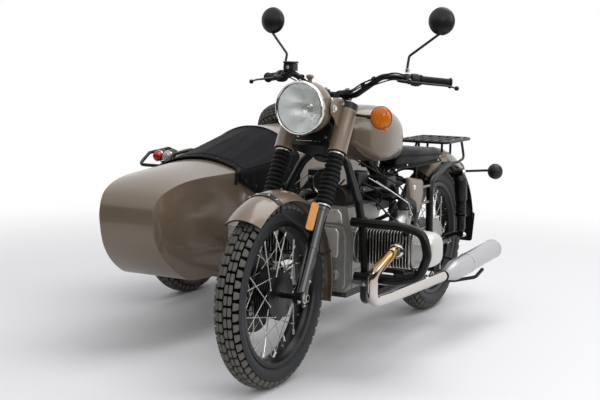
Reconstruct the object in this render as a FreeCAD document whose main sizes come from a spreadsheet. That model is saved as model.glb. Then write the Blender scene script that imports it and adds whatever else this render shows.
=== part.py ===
"""Sidecar motorcycle, built piece by piece in millimetres.

Bike frame used below: x to the rider's left, y to the rear from the front axle,
z up from the ground.  Every sub-part is then placed so that the origin lies on
the ground under the middle of the whole outfit.
"""
import FreeCAD, Part
import math
import os
import Sketcher
from FreeCAD import Placement, Rotation, Vector

doc = FreeCAD.newDocument("sidecar_outfit")
sheet = doc.addObject("Spreadsheet::Sheet", "sizes")

# name, value, what it is
SIZES = (
    ("tyre_radius", 340, "outer radius of all four tyres"),
    ("tyre_half", 50, "half width of a tyre"),
    ("tyre_shoulder", 22, "fall of the tread from crown to shoulder"),
    ("rim_seat", 252, "radius where the tyre sits on the rim"),
    ("rim_half", 40, "half width of a rim"),
    ("rim_flange", 12, "height of the rim flange above its seat"),
    ("rim_wall", 4, "thickness of a rim"),
    ("rim_well", 20, "depth of the rim well"),
    ("seat_gap", 0.3, "gap between pieces that seat on each other"),
    ("hub_flange", 48, "radius of a spoke flange"),
    ("hub_body", 30, "radius of a hub body"),
    ("hub_half", 38, "half width of a hub"),
    ("drum_radius", 92, "radius of a brake drum"),
    ("spoke_radius", 2.2, "radius of a spoke"),
    ("axle_radius", 10, "radius of an axle pin"),
    ("running_gap", 0.05, "radial clearance of a hub on its axle"),
    ("wheel_base", 1490, "front axle to rear axle"),
    ("side_track", 1165, "bike plane to sidecar wheel plane"),
    ("side_lead", 275, "sidecar wheel ahead of the rear axle"),
    ("disc_radius", 148, "front brake disc"),
    ("disc_plane", 66, "disc from the wheel plane"),
    ("disc_thick", 5, "disc thickness"),
    ("rake", 29, "rake of the fork in degrees"),
    ("fork_offset", 104, "steering axis behind the fork legs"),
    ("fork_half", 113, "fork leg from the bike plane"),
    ("slider_radius", 23, "fork slider"),
    ("stanchion_radius", 18, "fork stanchion"),
    ("slider_top", 345, "slider length above the axle"),
    ("gaiter_top", 566, "top of the gaiters above the axle"),
    ("gaiter_radius", 33, "outer radius of a gaiter rib"),
    ("shroud_radius", 37, "fork shroud"),
    ("sheet_wall", 3, "wall of pressed covers and shrouds"),
    ("yoke_top", 765, "top of the upper yoke above the axle"),
    ("yoke_thick", 26, "thickness of a yoke"),
    ("stem_radius", 14, "steering stem"),
    ("head_radius", 27, "head tube"),
    ("lamp_radius", 101, "headlamp rim"),
    ("lamp_front", 179, "headlamp rim behind the front axle"),
    ("lamp_height", 1000, "headlamp centre height"),
    ("lamp_depth", 145, "headlamp shell depth"),
    ("bar_radius", 11.5, "handlebar tube"),
    ("bar_height", 1040, "handlebar clamp height"),
    ("bar_rise", 77, "rise of the bar ends over the clamp"),
    ("grip_radius", 17, "hand grip"),
    ("grip_length", 122, "hand grip length"),
    ("mirror_radius", 54, "mirror head"),
    ("mirror_height", 1328, "mirror centre height"),
    ("mirror_reach", 370, "mirror centre from the bike plane"),
    ("indicator_radius", 43, "front turn indicator"),
    ("fender_half", 70, "half width of the front fender"),
    ("fender_crown", 376, "crown radius of the front fender"),
    ("fender_drop", 32, "fall of a fender from crown to edge"),
    ("fender_wall", 3, "fender sheet as modelled"),
    ("rear_fender_half", 98, "half width of the rear fender"),
    ("rear_fender_crown", 424, "crown radius of the rear fender"),
    ("rear_fender_drop", 72, "fall of the rear fender to its edge"),
    ("side_fender_half", 82, "half width of the sidecar fender"),
    ("frame_tube", 16, "frame tube radius"),
    ("guard_tube", 17, "engine guard tube radius"),
    ("guard_reach", 460, "engine guard tube from the bike plane at its widest"),
    ("down_tube_y", 372, "down tubes behind the front axle"),
    ("case_half", 124, "half width of the crankcase"),
    ("case_front", 388, "front of the crankcase"),
    ("case_back", 650, "back of the crankcase"),
    ("case_bottom", 284, "bottom of the crankcase"),
    ("case_top", 612, "top of the crankcase"),
    ("cylinder_y", 470, "cylinder axis behind the front axle"),
    ("cylinder_z", 470, "cylinder axis height"),
    ("cylinder_out", 366, "outer end of a cylinder head"),
    ("fin_half", 72, "half size of a cooling fin"),
    ("fin_pitch", 17, "spacing of the cooling fins"),
    ("fin_thick", 5, "thickness of a cooling fin"),
    ("cover_out", 456, "outer face of a rocker cover"),
    ("header_tube", 21, "exhaust header radius"),
    ("pipe_drop", 282, "height of the low exhaust run"),
    ("silencer_radius", 43, "silencer radius"),
    ("silencer_end", 1480, "rear end of a silencer"),
    ("tank_top", 996, "top of the fuel tank"),
    ("seat_front", 890, "front of the saddle"),
    ("seat_back", 1342, "back of the saddle"),
    ("seat_top", 812, "top of the saddle"),
    ("seat_half", 138, "half width of the saddle"),
    ("seat_thick", 92, "thickness of the saddle"),
    ("rack_height", 798, "luggage rack height"),
    ("rack_tube", 7, "luggage rack tube radius"),
    ("rack_hole", 4.3, "bolt holes of the luggage rack"),
    ("bike_room", 275, "room kept for the bike, from its plane to the tub's nearer limit"),
    ("tub_nose_half", 142, "half width of the nose"),
    ("tub_half", 246, "half width of the tub at the seat"),
    ("tub_floor", 268, "underside of the tub"),
    ("tub_wall", 10, "tub wall as modelled"),
    ("tub_rear", 2060, "rear end of the tub"),
    ("spare_overhang", 28, "spare tyre behind the tub"),
    ("spare_along", 358, "spare wheel centre up the lid from its hinge"),
    ("spare_rise", 63, "spare wheel centre over the lid"),
    ("cowl_rear", 645, "rear edge of the cowl"),
    ("cowl_rise", 72, "crown of the cowl over the cockpit side walls"),
    ("rim_height", 680, "top of the cockpit side walls"),
    ("seat_back_y", 1075, "front wall of the luggage space"),
    ("trunk_rise", 170, "top of the luggage space over the cockpit side walls"),
    ("shoulder_rise", 55, "shoulder of the luggage space over the cockpit side walls"),
    ("lid_slope", 30, "slope of the luggage lid in degrees"),
    ("lid_thick", 12, "thickness of the luggage lid"),
    ("cover_thick", 6, "cockpit cover as modelled"),
    ("side_tube", 20, "sidecar frame tube radius"),
    ("stand_tube", 11, "centre stand tube radius"),
)
for row, (alias, value, note) in enumerate(SIZES, 1):
    sheet.set("A%d" % row, note)
    sheet.set("B%d" % row, str(value))
    sheet.setAlias("B%d" % row, alias)
doc.recompute()

nodes = {}

# the bike's own frame, from the middle of the whole outfit
MIDDLE_X = "(sizes.side_track + sizes.side_fender_half - sizes.guard_reach - sizes.guard_tube) / 2"
MIDDLE_Y = "(sizes.tyre_radius - sizes.tub_rear - sizes.spare_overhang) / 2"


# ---------------------------------------------------------------- helpers

def size(alias):
    """A driving dimension, read from the sheet."""
    return float(getattr(sheet, alias))


def value_of(expression):
    """The number that an expression on the sheet gives now."""
    result = sheet.evalExpression(expression)
    return float(getattr(result, "Value", result))


def finish(thing, name, x="0", y="0", z="0", tilt=None):
    """Name a sub-part and place it, bound to the sheet, in the outfit's frame."""
    thing.Label = name
    if tilt is not None:
        thing.Placement = Placement(Vector(), Rotation(Vector(1, 0, 0), value_of(tilt)))
        thing.setExpression(".Placement.Rotation.Angle", tilt)
    thing.setExpression(".Placement.Base.x", "%s + (%s)" % (MIDDLE_X, x))
    thing.setExpression(".Placement.Base.y", "%s + (%s)" % (MIDDLE_Y, y))
    thing.setExpression(".Placement.Base.z", z)
    nodes[name] = thing
    return thing


def feature(shape, name="piece"):
    """A document object that holds one finished shape."""
    held = doc.addObject("Part::Feature", name)
    held.Shape = Part.makeCompound([shape])
    return held


def grouped(pieces, name="group"):
    """One document object that holds others side by side."""
    group = doc.addObject("Part::Compound", name)
    group.Links = pieces
    return group


def plane_of(body, role):
    """One of a body's own origin planes."""
    return [item for item in body.Origin.OriginFeatures if item.Role == role][0]


def outline(body, role, corners, name="outline"):
    """A closed sketch whose corners are bound to expressions on the sheet."""
    sketch = body.newObject("Sketcher::SketchObject", name)
    sketch.AttachmentSupport = [(plane_of(body, role), "")]
    sketch.MapMode = "FlatFace"
    places = [Vector(value_of(u), value_of(v), 0) for u, v in corners]
    count = len(places)
    for index in range(count):
        sketch.addGeometry(Part.LineSegment(places[index], places[(index + 1) % count]), False)
    for index in range(count):
        sketch.addConstraint(Sketcher.Constraint("Coincident", index, 2, (index + 1) % count, 1))
    for index, (across, up) in enumerate(corners):
        for kind, text, axis, measure in (("DistanceX", across, -2, places[index].x),
                                          ("DistanceY", up, -1, places[index].y)):
            if text == "0":
                sketch.addConstraint(Sketcher.Constraint("PointOnObject", index, 1, axis))
                continue
            number = sketch.addConstraint(Sketcher.Constraint(kind, -1, 1, index, 1, measure))
            sketch.setExpression("Constraints[%d]" % number, text)
    return sketch


def turned(corners, axis="H_Axis", role="XY_Plane", name="turned"):
    """A body made by turning one outline about its sketch's axis."""
    body = doc.addObject("PartDesign::Body", name)
    sketch = outline(body, role, corners)
    turn = body.newObject("PartDesign::Revolution", name + "_turn")
    turn.Profile = sketch
    turn.ReferenceAxis = (sketch, [axis])
    turn.Angle = 360
    return body


def tube(points, radius, bend=0.0, hollow=0.0):
    """A round tube along straight runs joined by tangent arcs."""
    points = [Vector(*point) for point in points]
    edges = []
    start = points[0]
    for index in range(1, len(points) - 1):
        corner = points[index]
        back = (points[index - 1] - corner).normalize()
        ahead = (points[index + 1] - corner).normalize()
        half = back.getAngle(ahead) / 2.0
        reach = bend / math.tan(half)
        room = 0.49 * min((points[index - 1] - corner).Length, (points[index + 1] - corner).Length)
        reach = min(reach, room)
        actual = reach * math.tan(half)
        first = corner + back * reach
        last = corner + ahead * reach
        centre = corner + (back + ahead).normalize() * (actual / math.sin(half))
        middle = centre + (corner - centre).normalize() * actual
        edges.append(Part.LineSegment(start, first).toShape())
        edges.append(Part.Arc(first, middle, last).toShape())
        start = last
    edges.append(Part.LineSegment(start, points[-1]).toShape())
    path = Part.Wire(edges)
    heading = (points[1] - points[0]).normalize()

    def swept(r):
        ring = Part.Wire([Part.makeCircle(r, points[0], heading)])
        return path.makePipeShell([ring], True, False)

    solid = swept(radius)
    if hollow:
        solid = solid.cut(swept(radius - hollow))
    return solid


def rod(first, last, radius):
    """A straight round bar between two places."""
    first = Vector(*first)
    last = Vector(*last)
    along = last - first
    return Part.makeCylinder(radius, along.Length, first, along)


def block(low, high):
    """A box between two corners."""
    low = Vector(*low)
    span = Vector(*high) - low
    return Part.makeBox(span.x, span.y, span.z, low)


def mirrored(shape):
    """The same shape on the other side of the bike's centre plane."""
    return shape.mirror(Vector(), Vector(1, 0, 0))


def both_sides(shape):
    """A shape and its mirror image, as separate solids."""
    return Part.makeCompound([shape, mirrored(shape)])


def joined(shapes):
    """Shapes fused to one, with their seams removed."""
    first = shapes[0]
    return first.fuse(shapes[1:]).removeSplitter()


def side_prism(corners, x_low, x_high):
    """An outline in y and z, carried across x."""
    places = [Vector(x_low, y, z) for y, z in corners]
    face = Part.Face(Part.makePolygon(places + places[:1]))
    return face.extrude(Vector(x_high - x_low, 0, 0))


def front_prism(corners, y_low, y_high):
    """An outline in x and z, carried along y."""
    places = [Vector(x, y_low, z) for x, z in corners]
    face = Part.Face(Part.makePolygon(places + places[:1]))
    return face.extrude(Vector(0, y_high - y_low, 0))


def plan_prism(corners, z_low, z_high):
    """An outline in x and y, carried up z."""
    places = [Vector(x, y, z_low) for x, y in corners]
    face = Part.Face(Part.makePolygon(places + places[:1]))
    return face.extrude(Vector(0, 0, z_high - z_low))


def mudguard(half, crown, drop, wall, start, end):
    """A curved sheet over a wheel: an arched section turned about the axle.

    start and end are degrees about +x, from straight back (0) over the top (90).
    """
    def arch(inset):
        side = half - inset
        edge = crown - drop - inset * 0.3
        return Part.Arc(Vector(-side, edge, 0), Vector(0, crown - inset, 0), Vector(side, edge, 0))

    outer = arch(0.0)
    inner = arch(wall)
    ends = [Part.LineSegment(outer.EndPoint, inner.EndPoint).toShape(),
            Part.LineSegment(inner.StartPoint, outer.StartPoint).toShape()]
    section = Part.Face(Part.Wire([outer.toShape(), ends[0], inner.toShape(), ends[1]]))
    section.rotate(Vector(), Vector(1, 0, 0), start)
    return section.revolve(Vector(), Vector(1, 0, 0), end - start)


# frequent sizes and places, read once
AXLE_Z = size("tyre_radius")
RAKE = math.radians(size("rake"))
REAR_Y = size("wheel_base")
SIDE_X = -size("side_track")
SIDE_Y = REAR_Y - size("side_lead")
GAP = size("seat_gap")
FORK_X = size("fork_half")
TUB_X = -(size("side_track") + size("bike_room")) / 2
TUB_SIDE_X = TUB_X - size("tub_half")
ARM_X = (TUB_SIDE_X + SIDE_X + size("tyre_half")) / 2
RAIL_HALF = 155.0
RAIL_X = (TUB_X + RAIL_HALF, TUB_X - RAIL_HALF)
RIM_Z = size("rim_height")
COWL_Z = RIM_Z + size("cowl_rise")
TRUNK_Z = RIM_Z + size("trunk_rise")
SHOULDER_Z = RIM_Z + size("shoulder_rise")
FLOOR_Z = size("tub_floor")


def fork_place(x, back, up):
    """A place given along the fork: back from the legs, up from the axle."""
    y = back * math.cos(RAKE) + up * math.sin(RAKE)
    z = AXLE_Z - back * math.sin(RAKE) + up * math.cos(RAKE)
    return (x, y, z)


def fork_shape(shape):
    """A shape made upright over the axle, leaned back to the rake."""
    shape.rotate(Vector(), Vector(1, 0, 0), -size("rake"))
    shape.translate(Vector(0, 0, AXLE_Z))
    return shape


# ---------------------------------------------------------------- wheels

# wheel, x, y, has a brake drum
WHEELS = (
    ("front", "0", "0", False),
    ("rear", "0", "sizes.wheel_base", True),
    ("sidecar", "-sizes.side_track", "sizes.wheel_base - sizes.side_lead", True),
)
TYRE = (
    ("-sizes.rim_half + sizes.rim_wall + sizes.seat_gap", "sizes.rim_seat + sizes.seat_gap"),
    ("-sizes.rim_half + sizes.rim_wall + sizes.seat_gap", "sizes.rim_seat + sizes.rim_flange"),
    ("-sizes.tyre_half", "sizes.tyre_radius - 2 * sizes.tyre_shoulder"),
    ("-sizes.tyre_half * 0.94", "sizes.tyre_radius - sizes.tyre_shoulder"),
    ("-sizes.tyre_half * 0.72", "sizes.tyre_radius - sizes.tyre_shoulder * 0.36"),
    ("-sizes.tyre_half * 0.3", "sizes.tyre_radius"),
    ("sizes.tyre_half * 0.3", "sizes.tyre_radius"),
    ("sizes.tyre_half * 0.72", "sizes.tyre_radius - sizes.tyre_shoulder * 0.36"),
    ("sizes.tyre_half * 0.94", "sizes.tyre_radius - sizes.tyre_shoulder"),
    ("sizes.tyre_half", "sizes.tyre_radius - 2 * sizes.tyre_shoulder"),
    ("sizes.rim_half - sizes.rim_wall - sizes.seat_gap", "sizes.rim_seat + sizes.rim_flange"),
    ("sizes.rim_half - sizes.rim_wall - sizes.seat_gap", "sizes.rim_seat + sizes.seat_gap"),
)
RIM = (
    ("-sizes.rim_half", "sizes.rim_seat + sizes.rim_flange"),
    ("-sizes.rim_half + sizes.rim_wall", "sizes.rim_seat + sizes.rim_flange"),
    ("-sizes.rim_half + sizes.rim_wall", "sizes.rim_seat"),
    ("sizes.rim_half - sizes.rim_wall", "sizes.rim_seat"),
    ("sizes.rim_half - sizes.rim_wall", "sizes.rim_seat + sizes.rim_flange"),
    ("sizes.rim_half", "sizes.rim_seat + sizes.rim_flange"),
    ("sizes.rim_half", "sizes.rim_seat - sizes.rim_wall"),
    ("sizes.rim_half * 0.4", "sizes.rim_seat - sizes.rim_well"),
    ("-sizes.rim_half * 0.4", "sizes.rim_seat - sizes.rim_well"),
    ("-sizes.rim_half", "sizes.rim_seat - sizes.rim_wall"),
)
HUB = (
    ("-sizes.hub_half", "sizes.axle_radius + sizes.running_gap"),
    ("-sizes.hub_half", "sizes.hub_flange"),
    ("-sizes.hub_half + 6", "sizes.hub_flange"),
    ("-sizes.hub_half + 6", "sizes.hub_body"),
    ("sizes.hub_half - 6", "sizes.hub_body"),
    ("sizes.hub_half - 6", "sizes.hub_flange"),
    ("sizes.hub_half", "sizes.hub_flange"),
    ("sizes.hub_half", "sizes.axle_radius + sizes.running_gap"),
)
DRUM_HUB = (
    ("-sizes.hub_half", "sizes.axle_radius + sizes.running_gap"),
    ("-sizes.hub_half", "sizes.drum_radius"),
    ("-sizes.hub_half + 6", "sizes.drum_radius"),
    ("-sizes.hub_half + 10", "sizes.drum_radius - 10"),
    ("sizes.hub_half - 10", "sizes.drum_radius - 10"),
    ("sizes.hub_half - 6", "sizes.drum_radius"),
    ("sizes.hub_half", "sizes.drum_radius"),
    ("sizes.hub_half", "sizes.axle_radius + sizes.running_gap"),
)
SPOKES = 36
SPOKE_CROSS = 48.0
SPOKE_SPREAD = 2.8


def spokes(flange_radius):
    """Crossed spokes from both hub flanges to the rim, as one list of bars."""
    bars = []
    inner = flange_radius - 7.0
    outer = size("rim_seat") - size("rim_well") + 2.0
    step = 360.0 / SPOKES
    for index in range(SPOKES):
        side = 1 if index % 2 else -1
        face = 1 if (index // 2) % 2 else -1
        at_rim = math.radians(index * step)
        at_hub = math.radians(index * step + face * SPOKE_CROSS)
        x_hub = side * (size("hub_half") - 3.0 + face * 4.0)
        x_rim = side * (size("rim_half") * 0.17 + face * SPOKE_SPREAD)
        bars.append(rod((x_hub, inner * math.cos(at_hub), inner * math.sin(at_hub)),
                        (x_rim, outer * math.cos(at_rim), outer * math.sin(at_rim)),
                        size("spoke_radius")))
    return bars


def brake_disc():
    """A perforated disc on the right of the front hub."""
    thick = size("disc_thick")
    low = -size("disc_plane") - thick / 2
    radius = size("disc_radius")
    disc = Part.makeCylinder(radius, thick, Vector(low, 0, 0), Vector(1, 0, 0))
    bore = size("axle_radius") + 12.0
    disc = disc.cut(Part.makeCylinder(bore, thick, Vector(low, 0, 0), Vector(1, 0, 0)))
    carrier = Part.makeCylinder(44.0, size("disc_plane") - size("hub_half") - thick / 2,
                                Vector(low + thick, 0, 0), Vector(1, 0, 0))
    carrier = carrier.cut(Part.makeCylinder(bore, 60.0, Vector(low, 0, 0), Vector(1, 0, 0)))
    windows = []
    for index in range(6):
        angle = math.radians(60 * index)
        centre = Vector(low, 74.0 * math.cos(angle), 74.0 * math.sin(angle))
        windows.append(Part.makeCylinder(20.0, thick, centre, Vector(1, 0, 0)))
    for ring, count in ((110.0, 18), (124.0, 18), (137.0, 18)):
        for index in range(count):
            angle = math.radians(360.0 / count * (index + ring / 30.0))
            centre = Vector(low, ring * math.cos(angle), ring * math.sin(angle))
            windows.append(Part.makeCylinder(3.6, thick, centre, Vector(1, 0, 0)))
    return disc.cut(windows).fuse(carrier).removeSplitter()


def laced_wheel(name, drum):
    """Rim, hub and spokes as one piece, with the front wheel's disc."""
    rim = turned(RIM, name=name + "_rim_ring")
    hub = turned(DRUM_HUB if drum else HUB, name=name + "_hub")
    flange = size("drum_radius") if drum else size("hub_flange")
    doc.recompute()
    pieces = [rim.Shape, hub.Shape] + spokes(flange)
    if name == "front":
        pieces.append(brake_disc())
    return feature(joined(pieces), name + "_laced")


for wheel, wheel_x, wheel_y, has_drum in WHEELS:
    finish(turned(TYRE, name=wheel + "_tyre_body"), wheel + "_tyre", wheel_x, wheel_y, "sizes.tyre_radius")
    finish(laced_wheel(wheel, has_drum), wheel + "_rim", wheel_x, wheel_y, "sizes.tyre_radius")


# ---------------------------------------------------------------- fork and steering

def fork_legs():
    """Sliders, stanchions and the front axle that joins them."""
    pieces = []
    slider = size("slider_radius")
    for side in (-1, 1):
        x = side * FORK_X
        pieces.append(fork_shape(Part.makeCylinder(slider, size("slider_top") + 12.0, Vector(x, 0, -12.0))))
        pieces.append(fork_shape(Part.makeCylinder(size("stanchion_radius"), size("yoke_top") + 4.0 - 300.0,
                                                   Vector(x, 0, 300.0))))
        pieces.append(Part.makeCylinder(26.0, 40.0, Vector(x - 20.0, 0, AXLE_Z), Vector(1, 0, 0)))
    reach = FORK_X + 34.0
    pieces.append(Part.makeCylinder(size("axle_radius"), 2 * reach, Vector(-reach, 0, AXLE_Z),
                                    Vector(1, 0, 0)))
    pieces.append(Part.makeCylinder(18.0, 10.0, Vector(reach - 12.0, 0, AXLE_Z), Vector(1, 0, 0)))
    return joined(pieces)


finish(feature(fork_legs(), "legs"), "fork_legs")


def gaiter():
    """One ribbed rubber gaiter around a stanchion, open inside."""
    low = size("slider_top") + GAP
    high = size("gaiter_top") - GAP
    outer = size("gaiter_radius")
    ribs = 11
    pitch = (high - low) / ribs
    inner = size("slider_radius") + 2.0
    corners = [Vector(inner, 0, low)]
    for rib in range(ribs):
        base = low + rib * pitch
        corners.append(Vector(outer - 6.0, 0, base))
        corners.append(Vector(outer, 0, base + pitch * 0.5))
    corners.append(Vector(outer - 6.0, 0, high))
    corners.append(Vector(inner, 0, high))
    face = Part.Face(Part.makePolygon(corners + corners[:1]))
    return face.revolve(Vector(), Vector(0, 0, 1), 360)


def gaiters():
    """Both gaiters, with a foot ring that seats on each slider."""
    pair = []
    ring_in = size("stanchion_radius") + GAP
    for side in (-1, 1):
        one = gaiter()
        foot = Part.makeCylinder(size("slider_radius") + 4.0, 6.0, Vector(0, 0, size("slider_top") + GAP))
        one = one.fuse(foot.cut(Part.makeCylinder(ring_in, 6.0, Vector(0, 0, size("slider_top") + GAP))))
        one = one.removeSplitter()
        one.translate(Vector(side * FORK_X, 0, 0))
        pair.append(fork_shape(one))
    return Part.makeCompound(pair)


finish(feature(gaiters(), "gaiters"), "fork_gaiters")


def yoke(top, clamp_radius):
    """One fork bridge: two leg clamps, a stem boss and the web between them."""
    thick = size("yoke_thick")
    low = top - thick
    offset = size("fork_offset")
    pieces = []
    for side in (-1, 1):
        pieces.append(Part.makeCylinder(clamp_radius, thick, Vector(side * FORK_X, 0, low)))
    pieces.append(Part.makeCylinder(30.0, thick, Vector(0, offset, low)))
    web = plan_prism(((-FORK_X, -14.0), (FORK_X, -14.0), (FORK_X, 14.0), (24.0, offset),
                      (-24.0, offset), (-FORK_X, 14.0)), low + 4.0, top - 4.0)
    pieces.append(web)
    body = joined(pieces)
    for side in (-1, 1):
        bore = Part.makeCylinder(size("stanchion_radius") + GAP, thick, Vector(side * FORK_X, 0, low))
        body = body.cut(bore)
    return body


CLAMP_RADIUS = 28.0
BAR_Y = 487.0


def fork_yokes():
    """Both yokes, the steering stem and the two bar risers."""
    offset = size("fork_offset")
    lower = yoke(size("gaiter_top") + size("yoke_thick") + 14.0, CLAMP_RADIUS)
    upper = yoke(size("yoke_top"), size("shroud_radius") - 1.0)
    stem_low = size("gaiter_top") + 14.0
    stem = Part.makeCylinder(size("stem_radius"), size("yoke_top") + 12.0 - stem_low,
                             Vector(0, offset, stem_low))
    nut = Part.makeCylinder(20.0, 12.0, Vector(0, offset, size("yoke_top")))
    body = fork_shape(joined([lower, upper, stem, nut]))
    risers = []
    for side in (-1, 1):
        foot = fork_place(side * 48.0, size("fork_offset") - 6.0, size("yoke_top") - 12.0)
        top = (side * 48.0, BAR_Y, size("bar_height") - size("bar_radius") - 4.0)
        risers.append(rod(foot, top, 13.0))
        clamp = Part.makeCylinder(21.0, 30.0, Vector(side * 48.0 - 15.0, BAR_Y, size("bar_height")),
                                  Vector(1, 0, 0))
        risers.append(clamp)
    body = joined([body] + risers)
    bar_bore = Part.makeCylinder(size("bar_radius") + GAP, 200.0, Vector(-100.0, BAR_Y, size("bar_height")),
                                 Vector(1, 0, 0))
    return body.cut(bar_bore)


finish(feature(fork_yokes(), "yokes"), "fork_yokes")


def fork_shrouds():
    """Painted covers round the upper fork legs, with the headlamp ears."""
    low = size("gaiter_top") + GAP
    high = size("yoke_top") - size("yoke_thick") - GAP
    wall = size("sheet_wall")
    outer = size("shroud_radius")
    pieces = []
    lamp_back = size("lamp_front") + size("lamp_depth")
    for side in (-1, 1):
        cover = Part.makeCylinder(outer, high - low, Vector(side * FORK_X, 0, low))
        hollow = Part.makeCylinder(outer - wall, high - low, Vector(side * FORK_X, 0, low))
        cover = fork_shape(cover)
        hollow = fork_shape(hollow)
        ear_x = side * (size("lamp_radius") + 2.0)
        ear = side_prism(((lamp_back - 92.0, size("lamp_height") - 26.0),
                          (lamp_back - 92.0, size("lamp_height") + 22.0),
                          (lamp_back - 30.0, size("lamp_height") + 34.0),
                          (lamp_back + 26.0, size("lamp_height") + 26.0),
                          (lamp_back + 4.0, size("lamp_height") - 66.0),
                          (lamp_back - 40.0, size("lamp_height") - 74.0)),
                         min(ear_x, ear_x + side * 5.0), max(ear_x, ear_x + side * 5.0))
        boss = Part.makeCylinder(9.0, 16.0, Vector(ear_x, lamp_back - 70.0, size("lamp_height")),
                                 Vector(-side, 0, 0))
        both = cover.fuse([ear, boss]).removeSplitter().cut(hollow)
        pieces.append(both)
    body = Part.makeCompound(pieces)
    shell = Part.makeCylinder(size("lamp_radius") - 3.0 + GAP, size("lamp_depth"),
                              Vector(0, size("lamp_front"), size("lamp_height")), Vector(0, 1, 0))
    body = body.cut(shell)
    for side in (-1, 1):
        clamp = Part.makeCylinder(size("shroud_radius") - 1.0 + GAP, 70.0,
                                  Vector(side * FORK_X, 0, size("yoke_top") - size("yoke_thick") - GAP))
        body = body.cut(fork_shape(clamp))
    # the lower yoke reaches in through a slot on the inner side
    yoke_low = size("gaiter_top") + 14.0 - GAP
    slot = Part.makeBox(2 * FORK_X, 36.0, size("yoke_thick") + 2 * GAP, Vector(-FORK_X, -18.0, yoke_low))
    web = plan_prism(((-FORK_X, -16.0), (FORK_X, -16.0), (FORK_X, 18.0), (26.0, size("fork_offset") + 4.0),
                      (-26.0, size("fork_offset") + 4.0), (-FORK_X, 18.0)), yoke_low,
                      yoke_low + size("yoke_thick") + 2 * GAP)
    return body.cut([fork_shape(slot), fork_shape(web)])


finish(feature(fork_shrouds(), "shrouds"), "fork_shrouds")

LAMP_SHELL = (
    ("0", "sizes.lamp_depth"),
    ("sizes.lamp_radius * 0.45", "sizes.lamp_depth"),
    ("sizes.lamp_radius * 0.8", "sizes.lamp_depth - 22"),
    ("sizes.lamp_radius - 3", "sizes.lamp_depth - 52"),
    ("sizes.lamp_radius - 3", "22"),
    ("sizes.lamp_radius", "22"),
    ("sizes.lamp_radius", "8"),
    ("sizes.lamp_radius - 4", "0"),
    ("sizes.lamp_radius - 14", "0"),
    ("sizes.lamp_radius - 14", "22"),
    ("sizes.lamp_radius - 10", "sizes.lamp_depth - 62"),
    ("sizes.lamp_radius * 0.8 - 5", "sizes.lamp_depth - 26"),
    ("sizes.lamp_radius * 0.45", "sizes.lamp_depth - 6"),
    ("0", "sizes.lamp_depth - 6"),
)
LAMP_GLASS = (
    ("0", "-9"),
    ("sizes.lamp_radius * 0.5", "-6"),
    ("sizes.lamp_radius - 14 - sizes.seat_gap", "3"),
    ("sizes.lamp_radius - 14 - sizes.seat_gap", "11"),
    ("0", "4"),
)
for piece, profile in (("headlamp_shell", LAMP_SHELL), ("headlamp_glass", LAMP_GLASS)):
    finish(turned(profile, "V_Axis", name=piece + "_body"), piece, "0", "sizes.lamp_front",
           "sizes.lamp_height")

BAR_KNEE = (190.0, 500.0, size("bar_height") + size("bar_rise"))
BAR_END = (404.0, 660.0, size("bar_height") + size("bar_rise") - 24.0)
BAR_HEADING = (Vector(*BAR_END) - Vector(*BAR_KNEE)).normalize()


def along_bar(back):
    """A place on the left bar end, measured back from its tip."""
    return Vector(*BAR_END) - BAR_HEADING * back


def handlebar():
    """One bent tube from grip to grip."""
    left = [BAR_END, BAR_KNEE, (82.0, BAR_Y, size("bar_height"))]
    right = [(-x, y, z) for x, y, z in reversed(left)]
    return tube(left + right, size("bar_radius"), 45.0)


finish(feature(handlebar(), "bar"), "handlebar")


def hand_controls():
    """Grips, switch pods, levers and the brake reservoir, on both bar ends."""
    left = []
    bore = rod(tuple(along_bar(-20.0)), tuple(along_bar(262.0)), size("bar_radius") + GAP)
    left.append(rod(tuple(along_bar(-3.0)), tuple(along_bar(size("grip_length"))), size("grip_radius")))
    left.append(rod(tuple(along_bar(size("grip_length"))), tuple(along_bar(size("grip_length") + 36.0)),
                    24.0))
    left.append(rod(tuple(along_bar(size("grip_length") + 36.0)),
                    tuple(along_bar(size("grip_length") + 62.0)), 17.0))
    pivot = along_bar(size("grip_length") + 50.0)
    ahead = Vector(BAR_HEADING.y, -BAR_HEADING.x, 0).normalize()
    bracket = pivot + ahead * 44.0 + Vector(0, 0, -12.0)
    left.append(rod(tuple(pivot), tuple(bracket), 9.0))
    reach = bracket + BAR_HEADING * 70.0 + ahead * 22.0
    tip = bracket + BAR_HEADING * 178.0 + ahead * 30.0 + Vector(0, 0, -6.0)
    left.append(tube([tuple(bracket), tuple(reach), tuple(tip)], 5.5, 60.0))
    left.append(Part.makeSphere(10.0, tip))
    left.append(Part.makeSphere(9.5, bracket))
    left.append(Part.makeCylinder(9.0, 10.0, pivot + Vector(0, 0, size("grip_radius") - 4.0)))
    solid = joined(left).cut(bore)
    right = mirrored(solid)
    pot = block((-246.0, 500.0, size("bar_height") + 84.0), (-200.0, 546.0, size("bar_height") + 124.0))
    right = right.fuse(pot.fuse(block((-256.0, 515.0, size("bar_height") + 64.0),
                                      (-226.0, 556.0, size("bar_height") + 86.0)))).removeSplitter()
    right = right.cut(mirrored(bore))
    return Part.makeCompound([solid, right])


finish(feature(hand_controls(), "controls"), "hand_controls")


def mirrors():
    """Round mirrors on cranked stems, one on each bar."""
    base = along_bar(size("grip_length") + 50.0) + Vector(0, 0, size("grip_radius") + 6.0 + GAP)
    head = Vector(size("mirror_reach"), 631.0, size("mirror_height"))
    knee = base + Vector(0, 14.0, 62.0)
    low = head + Vector(0, -6.0, -size("mirror_radius") + 8.0)
    rise = base + Vector(0, 0, 22.0)
    stem = tube([tuple(base), tuple(rise), tuple(knee), tuple(low)], 5.0, 18.0)
    disc = Part.makeCylinder(size("mirror_radius"), 12.0, head - Vector(0, 6.0, 0), Vector(0, 1, 0))
    shell = Part.makeCone(size("mirror_radius"), 26.0, 14.0, head - Vector(0, 6.0, 0), Vector(0, -1, 0))
    one = joined([stem, disc, shell])
    return both_sides(one)


finish(feature(mirrors(), "mirror_pair"), "mirrors")

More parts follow.
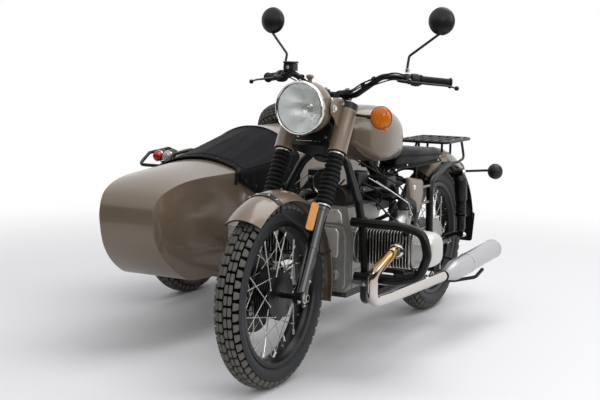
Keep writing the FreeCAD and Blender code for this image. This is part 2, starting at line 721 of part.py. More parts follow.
FENDER_FRONT = 128.0
FENDER_REAR = -14.0


def front_fender():
    """Arched sheet over the front wheel, its band, and feet on both sliders."""
    half = size("fender_half")
    crown = size("fender_crown")
    drop = size("fender_drop")
    guard = mudguard(half, crown, drop, size("fender_wall"), FENDER_REAR, FENDER_FRONT)
    band = mudguard(half + 3.0, crown + 3.0, drop, 4.0, 100.0, 103.5)
    pieces = [guard, band]
    lean = math.pi / 2 - RAKE
    edge = crown - drop + 8.0
    for side in (-1, 1):
        foot = Part.makeBox(FORK_X - size("slider_radius") - half + 14.0, 20.0, 30.0,
                            Vector(half - 6.0, -10.0, edge - 32.0))
        foot.rotate(Vector(), Vector(1, 0, 0), -size("rake"))
        if side < 0:
            foot = mirrored(foot)
        pieces.append(foot)
        for angle, at in ((102.0, 245.0), (20.0, 150.0)):
            turn = math.radians(angle)
            top = (side * (half + 1.5), edge * math.cos(turn), edge * math.sin(turn))
            low = (side * (FORK_X - size("slider_radius") - 4.0), at * math.cos(lean), at * math.sin(lean))
            pieces.append(rod(low, top, 4.5))
    body = joined(pieces)
    for side in (-1, 1):
        room = Part.makeCylinder(size("slider_radius") + GAP, 460.0, Vector(side * FORK_X, 0, -12.0))
        wide = Part.makeCylinder(size("gaiter_radius") + 2.0, 90.0,
                                 Vector(side * FORK_X, 0, size("slider_top") - 2.0))
        room = room.fuse(wide)
        room.rotate(Vector(), Vector(1, 0, 0), -size("rake"))
        body = body.cut(room)
    return max(body.Solids, key=lambda solid: solid.Volume)


finish(feature(front_fender(), "front_guard"), "front_fender", "0", "0", "sizes.tyre_radius")


def front_indicator():
    """Round amber lamp on a stalk from the left headlamp ear, and the slider reflectors."""
    x = 250.0
    y = 357.0
    z = 967.0
    radius = size("indicator_radius")
    lens = Part.makeCylinder(radius, 18.0, Vector(x, y - 14.0, z), Vector(0, 1, 0))
    shell = Part.makeCone(radius, 18.0, 26.0, Vector(x, y + 4.0, z), Vector(0, 1, 0))
    start = FORK_X + 22.0
    stalk = rod((start, y + 8.0, z + 6.0), (x - radius + 10.0, y + 8.0, z), 5.5)
    lamp = joined([lens, shell, stalk])
    room = Part.makeCylinder(size("shroud_radius") + GAP, 400.0, Vector(FORK_X, 0, 500.0))
    lamp = lamp.cut(fork_shape(room))
    reflectors = []
    for side in (-1, 1):
        plate = Part.makeBox(9.0, 30.0, 118.0, Vector(FORK_X + size("slider_radius") + GAP, -15.0, 205.0))
        if side < 0:
            plate = mirrored(plate)
        reflectors.append(fork_shape(plate))
    return Part.makeCompound([lamp] + reflectors)


finish(feature(front_indicator(), "front_lamp"), "front_indicators")


def brake_caliper():
    """Caliper on the right slider, straddling the disc."""
    plane = size("disc_plane")
    inner = size("disc_radius") - 44.0
    jaw = block((-plane - 24.0, 96.0, -34.0), (-plane + 18.0, 160.0, 34.0))
    slot = Part.makeCylinder(size("disc_radius") + 5.0, size("disc_thick") + 8.0,
                             Vector(-plane - size("disc_thick") / 2 - 4.0, 0, 0), Vector(1, 0, 0))
    jaw.rotate(Vector(), Vector(1, 0, 0), 22.0)
    arm = block((-FORK_X - 4.0, 10.0, -12.0), (-plane - 14.0, 140.0, 12.0))
    arm.rotate(Vector(), Vector(1, 0, 0), 22.0)
    body = joined([jaw, arm]).cut(slot)
    bore = Part.makeCylinder(26.0 + GAP, 80.0, Vector(-FORK_X - 40.0, 0, 0), Vector(1, 0, 0))
    leg = Part.makeCylinder(size("slider_radius") + GAP, 400.0, Vector(-FORK_X, 0, -12.0))
    leg.rotate(Vector(), Vector(1, 0, 0), -size("rake"))
    body = body.cut([bore, leg])
    solids = sorted(body.Solids, key=lambda solid: solid.Volume)
    return solids[-1]


finish(feature(brake_caliper(), "caliper"), "brake_caliper", "0", "0", "sizes.tyre_radius")


# ---------------------------------------------------------------- frame

def head_shape(radius, length_cut=0.0):
    """A round bar on the steering axis between the yokes."""
    low = size("gaiter_top") + size("yoke_thick") + 14.0 + 4.0 + length_cut
    high = size("yoke_top") - size("yoke_thick") - 4.0 - length_cut
    return fork_shape(Part.makeCylinder(radius, high - low, Vector(0, size("fork_offset"), low)))


DOWN_Y = size("down_tube_y")
DOWN_TUBE = ((18.0, 428.0, 860.0), (96.0, 400.0, 782.0), (158.0, DOWN_Y, 652.0), (178.0, DOWN_Y, 553.0),
             (195.0, DOWN_Y, 377.0), (160.0, 440.0, 250.0), (150.0, 1060.0, 250.0))
SEAT_STAY = ((150.0, 1060.0, 250.0), (150.0, 1130.0, 420.0), (140.0, 1146.0, 652.0), (120.0, 1420.0, 700.0))
BACKBONE = ((0.0, 440.0, 886.0), (0.0, 690.0, 850.0), (0.0, 880.0, 690.0), (0.0, 1140.0, 640.0))
SWING_PIVOT = (930.0, 345.0)
SHOCK_TOP = (1446.0, 664.0)
SHOCK_PIN = 8.0
STAND_PIVOT = (1000.0, 214.0)


def main_frame():
    """Double-cradle tube frame with its head tube and cross tubes."""
    radius = size("frame_tube")
    pieces = [head_shape(size("head_radius"))]
    pieces.append(tube(BACKBONE, 22.0, 90.0))
    for side in (-1, 1):
        for route, bend in ((DOWN_TUBE, 55.0), (SEAT_STAY, 60.0)):
            pieces.append(tube([(side * x, y, z) for x, y, z in route], radius, bend))
        pieces.append(Part.makeSphere(radius, Vector(side * 150.0, 1060.0, 250.0)))
    for y, z, reach in ((700.0, 250.0, 150.0), (1060.0, 250.0, 150.0), (1146.0, 640.0, 142.0)):
        pieces.append(rod((-reach, y, z), (reach, y, z), radius * 0.8))
    seat_low = size("seat_top") - size("seat_thick") - GAP
    for x, y, z in ((-70.0, 1146.0, 640.0), (70.0, 1146.0, 640.0), (0.0, 950.0, 676.0)):
        pieces.append(rod((x, y, z), (x, y, seat_low), 9.0))
    for side in (-1, 1):
        pieces.append(rod((side * 120.0, 1415.0, 699.0), (side * 70.0, 1415.0, 699.0), 9.0))
        pieces.append(rod((side * 120.0, 1428.0, 696.0), (side * 140.0, SHOCK_TOP[0], SHOCK_TOP[1]), 10.0))
        pieces.append(Part.makeCylinder(SHOCK_PIN, 56.0, Vector(side * 136.0, *SHOCK_TOP),
                                        Vector(side, 0, 0)))
        lug = side_prism(((STAND_PIVOT[0] - 20.0, 246.0), (STAND_PIVOT[0] + 20.0, 246.0),
                          (STAND_PIVOT[0] + 15.0, STAND_PIVOT[1] - 15.0),
                          (STAND_PIVOT[0] - 15.0, STAND_PIVOT[1] - 15.0)),
                         side * 146.0 - 5.0, side * 146.0 + 5.0)
        pieces.append(lug)
    for side in (-1, 1):
        pieces.append(rod((side * 150.0, 930.0, 250.0), (side * 150.0, SWING_PIVOT[0], SWING_PIVOT[1]),
                          14.0))
        pieces.append(Part.makeCylinder(22.0, 30.0, Vector(side * 150.0 - 15.0, SWING_PIVOT[0],
                                                           SWING_PIVOT[1]),
                                        Vector(1, 0, 0)))
    body = joined(pieces)
    bore = head_shape(size("stem_radius") + size("running_gap"), -6.0)
    pivot = Part.makeCylinder(size("stand_tube") + size("running_gap"), 320.0,
                              Vector(-160.0, STAND_PIVOT[0], STAND_PIVOT[1]), Vector(1, 0, 0))
    guard_room = mudguard(size("rear_fender_half") + GAP, size("rear_fender_crown") + GAP,
                          size("rear_fender_drop"),
                          60.0, 8.0, 126.0)
    guard_room.translate(Vector(0, REAR_Y, AXLE_Z))
    return body.cut([bore, pivot, guard_room])


finish(feature(main_frame(), "frame_tubes"), "main_frame")

GUARD_Y = DOWN_Y - size("frame_tube") - size("guard_tube") - GAP
GUARD_OUT = size("guard_reach")
GUARD_LOOP = ((150.0, 572.0), (339.0, 572.0), (GUARD_OUT - 20.0, 556.0), (GUARD_OUT, 470.0),
              (GUARD_OUT - 30.0, 388.0), (337.0, 363.0), (168.0, 366.0))
GUARD_CLAMPS = ((175.0, 572.0), (196.0, 366.0))


def engine_guard():
    """Bent tube loops that stand out in front of both cylinders."""
    loop = tube([(x, GUARD_Y, z) for x, z in GUARD_LOOP], size("guard_tube"), 58.0)
    straps = [Part.makeCylinder(size("frame_tube") + 6.0, 30.0, Vector(x, DOWN_Y, z - 15.0))
              for x, z in GUARD_CLAMPS]
    room = tube(DOWN_TUBE, size("frame_tube") + GAP, 55.0)
    loop = loop.fuse(straps).removeSplitter().cut(room)
    loop = max(loop.Solids, key=lambda solid: solid.Volume)
    return both_sides(loop)


finish(feature(engine_guard(), "guard"), "engine_guard")


def swingarm():
    """Rear fork arms with the rear axle, the final drive and its pivot."""
    pieces = []
    arm_x = 92.0
    y, z = SWING_PIVOT
    for side in (-1, 1):
        pieces.append(tube([(side * arm_x, y, z), (side * arm_x, REAR_Y, AXLE_Z)], 20.0))
        pieces.append(Part.makeCylinder(28.0, 26.0, Vector(side * arm_x - 13.0, REAR_Y, AXLE_Z),
                                        Vector(1, 0, 0)))
        lug_y = REAR_Y - 14.0
        pieces.append(rod((side * arm_x, lug_y, AXLE_Z + 10.0), (side * 142.0, lug_y, AXLE_Z + 30.0), 13.0))
        pieces.append(Part.makeCylinder(SHOCK_PIN, 56.0, Vector(side * 136.0, lug_y, AXLE_Z + 30.0),
                                        Vector(side, 0, 0)))
    pieces.append(Part.makeCylinder(16.0, 2 * (150.0 - 15.0 - GAP), Vector(-150.0 + 15.0 + GAP, y, z),
                                    Vector(1, 0, 0)))
    pieces.append(Part.makeCylinder(size("axle_radius"), 2 * 118.0, Vector(-118.0, REAR_Y, AXLE_Z),
                                    Vector(1, 0, 0)))
    drive = Part.makeCone(58.0, 74.0, 22.0, Vector(-arm_x - 22.0, REAR_Y, AXLE_Z), Vector(1, 0, 0))
    drive = drive.fuse(Part.makeCylinder(74.0, 18.0, Vector(-arm_x, REAR_Y, AXLE_Z), Vector(1, 0, 0)))
    pieces.append(drive)
    return joined(pieces)


finish(feature(swingarm(), "rear_arm"), "swingarm")

def rear_shocks():
    """Spring units beside the rear wheel, each a shroud, a coil and two eyes."""
    pair = []
    y_low = REAR_Y - 14.0
    z_low = AXLE_Z + 30.0
    for side in (-1, 1):
        x = side * 170.0
        low = Vector(x, y_low, z_low)
        high = Vector(x, SHOCK_TOP[0], SHOCK_TOP[1])
        along = (high - low).normalize()
        length = (high - low).Length
        pieces = [rod(tuple(low), tuple(high), 8.0)]
        pieces.append(rod(tuple(low + along * 20.0), tuple(low + along * 90.0), 21.0))
        pieces.append(rod(tuple(high - along * 130.0), tuple(high - along * 16.0), 29.0))
        turns = 7
        start = 88.0
        pitch = (length - 130.0 - start) / turns
        for turn in range(turns + 1):
            centre = low + along * (start + pitch * turn)
            pieces.append(Part.makeTorus(19.0, 5.0, centre, along))
            pieces.append(Part.makeCylinder(15.0, pitch, centre, along))
        for eye in (low, high):
            pieces.append(Part.makeCylinder(15.0, 26.0, eye - Vector(13.0, 0, 0), Vector(1, 0, 0)))
        body = joined(pieces)
        pins = [Part.makeCylinder(SHOCK_PIN + GAP, 220.0, Vector(0, eye.y, eye.z), Vector(side, 0, 0))
                for eye in (low, high)]
        body = max(body.cut(pins).Solids, key=lambda solid: solid.Volume)
        pair.append(body)
    return Part.makeCompound(pair)


finish(feature(rear_shocks(), "shocks"), "rear_shocks")


# ---------------------------------------------------------------- engine

def engine_block():
    """Crankcase, front cover, gearbox and drive shaft as one heavy casting."""
    front = size("case_front")
    back = size("case_back")
    half = size("case_half")
    low = size("case_bottom")
    top = size("case_top")
    waist = size("cylinder_z") + 62.0
    case = front_prism(((-half + 26.0, low), (half - 26.0, low), (half, low + 40.0), (half, waist),
                        (half * 0.86, top), (-half * 0.86, top), (-half, waist), (-half, low + 40.0)),
                        front, back)
    gearbox = side_prism(((back - 20.0, low + 30.0), (back - 20.0, waist), (back + 90.0, waist - 30.0),
                          (back + 210.0, low + 190.0), (back + 210.0, low + 60.0),
                          (back + 90.0, low + 20.0)), -96.0, 96.0)
    shaft = rod((-92.0, back + 180.0, 360.0), (-92.0, back + 235.0, 352.0), 26.0)
    pads = [Part.makeCylinder(70.0, 2 * (half + 12.0),
                              Vector(-half - 12.0, size("cylinder_y"), size("cylinder_z")),
                              Vector(1, 0, 0))]
    sump = plan_prism(((-100.0, front + 20.0), (100.0, front + 20.0), (100.0, back - 20.0),
                       (-100.0, back - 20.0)),
                      low - 24.0, low + 4.0)
    rest = block((-60.0, 688.0, 250.0 + size("frame_tube") * 0.8 + GAP), (60.0, 712.0, low + 40.0))
    lugs = [rod((side * (half - 20.0), front + 24.0, 330.0), (side * 190.0, DOWN_Y + 6.0, 330.0), 9.0)
            for side in (-1, 1)]
    body = joined([case, gearbox, shaft, sump, rest] + pads + lugs)
    tubes = tube(DOWN_TUBE, size("frame_tube") + GAP, 55.0)
    body = body.cut([tubes, mirrored(tubes)])
    return max(body.Solids, key=lambda solid: solid.Volume)


finish(feature(engine_block(), "engine"), "engine_block")


def cylinders():
    """Finned barrels and heads, flat out to both sides."""
    y = size("cylinder_y")
    z = size("cylinder_z")
    start = size("case_half") + 12.0 + GAP
    end = size("cylinder_out")
    half = size("fin_half")
    pieces = [Part.makeCylinder(52.0, end - start, Vector(start, y, z), Vector(1, 0, 0))]
    x = start + 16.0
    while x < end - size("fin_thick"):
        pieces.append(block((x, y - half, z - half), (x + size("fin_thick"), y + half, z + half)))
        x += size("fin_pitch")
    pieces.append(block((end - 8.0, y - half, z - half), (end, y + half, z + half)))
    port = rod((316.0, y - 40.0, z), (316.0, y - half - 8.0, z), size("header_tube") + 8.0)
    pieces.append(port)
    barrel = joined(pieces)
    return both_sides(barrel)


finish(feature(cylinders(), "barrels"), "cylinders")


def rocker_covers():
    """Rounded alloy covers on the cylinder heads."""
    y = size("cylinder_y")
    z = size("cylinder_z")
    low = size("cylinder_out") + GAP
    half = size("fin_half")
    box = block((low, y - half + 2.0, z - half + 2.0), (size("cover_out"), y + half - 2.0, z + half - 2.0))
    upright = [edge for edge in box.Edges if abs(edge.Vertexes[0].X - edge.Vertexes[1].X) > 1.0]
    box = box.makeFillet(34.0, upright)
    rim = [edge for edge in box.Edges if min(vertex.X for vertex in edge.Vertexes) > size("cover_out") - 0.1]
    return both_sides(box.makeFillet(26.0, rim))


finish(feature(rocker_covers(), "covers"), "rocker_covers")


def carburettors():
    """A carburettor and intake stub behind each cylinder, joined to the air box."""
    y = size("cylinder_y") + size("fin_half")
    z = size("cylinder_z") + 62.0
    parts = []
    for side in (-1, 1):
        x = side * 262.0
        stub = tube([(x, y - 50.0, z + 16.0 + GAP + 4.0), (x, y + 30.0, z + 50.0)], 17.0)
        bowl = Part.makeCylinder(27.0, 92.0, Vector(x, y + 34.0, z - 4.0))
        top = Part.makeCylinder(21.0, 26.0, Vector(x, y + 34.0, z + 88.0))
        intake = tube([(x, y + 34.0, z + 50.0), (x, y + 110.0, z + 60.0),
                       (side * 110.0, y + 210.0, z + 92.0),
                       (side * 60.0, y + 230.0, z + 96.0)], 22.0, 60.0)
        parts += [bowl, top, intake, stub]
    box = block((-72.0, y + 196.0, z + 26.0), (72.0, y + 330.0, z + 130.0))
    body = joined(parts + [box])
    room = block((-400.0, size("cylinder_y") - 90.0, size("cylinder_z") - 90.0),
                 (400.0, size("cylinder_y") + size("fin_half") + GAP,
                  size("cylinder_z") + size("fin_half") + GAP))
    return body.cut(room)


finish(feature(carburettors(), "carbs"), "carburettors")


def exhaust():
    """Header pipe, low run and silencer on both sides."""
    y = size("cylinder_y") - size("fin_half") - 8.0 - GAP
    z = size("cylinder_z")
    low = size("pipe_drop")
    radius = size("header_tube")
    end = size("silencer_end")
    pipe = tube([(316.0, y, z), (316.0, y - 48.0, z), (272.0, y - 118.0, low + 110.0),
                 (262.0, y - 100.0, low),
                 (272.0, y + 60.0, low - 6.0), (322.0, 900.0, low + 10.0)], radius, 62.0)
    front_ring = Part.makeTorus(radius + 3.0, 5.0, Vector(316.0, y - 6.0, z), Vector(0, 1, 0))
    heading = Vector(4.0, end - 960.0, 22.0).normalize()
    start = Vector(322.0, 880.0, low + 10.0)
    cone = Part.makeCone(radius + 1.0, size("silencer_radius"), 110.0, start, heading)
    barrel = Part.makeCylinder(size("silencer_radius"), end - 990.0 - 10.0, start + heading * 110.0, heading)
    tail = Part.makeCone(size("silencer_radius"), size("silencer_radius") * 0.72, 26.0,
                         start + heading * (end - 890.0), heading)
    clamp = Part.makeCylinder(radius + 4.0, 26.0, Vector(298.0, 735.0, low + 4.0), Vector(50.0, 552.0, 16.0))
    hanger = rod((150.0 + 16.0 + GAP, 1128.0, low + 44.0), (298.0, 1128.0, low + 26.0), 7.0)
    body = joined([pipe, front_ring, cone, barrel, tail, clamp, hanger])
    return both_sides(body)


finish(feature(exhaust(), "pipes"), "exhaust")


# ---------------------------------------------------------------- tank, saddle, rear

# y, half width, bottom, top
TANK = (
    (512.0, 72.0, 848.0, 938.0),
    (570.0, 134.0, 790.0, 980.0),
    (670.0, 158.0, 772.0, 996.0),
    (820.0, 142.0, 770.0, 970.0),
    (905.0, 104.0, 768.0, 905.0),
    (948.0, 76.0, 772.0, 850.0),
)


def tank_section(y, half, low, high):
    """A rounded section of four arcs and four lines."""
    up = min((high - low) * 0.46, half * 0.86)
    under = min((high - low) * 0.26, half * 0.5)
    bulge = math.sqrt(0.5)
    arcs = []
    for side, edge, radius, inwards in ((1, high, up, -1), (1, low, under, 1), (-1, low, under, 1),
                                        (-1, high, up, -1)):
        centre = Vector(side * (half - radius), y, edge + inwards * radius)
        flank = centre + Vector(side * radius, 0, 0)
        middle = centre + Vector(side * radius * bulge, 0, -inwards * radius * bulge)
        ridge = centre + Vector(0, 0, -inwards * radius)
        arcs.append((flank, middle, ridge) if side == inwards else (ridge, middle, flank))
    edges = []
    for index, (first, middle, last) in enumerate(arcs):
        edges.append(Part.Arc(first, middle, last).toShape())
        edges.append(Part.LineSegment(last, arcs[(index + 1) % len(arcs)][0]).toShape())
    return Part.Wire(edges)


def tank_shell(extra):
    """The tank's outer form, grown by a margin."""
    rows = [(y, half + extra, low - extra, high + extra) for y, half, low, high in TANK]
    first, last = rows[0], rows[-1]
    rows[0] = (first[0] - extra,) + first[1:]
    rows[-1] = (last[0] + extra,) + last[1:]
    return Part.makeLoft([tank_section(*row) for row in rows], True, False)


def fuel_tank():
    """Teardrop tank that straddles the backbone, with its filler cap."""
    shell = tank_shell(0.0)
    tunnel = tube(BACKBONE, 22.0 + GAP, 90.0)
    below = block((-22.0 - GAP, 440.0, 700.0), (22.0 + GAP, 960.0, 850.0))
    cap = Part.makeCylinder(30.0, 16.0, Vector(0, 610.0, size("tank_top") - 8.0))
    body = shell.fuse(cap).cut([tunnel, below])
    return sorted(body.Solids, key=lambda solid: solid.Volume)[-1]


finish(feature(fuel_tank(), "tank"), "fuel_tank")


def saddle():
    """Wide solo saddle, a plain closed pad."""
    front = size("seat_front")
    back = size("seat_back")
    top = size("seat_top")
    low = top - size("seat_thick")
    half = size("seat_half")
    pad = side_prism(((front, low + 20.0), (front + 14.0, top), (front + 150.0, top - 12.0),
                      (back - 130.0, top - 26.0),
                      (back - 20.0, top - 34.0), (back, top - 50.0), (back - 12.0, low),
                      (front + 30.0, low)), -half, half)
    nose = plan_prism(((-half * 0.62, front - 5.0), (half * 0.62, front - 5.0), (half, front + 170.0),
                       (half, back - 60.0),
                       (half * 0.72, back + 5.0), (-half * 0.72, back + 5.0), (-half, back - 60.0),
                       (-half, front + 170.0)),
                      low - 5.0, top + 5.0)
    guard = mudguard(size("rear_fender_half") + 2.0, size("rear_fender_crown") + 2.0,
                     size("rear_fender_drop"),
                     90.0, 8.0, 132.0)
    guard.translate(Vector(0, REAR_Y, AXLE_Z))
    body = pad.common(nose).cut([tank_shell(2.0), guard])
    return max(body.Solids, key=lambda solid: solid.Volume)


finish(feature(saddle(), "pad"), "seat")

RACK_FRONT = 1380.0
RACK_BACK = 1700.0
RACK_HALF = 122.0


def luggage_rack():
    """Tube rack over the rear fender: a closed frame, slats and four legs."""
    radius = size("rack_tube")
    z = size("rack_height")
    front, back, half = RACK_FRONT, RACK_BACK, RACK_HALF
    pieces = []
    ring = [(0.0, front, z), (half, front, z), (half, back, z), (-half, back, z), (-half, front, z),
            (0.0, front, z)]
    pieces.append(tube(ring, radius, 30.0))
    pieces.append(Part.makeSphere(radius, Vector(0.0, front, z)))
    for index in range(5):
        x = (index - 2) * half * 0.36
        pieces.append(rod((x, front, z), (x, back, z), radius * 0.75))
    for y in (front + 110.0, back - 100.0):
        pieces.append(rod((-half, y, z - 2.0), (half, y, z - 2.0), radius * 0.8))
    for side in (-1, 1):
        for y in (front + 110.0, back - 100.0):
            reach = math.hypot(y - REAR_Y, 0)
            drop = math.sqrt(max(size("rear_fender_crown") ** 2 - reach ** 2, 0.0)) + AXLE_Z
            pieces.append(rod((side * 58.0, y, z - 2.0), (side * 58.0, y, drop - 26.0), radius * 0.8))
        for y in (front + 110.0, back - 100.0):
            pieces.append(Part.makeCylinder(12.0, 5.0, Vector(side * 62.0, y + 14.0, z - 5.0)))
    holes = [Part.makeCylinder(size("rack_hole"), 40.0, Vector(side * 62.0, y + 14.0, z - 20.0))
             for side in (-1, 1) for y in (front + 110.0, back - 100.0)]
    body = joined(pieces).cut(holes)
    room = mudguard(size("rear_fender_half") + GAP, size("rear_fender_crown") + GAP,
                    size("rear_fender_drop"), 60.0, 10.0, 140.0)
    room.translate(Vector(0, REAR_Y, AXLE_Z))
    return sorted(body.cut(room).Solids, key=lambda solid: solid.Volume)[-1]


finish(feature(luggage_rack(), "rack"), "luggage_rack")


def rear_fender():
    """Deep arched fender over the rear wheel."""
    return mudguard(size("rear_fender_half"), size("rear_fender_crown"), size("rear_fender_drop"),
                    size("fender_wall"),
                    8.0, 126.0)


finish(feature(rear_fender(), "rear_guard"), "rear_fender", "0", "sizes.wheel_base", "sizes.tyre_radius")

PANEL = ((886.0, 690.0), (1052.0, 664.0), (1058.0, 600.0), (1020.0, 528.0), (985.0, 524.0), (925.0, 580.0))


def side_panels():
    """Painted covers under the saddle."""
    plate = side_prism(PANEL, 132.0, 148.0)
    edges = [edge for edge in plate.Edges if min(vertex.X for vertex in edge.Vertexes) > 147.9]
    plate = plate.makeFillet(7.0, edges)
    tabs = [rod((140.0, 1040.0, z), (146.0, 1140.0, z), 7.0) for z in (560.0, 630.0)]
    stay = tube(SEAT_STAY, size("frame_tube") + GAP, 60.0)
    body = joined([plate] + tabs).cut(stay)
    return both_sides(max(body.Solids, key=lambda solid: solid.Volume))


finish(feature(side_panels(), "panels"), "side_panels")


def rear_lamps():
    """Tail lamp on the rear fender and the rear left turn indicator."""
    crown = size("rear_fender_crown")
    angle = math.radians(40.0)
    y = REAR_Y + crown * math.cos(angle)
    z = AXLE_Z + crown * math.sin(angle)
    tail = Part.makeCylinder(44.0, 62.0, Vector(0, y - 14.0, z + 12.0), Vector(0, 1, 0.12))
    room = mudguard(size("rear_fender_half"), crown + GAP, size("rear_fender_drop"), 80.0, 8.0, 126.0)
    room.translate(Vector(0, REAR_Y, AXLE_Z))
    stalk = rod((30.0, y + 22.0, z + 10.0), (215.0, 1712.0, 650.0), 6.0)
    lens = Part.makeCylinder(37.0, 22.0, Vector(247.0, 1704.0, 647.0), Vector(0, 1, 0))
    shell = Part.makeCone(37.0, 20.0, 22.0, Vector(247.0, 1704.0, 647.0), Vector(0, -1, 0))
    body = joined([tail, stalk, lens, shell]).cut(room)
    return sorted(body.Solids, key=lambda solid: solid.Volume)[-1]


finish(feature(rear_lamps(), "tail"), "rear_lamps")


def footrests():
    """Rubber foot pegs and the foot levers beside them."""
    pair = []
    for side in (-1, 1):
        x = 150.0 + 16.0 + GAP
        peg = Part.makeCylinder(17.0, 104.0, Vector(x + 24.0, 848.0, 330.0), Vector(1, 0, 0))
        carrier = tube([(x, 848.0, 250.0), (x + 20.0, 848.0, 250.0), (x + 20.0, 848.0, 330.0),
                        (x + 34.0, 848.0, 330.0)], 9.0, 12.0)
        lever = tube([(x + 20.0, 848.0, 296.0), (x + 34.0, 700.0, 316.0), (x + 34.0, 660.0, 330.0)], 6.0,
                     20.0)
        toe = Part.makeCylinder(9.0, 44.0, Vector(x + 24.0, 660.0, 332.0), Vector(1, 0, 0))
        one = joined([peg, carrier, lever, toe]).cut(tube(DOWN_TUBE, size("frame_tube") + GAP, 55.0))
        pair.append(one if side > 0 else mirrored(one))
    return Part.makeCompound(pair)


finish(feature(footrests(), "pegs"), "footrests")


# ---------------------------------------------------------------- centre stand

def centre_stand():
    """Folded centre stand: two legs, a cross tube, pads and the foot tang."""
    radius = size("stand_tube")
    y, z = STAND_PIVOT
    pieces = [Part.makeCylinder(radius, 300.0, Vector(-150.0, y, z), Vector(1, 0, 0))]
    for side in (-1, 1):
        pieces.append(rod((side * 128.0, y, z), (side * 150.0, y + 262.0, z - 16.0), radius))
        pieces.append(rod((side * 138.0, y + 262.0, z - 16.0), (side * 176.0, y + 262.0, z - 16.0),
                          radius + 3.0))
    pieces.append(rod((-140.0, y + 130.0, z - 8.0), (140.0, y + 130.0, z - 8.0), radius * 0.8))
    tang = tube([(146.0, y + 200.0, z - 12.0), (230.0, y + 240.0, z - 16.0), (300.0, y + 330.0, z - 8.0),
                 (306.0, y + 405.0, z + 16.0)], 8.0, 50.0)
    pieces.append(tang)
    return joined(pieces)


finish(feature(centre_stand(), "stand"), "centre_stand")


# ---------------------------------------------------------------- sidecar

def tub_half(y):
    """Half width of the tub at a place along it."""
    rows = ((94.0, size("tub_nose_half")), (300.0, size("tub_nose_half") + 20.0),
            (656.0, size("tub_half") - 42.0),
            (1080.0, size("tub_half")), (1700.0, size("tub_half")),
            (size("tub_rear"), size("tub_half") - 26.0))
    for (y_low, low), (y_high, high) in zip(rows, rows[1:]):
        if y <= y_high:
            return low + (high - low) * (y - y_low) / (y_high - y_low)
    return rows[-1][1]


PLAN_STATIONS = (60.0, 300.0, 656.0, 1080.0, 1700.0, 2100.0)


def tub_plan(inset):
    """The tub's plan outline carried up as a solid."""
    right = [(TUB_X + tub_half(y) - inset, y) for y in PLAN_STATIONS]
    left = [(TUB_X - tub_half(y) + inset, y) for y in reversed(PLAN_STATIONS)]
    return plan_prism(right + left, 100.0, 1100.0)


def tub_side(inset):
    """The nose and floor outline carried across the tub, up to the deck."""
    floor = Vector(0, 330, FLOOR_Z)
    nose = Vector(0, 94, RIM_Z - 125)
    deck = Vector(0, 250, RIM_Z + 10)
    top = COWL_Z + 4.0
    cowl = Vector(0, size("cowl_rear"), top)
    rear = size("tub_rear")
    edges = [Part.LineSegment(Vector(0, rear, FLOOR_Z), floor).toShape(),
             Part.Arc(floor, Vector(0, 150, FLOOR_Z + 128), nose).toShape(),
             Part.Arc(nose, Vector(0, 150, RIM_Z - 40), deck).toShape(),
             Part.Arc(deck, Vector(0, 440, RIM_Z + 54), cowl).toShape(),
             Part.LineSegment(cowl, Vector(0, rear, top)).toShape(),
             Part.LineSegment(Vector(0, rear, top), Vector(0, rear, FLOOR_Z)).toShape()]
    wire = Part.Wire(edges)
    if inset:
        wire = wire.makeOffset2D(-inset)
    face = Part.Face(wire)
    face.translate(Vector(TUB_X - 400.0, 0, 0))
    return face.extrude(Vector(800.0, 0, 0))


ARCH_RADIUS = 363.0


def deck_arch(inset, crown):
    """A long arched bar that rounds the deck from side to side."""
    top = crown - inset
    radius = ARCH_RADIUS - inset
    half = 330.0
    drop = radius - math.sqrt(radius * radius - half * half)
    left = Vector(TUB_X - half, 0, top - drop)
    right = Vector(TUB_X + half, 0, top - drop)
    edges = [Part.Arc(left, Vector(TUB_X, 0, top), right).toShape(),
             Part.LineSegment(right, Vector(TUB_X + half, 0, 0)).toShape(),
             Part.LineSegment(Vector(TUB_X + half, 0, 0), Vector(TUB_X - half, 0, 0)).toShape(),
             Part.LineSegment(Vector(TUB_X - half, 0, 0), left).toShape()]
    face = Part.Face(Part.Wire(edges))
    bar = face.extrude(Vector(0, 2300.0, 0))
    bar.rotate(Vector(TUB_X, size("cowl_rear"), top), Vector(1, 0, 0), 4.6)
    return bar


def trunk_outline(inset):
    """The luggage end in side view: front wall, flat top, sloped lid, rear wall."""
    wall = size("seat_back_y") + inset
    top = TRUNK_Z - inset
    rear = size("tub_rear") - inset
    slope = math.tan(math.radians(size("lid_slope")))
    break_y = 1490.0 - inset * 0.27
    low = FLOOR_Z + inset
    rear_top = top - (rear - break_y) * slope
    return ((wall, low), (wall, top), (break_y, top), (rear, rear_top), (rear, low + 90.0),
            (rear - 90.0, low))


def crowned_face(half, low, shoulder, crown, y=0.0):
    """An upright face with straight sides and an arched top."""
    corners = [Vector(TUB_X - half, y, low), Vector(TUB_X - half, y, shoulder), Vector(TUB_X, y, crown),
               Vector(TUB_X + half, y, shoulder), Vector(TUB_X + half, y, low)]
    edges = [Part.LineSegment(corners[0], corners[1]).toShape(),
             Part.Arc(corners[1], corners[2], corners[3]).toShape(),
             Part.LineSegment(corners[3], corners[4]).toShape(),
             Part.LineSegment(corners[4], corners[0]).toShape()]
    return Part.Face(Part.Wire(edges))


def rounded_top(inset):
    """An upright bar with an arched top for the luggage end."""
    half = size("tub_half") - inset
    return crowned_face(half, 0.0, SHOULDER_Z - inset, TRUNK_Z - inset).extrude(Vector(0, 2300.0, 0))


SPRING_TOP = (SIDE_Y + 40.0, AXLE_Z + 300.0)
ARM_REACH = TUB_SIDE_X - ARM_X
LID_HALF = 196.0
LID_LENGTH = 505.0


def lid_frame():
    """The foot of the luggage end's slope and the two directions along and off it."""
    slope = math.radians(size("lid_slope"))
    low = Vector(0, *trunk_outline(0.0)[3])
    up_slope = Vector(0, -math.cos(slope), math.sin(slope))
    normal = Vector(0, math.sin(slope), math.cos(slope))
    return low, up_slope, normal


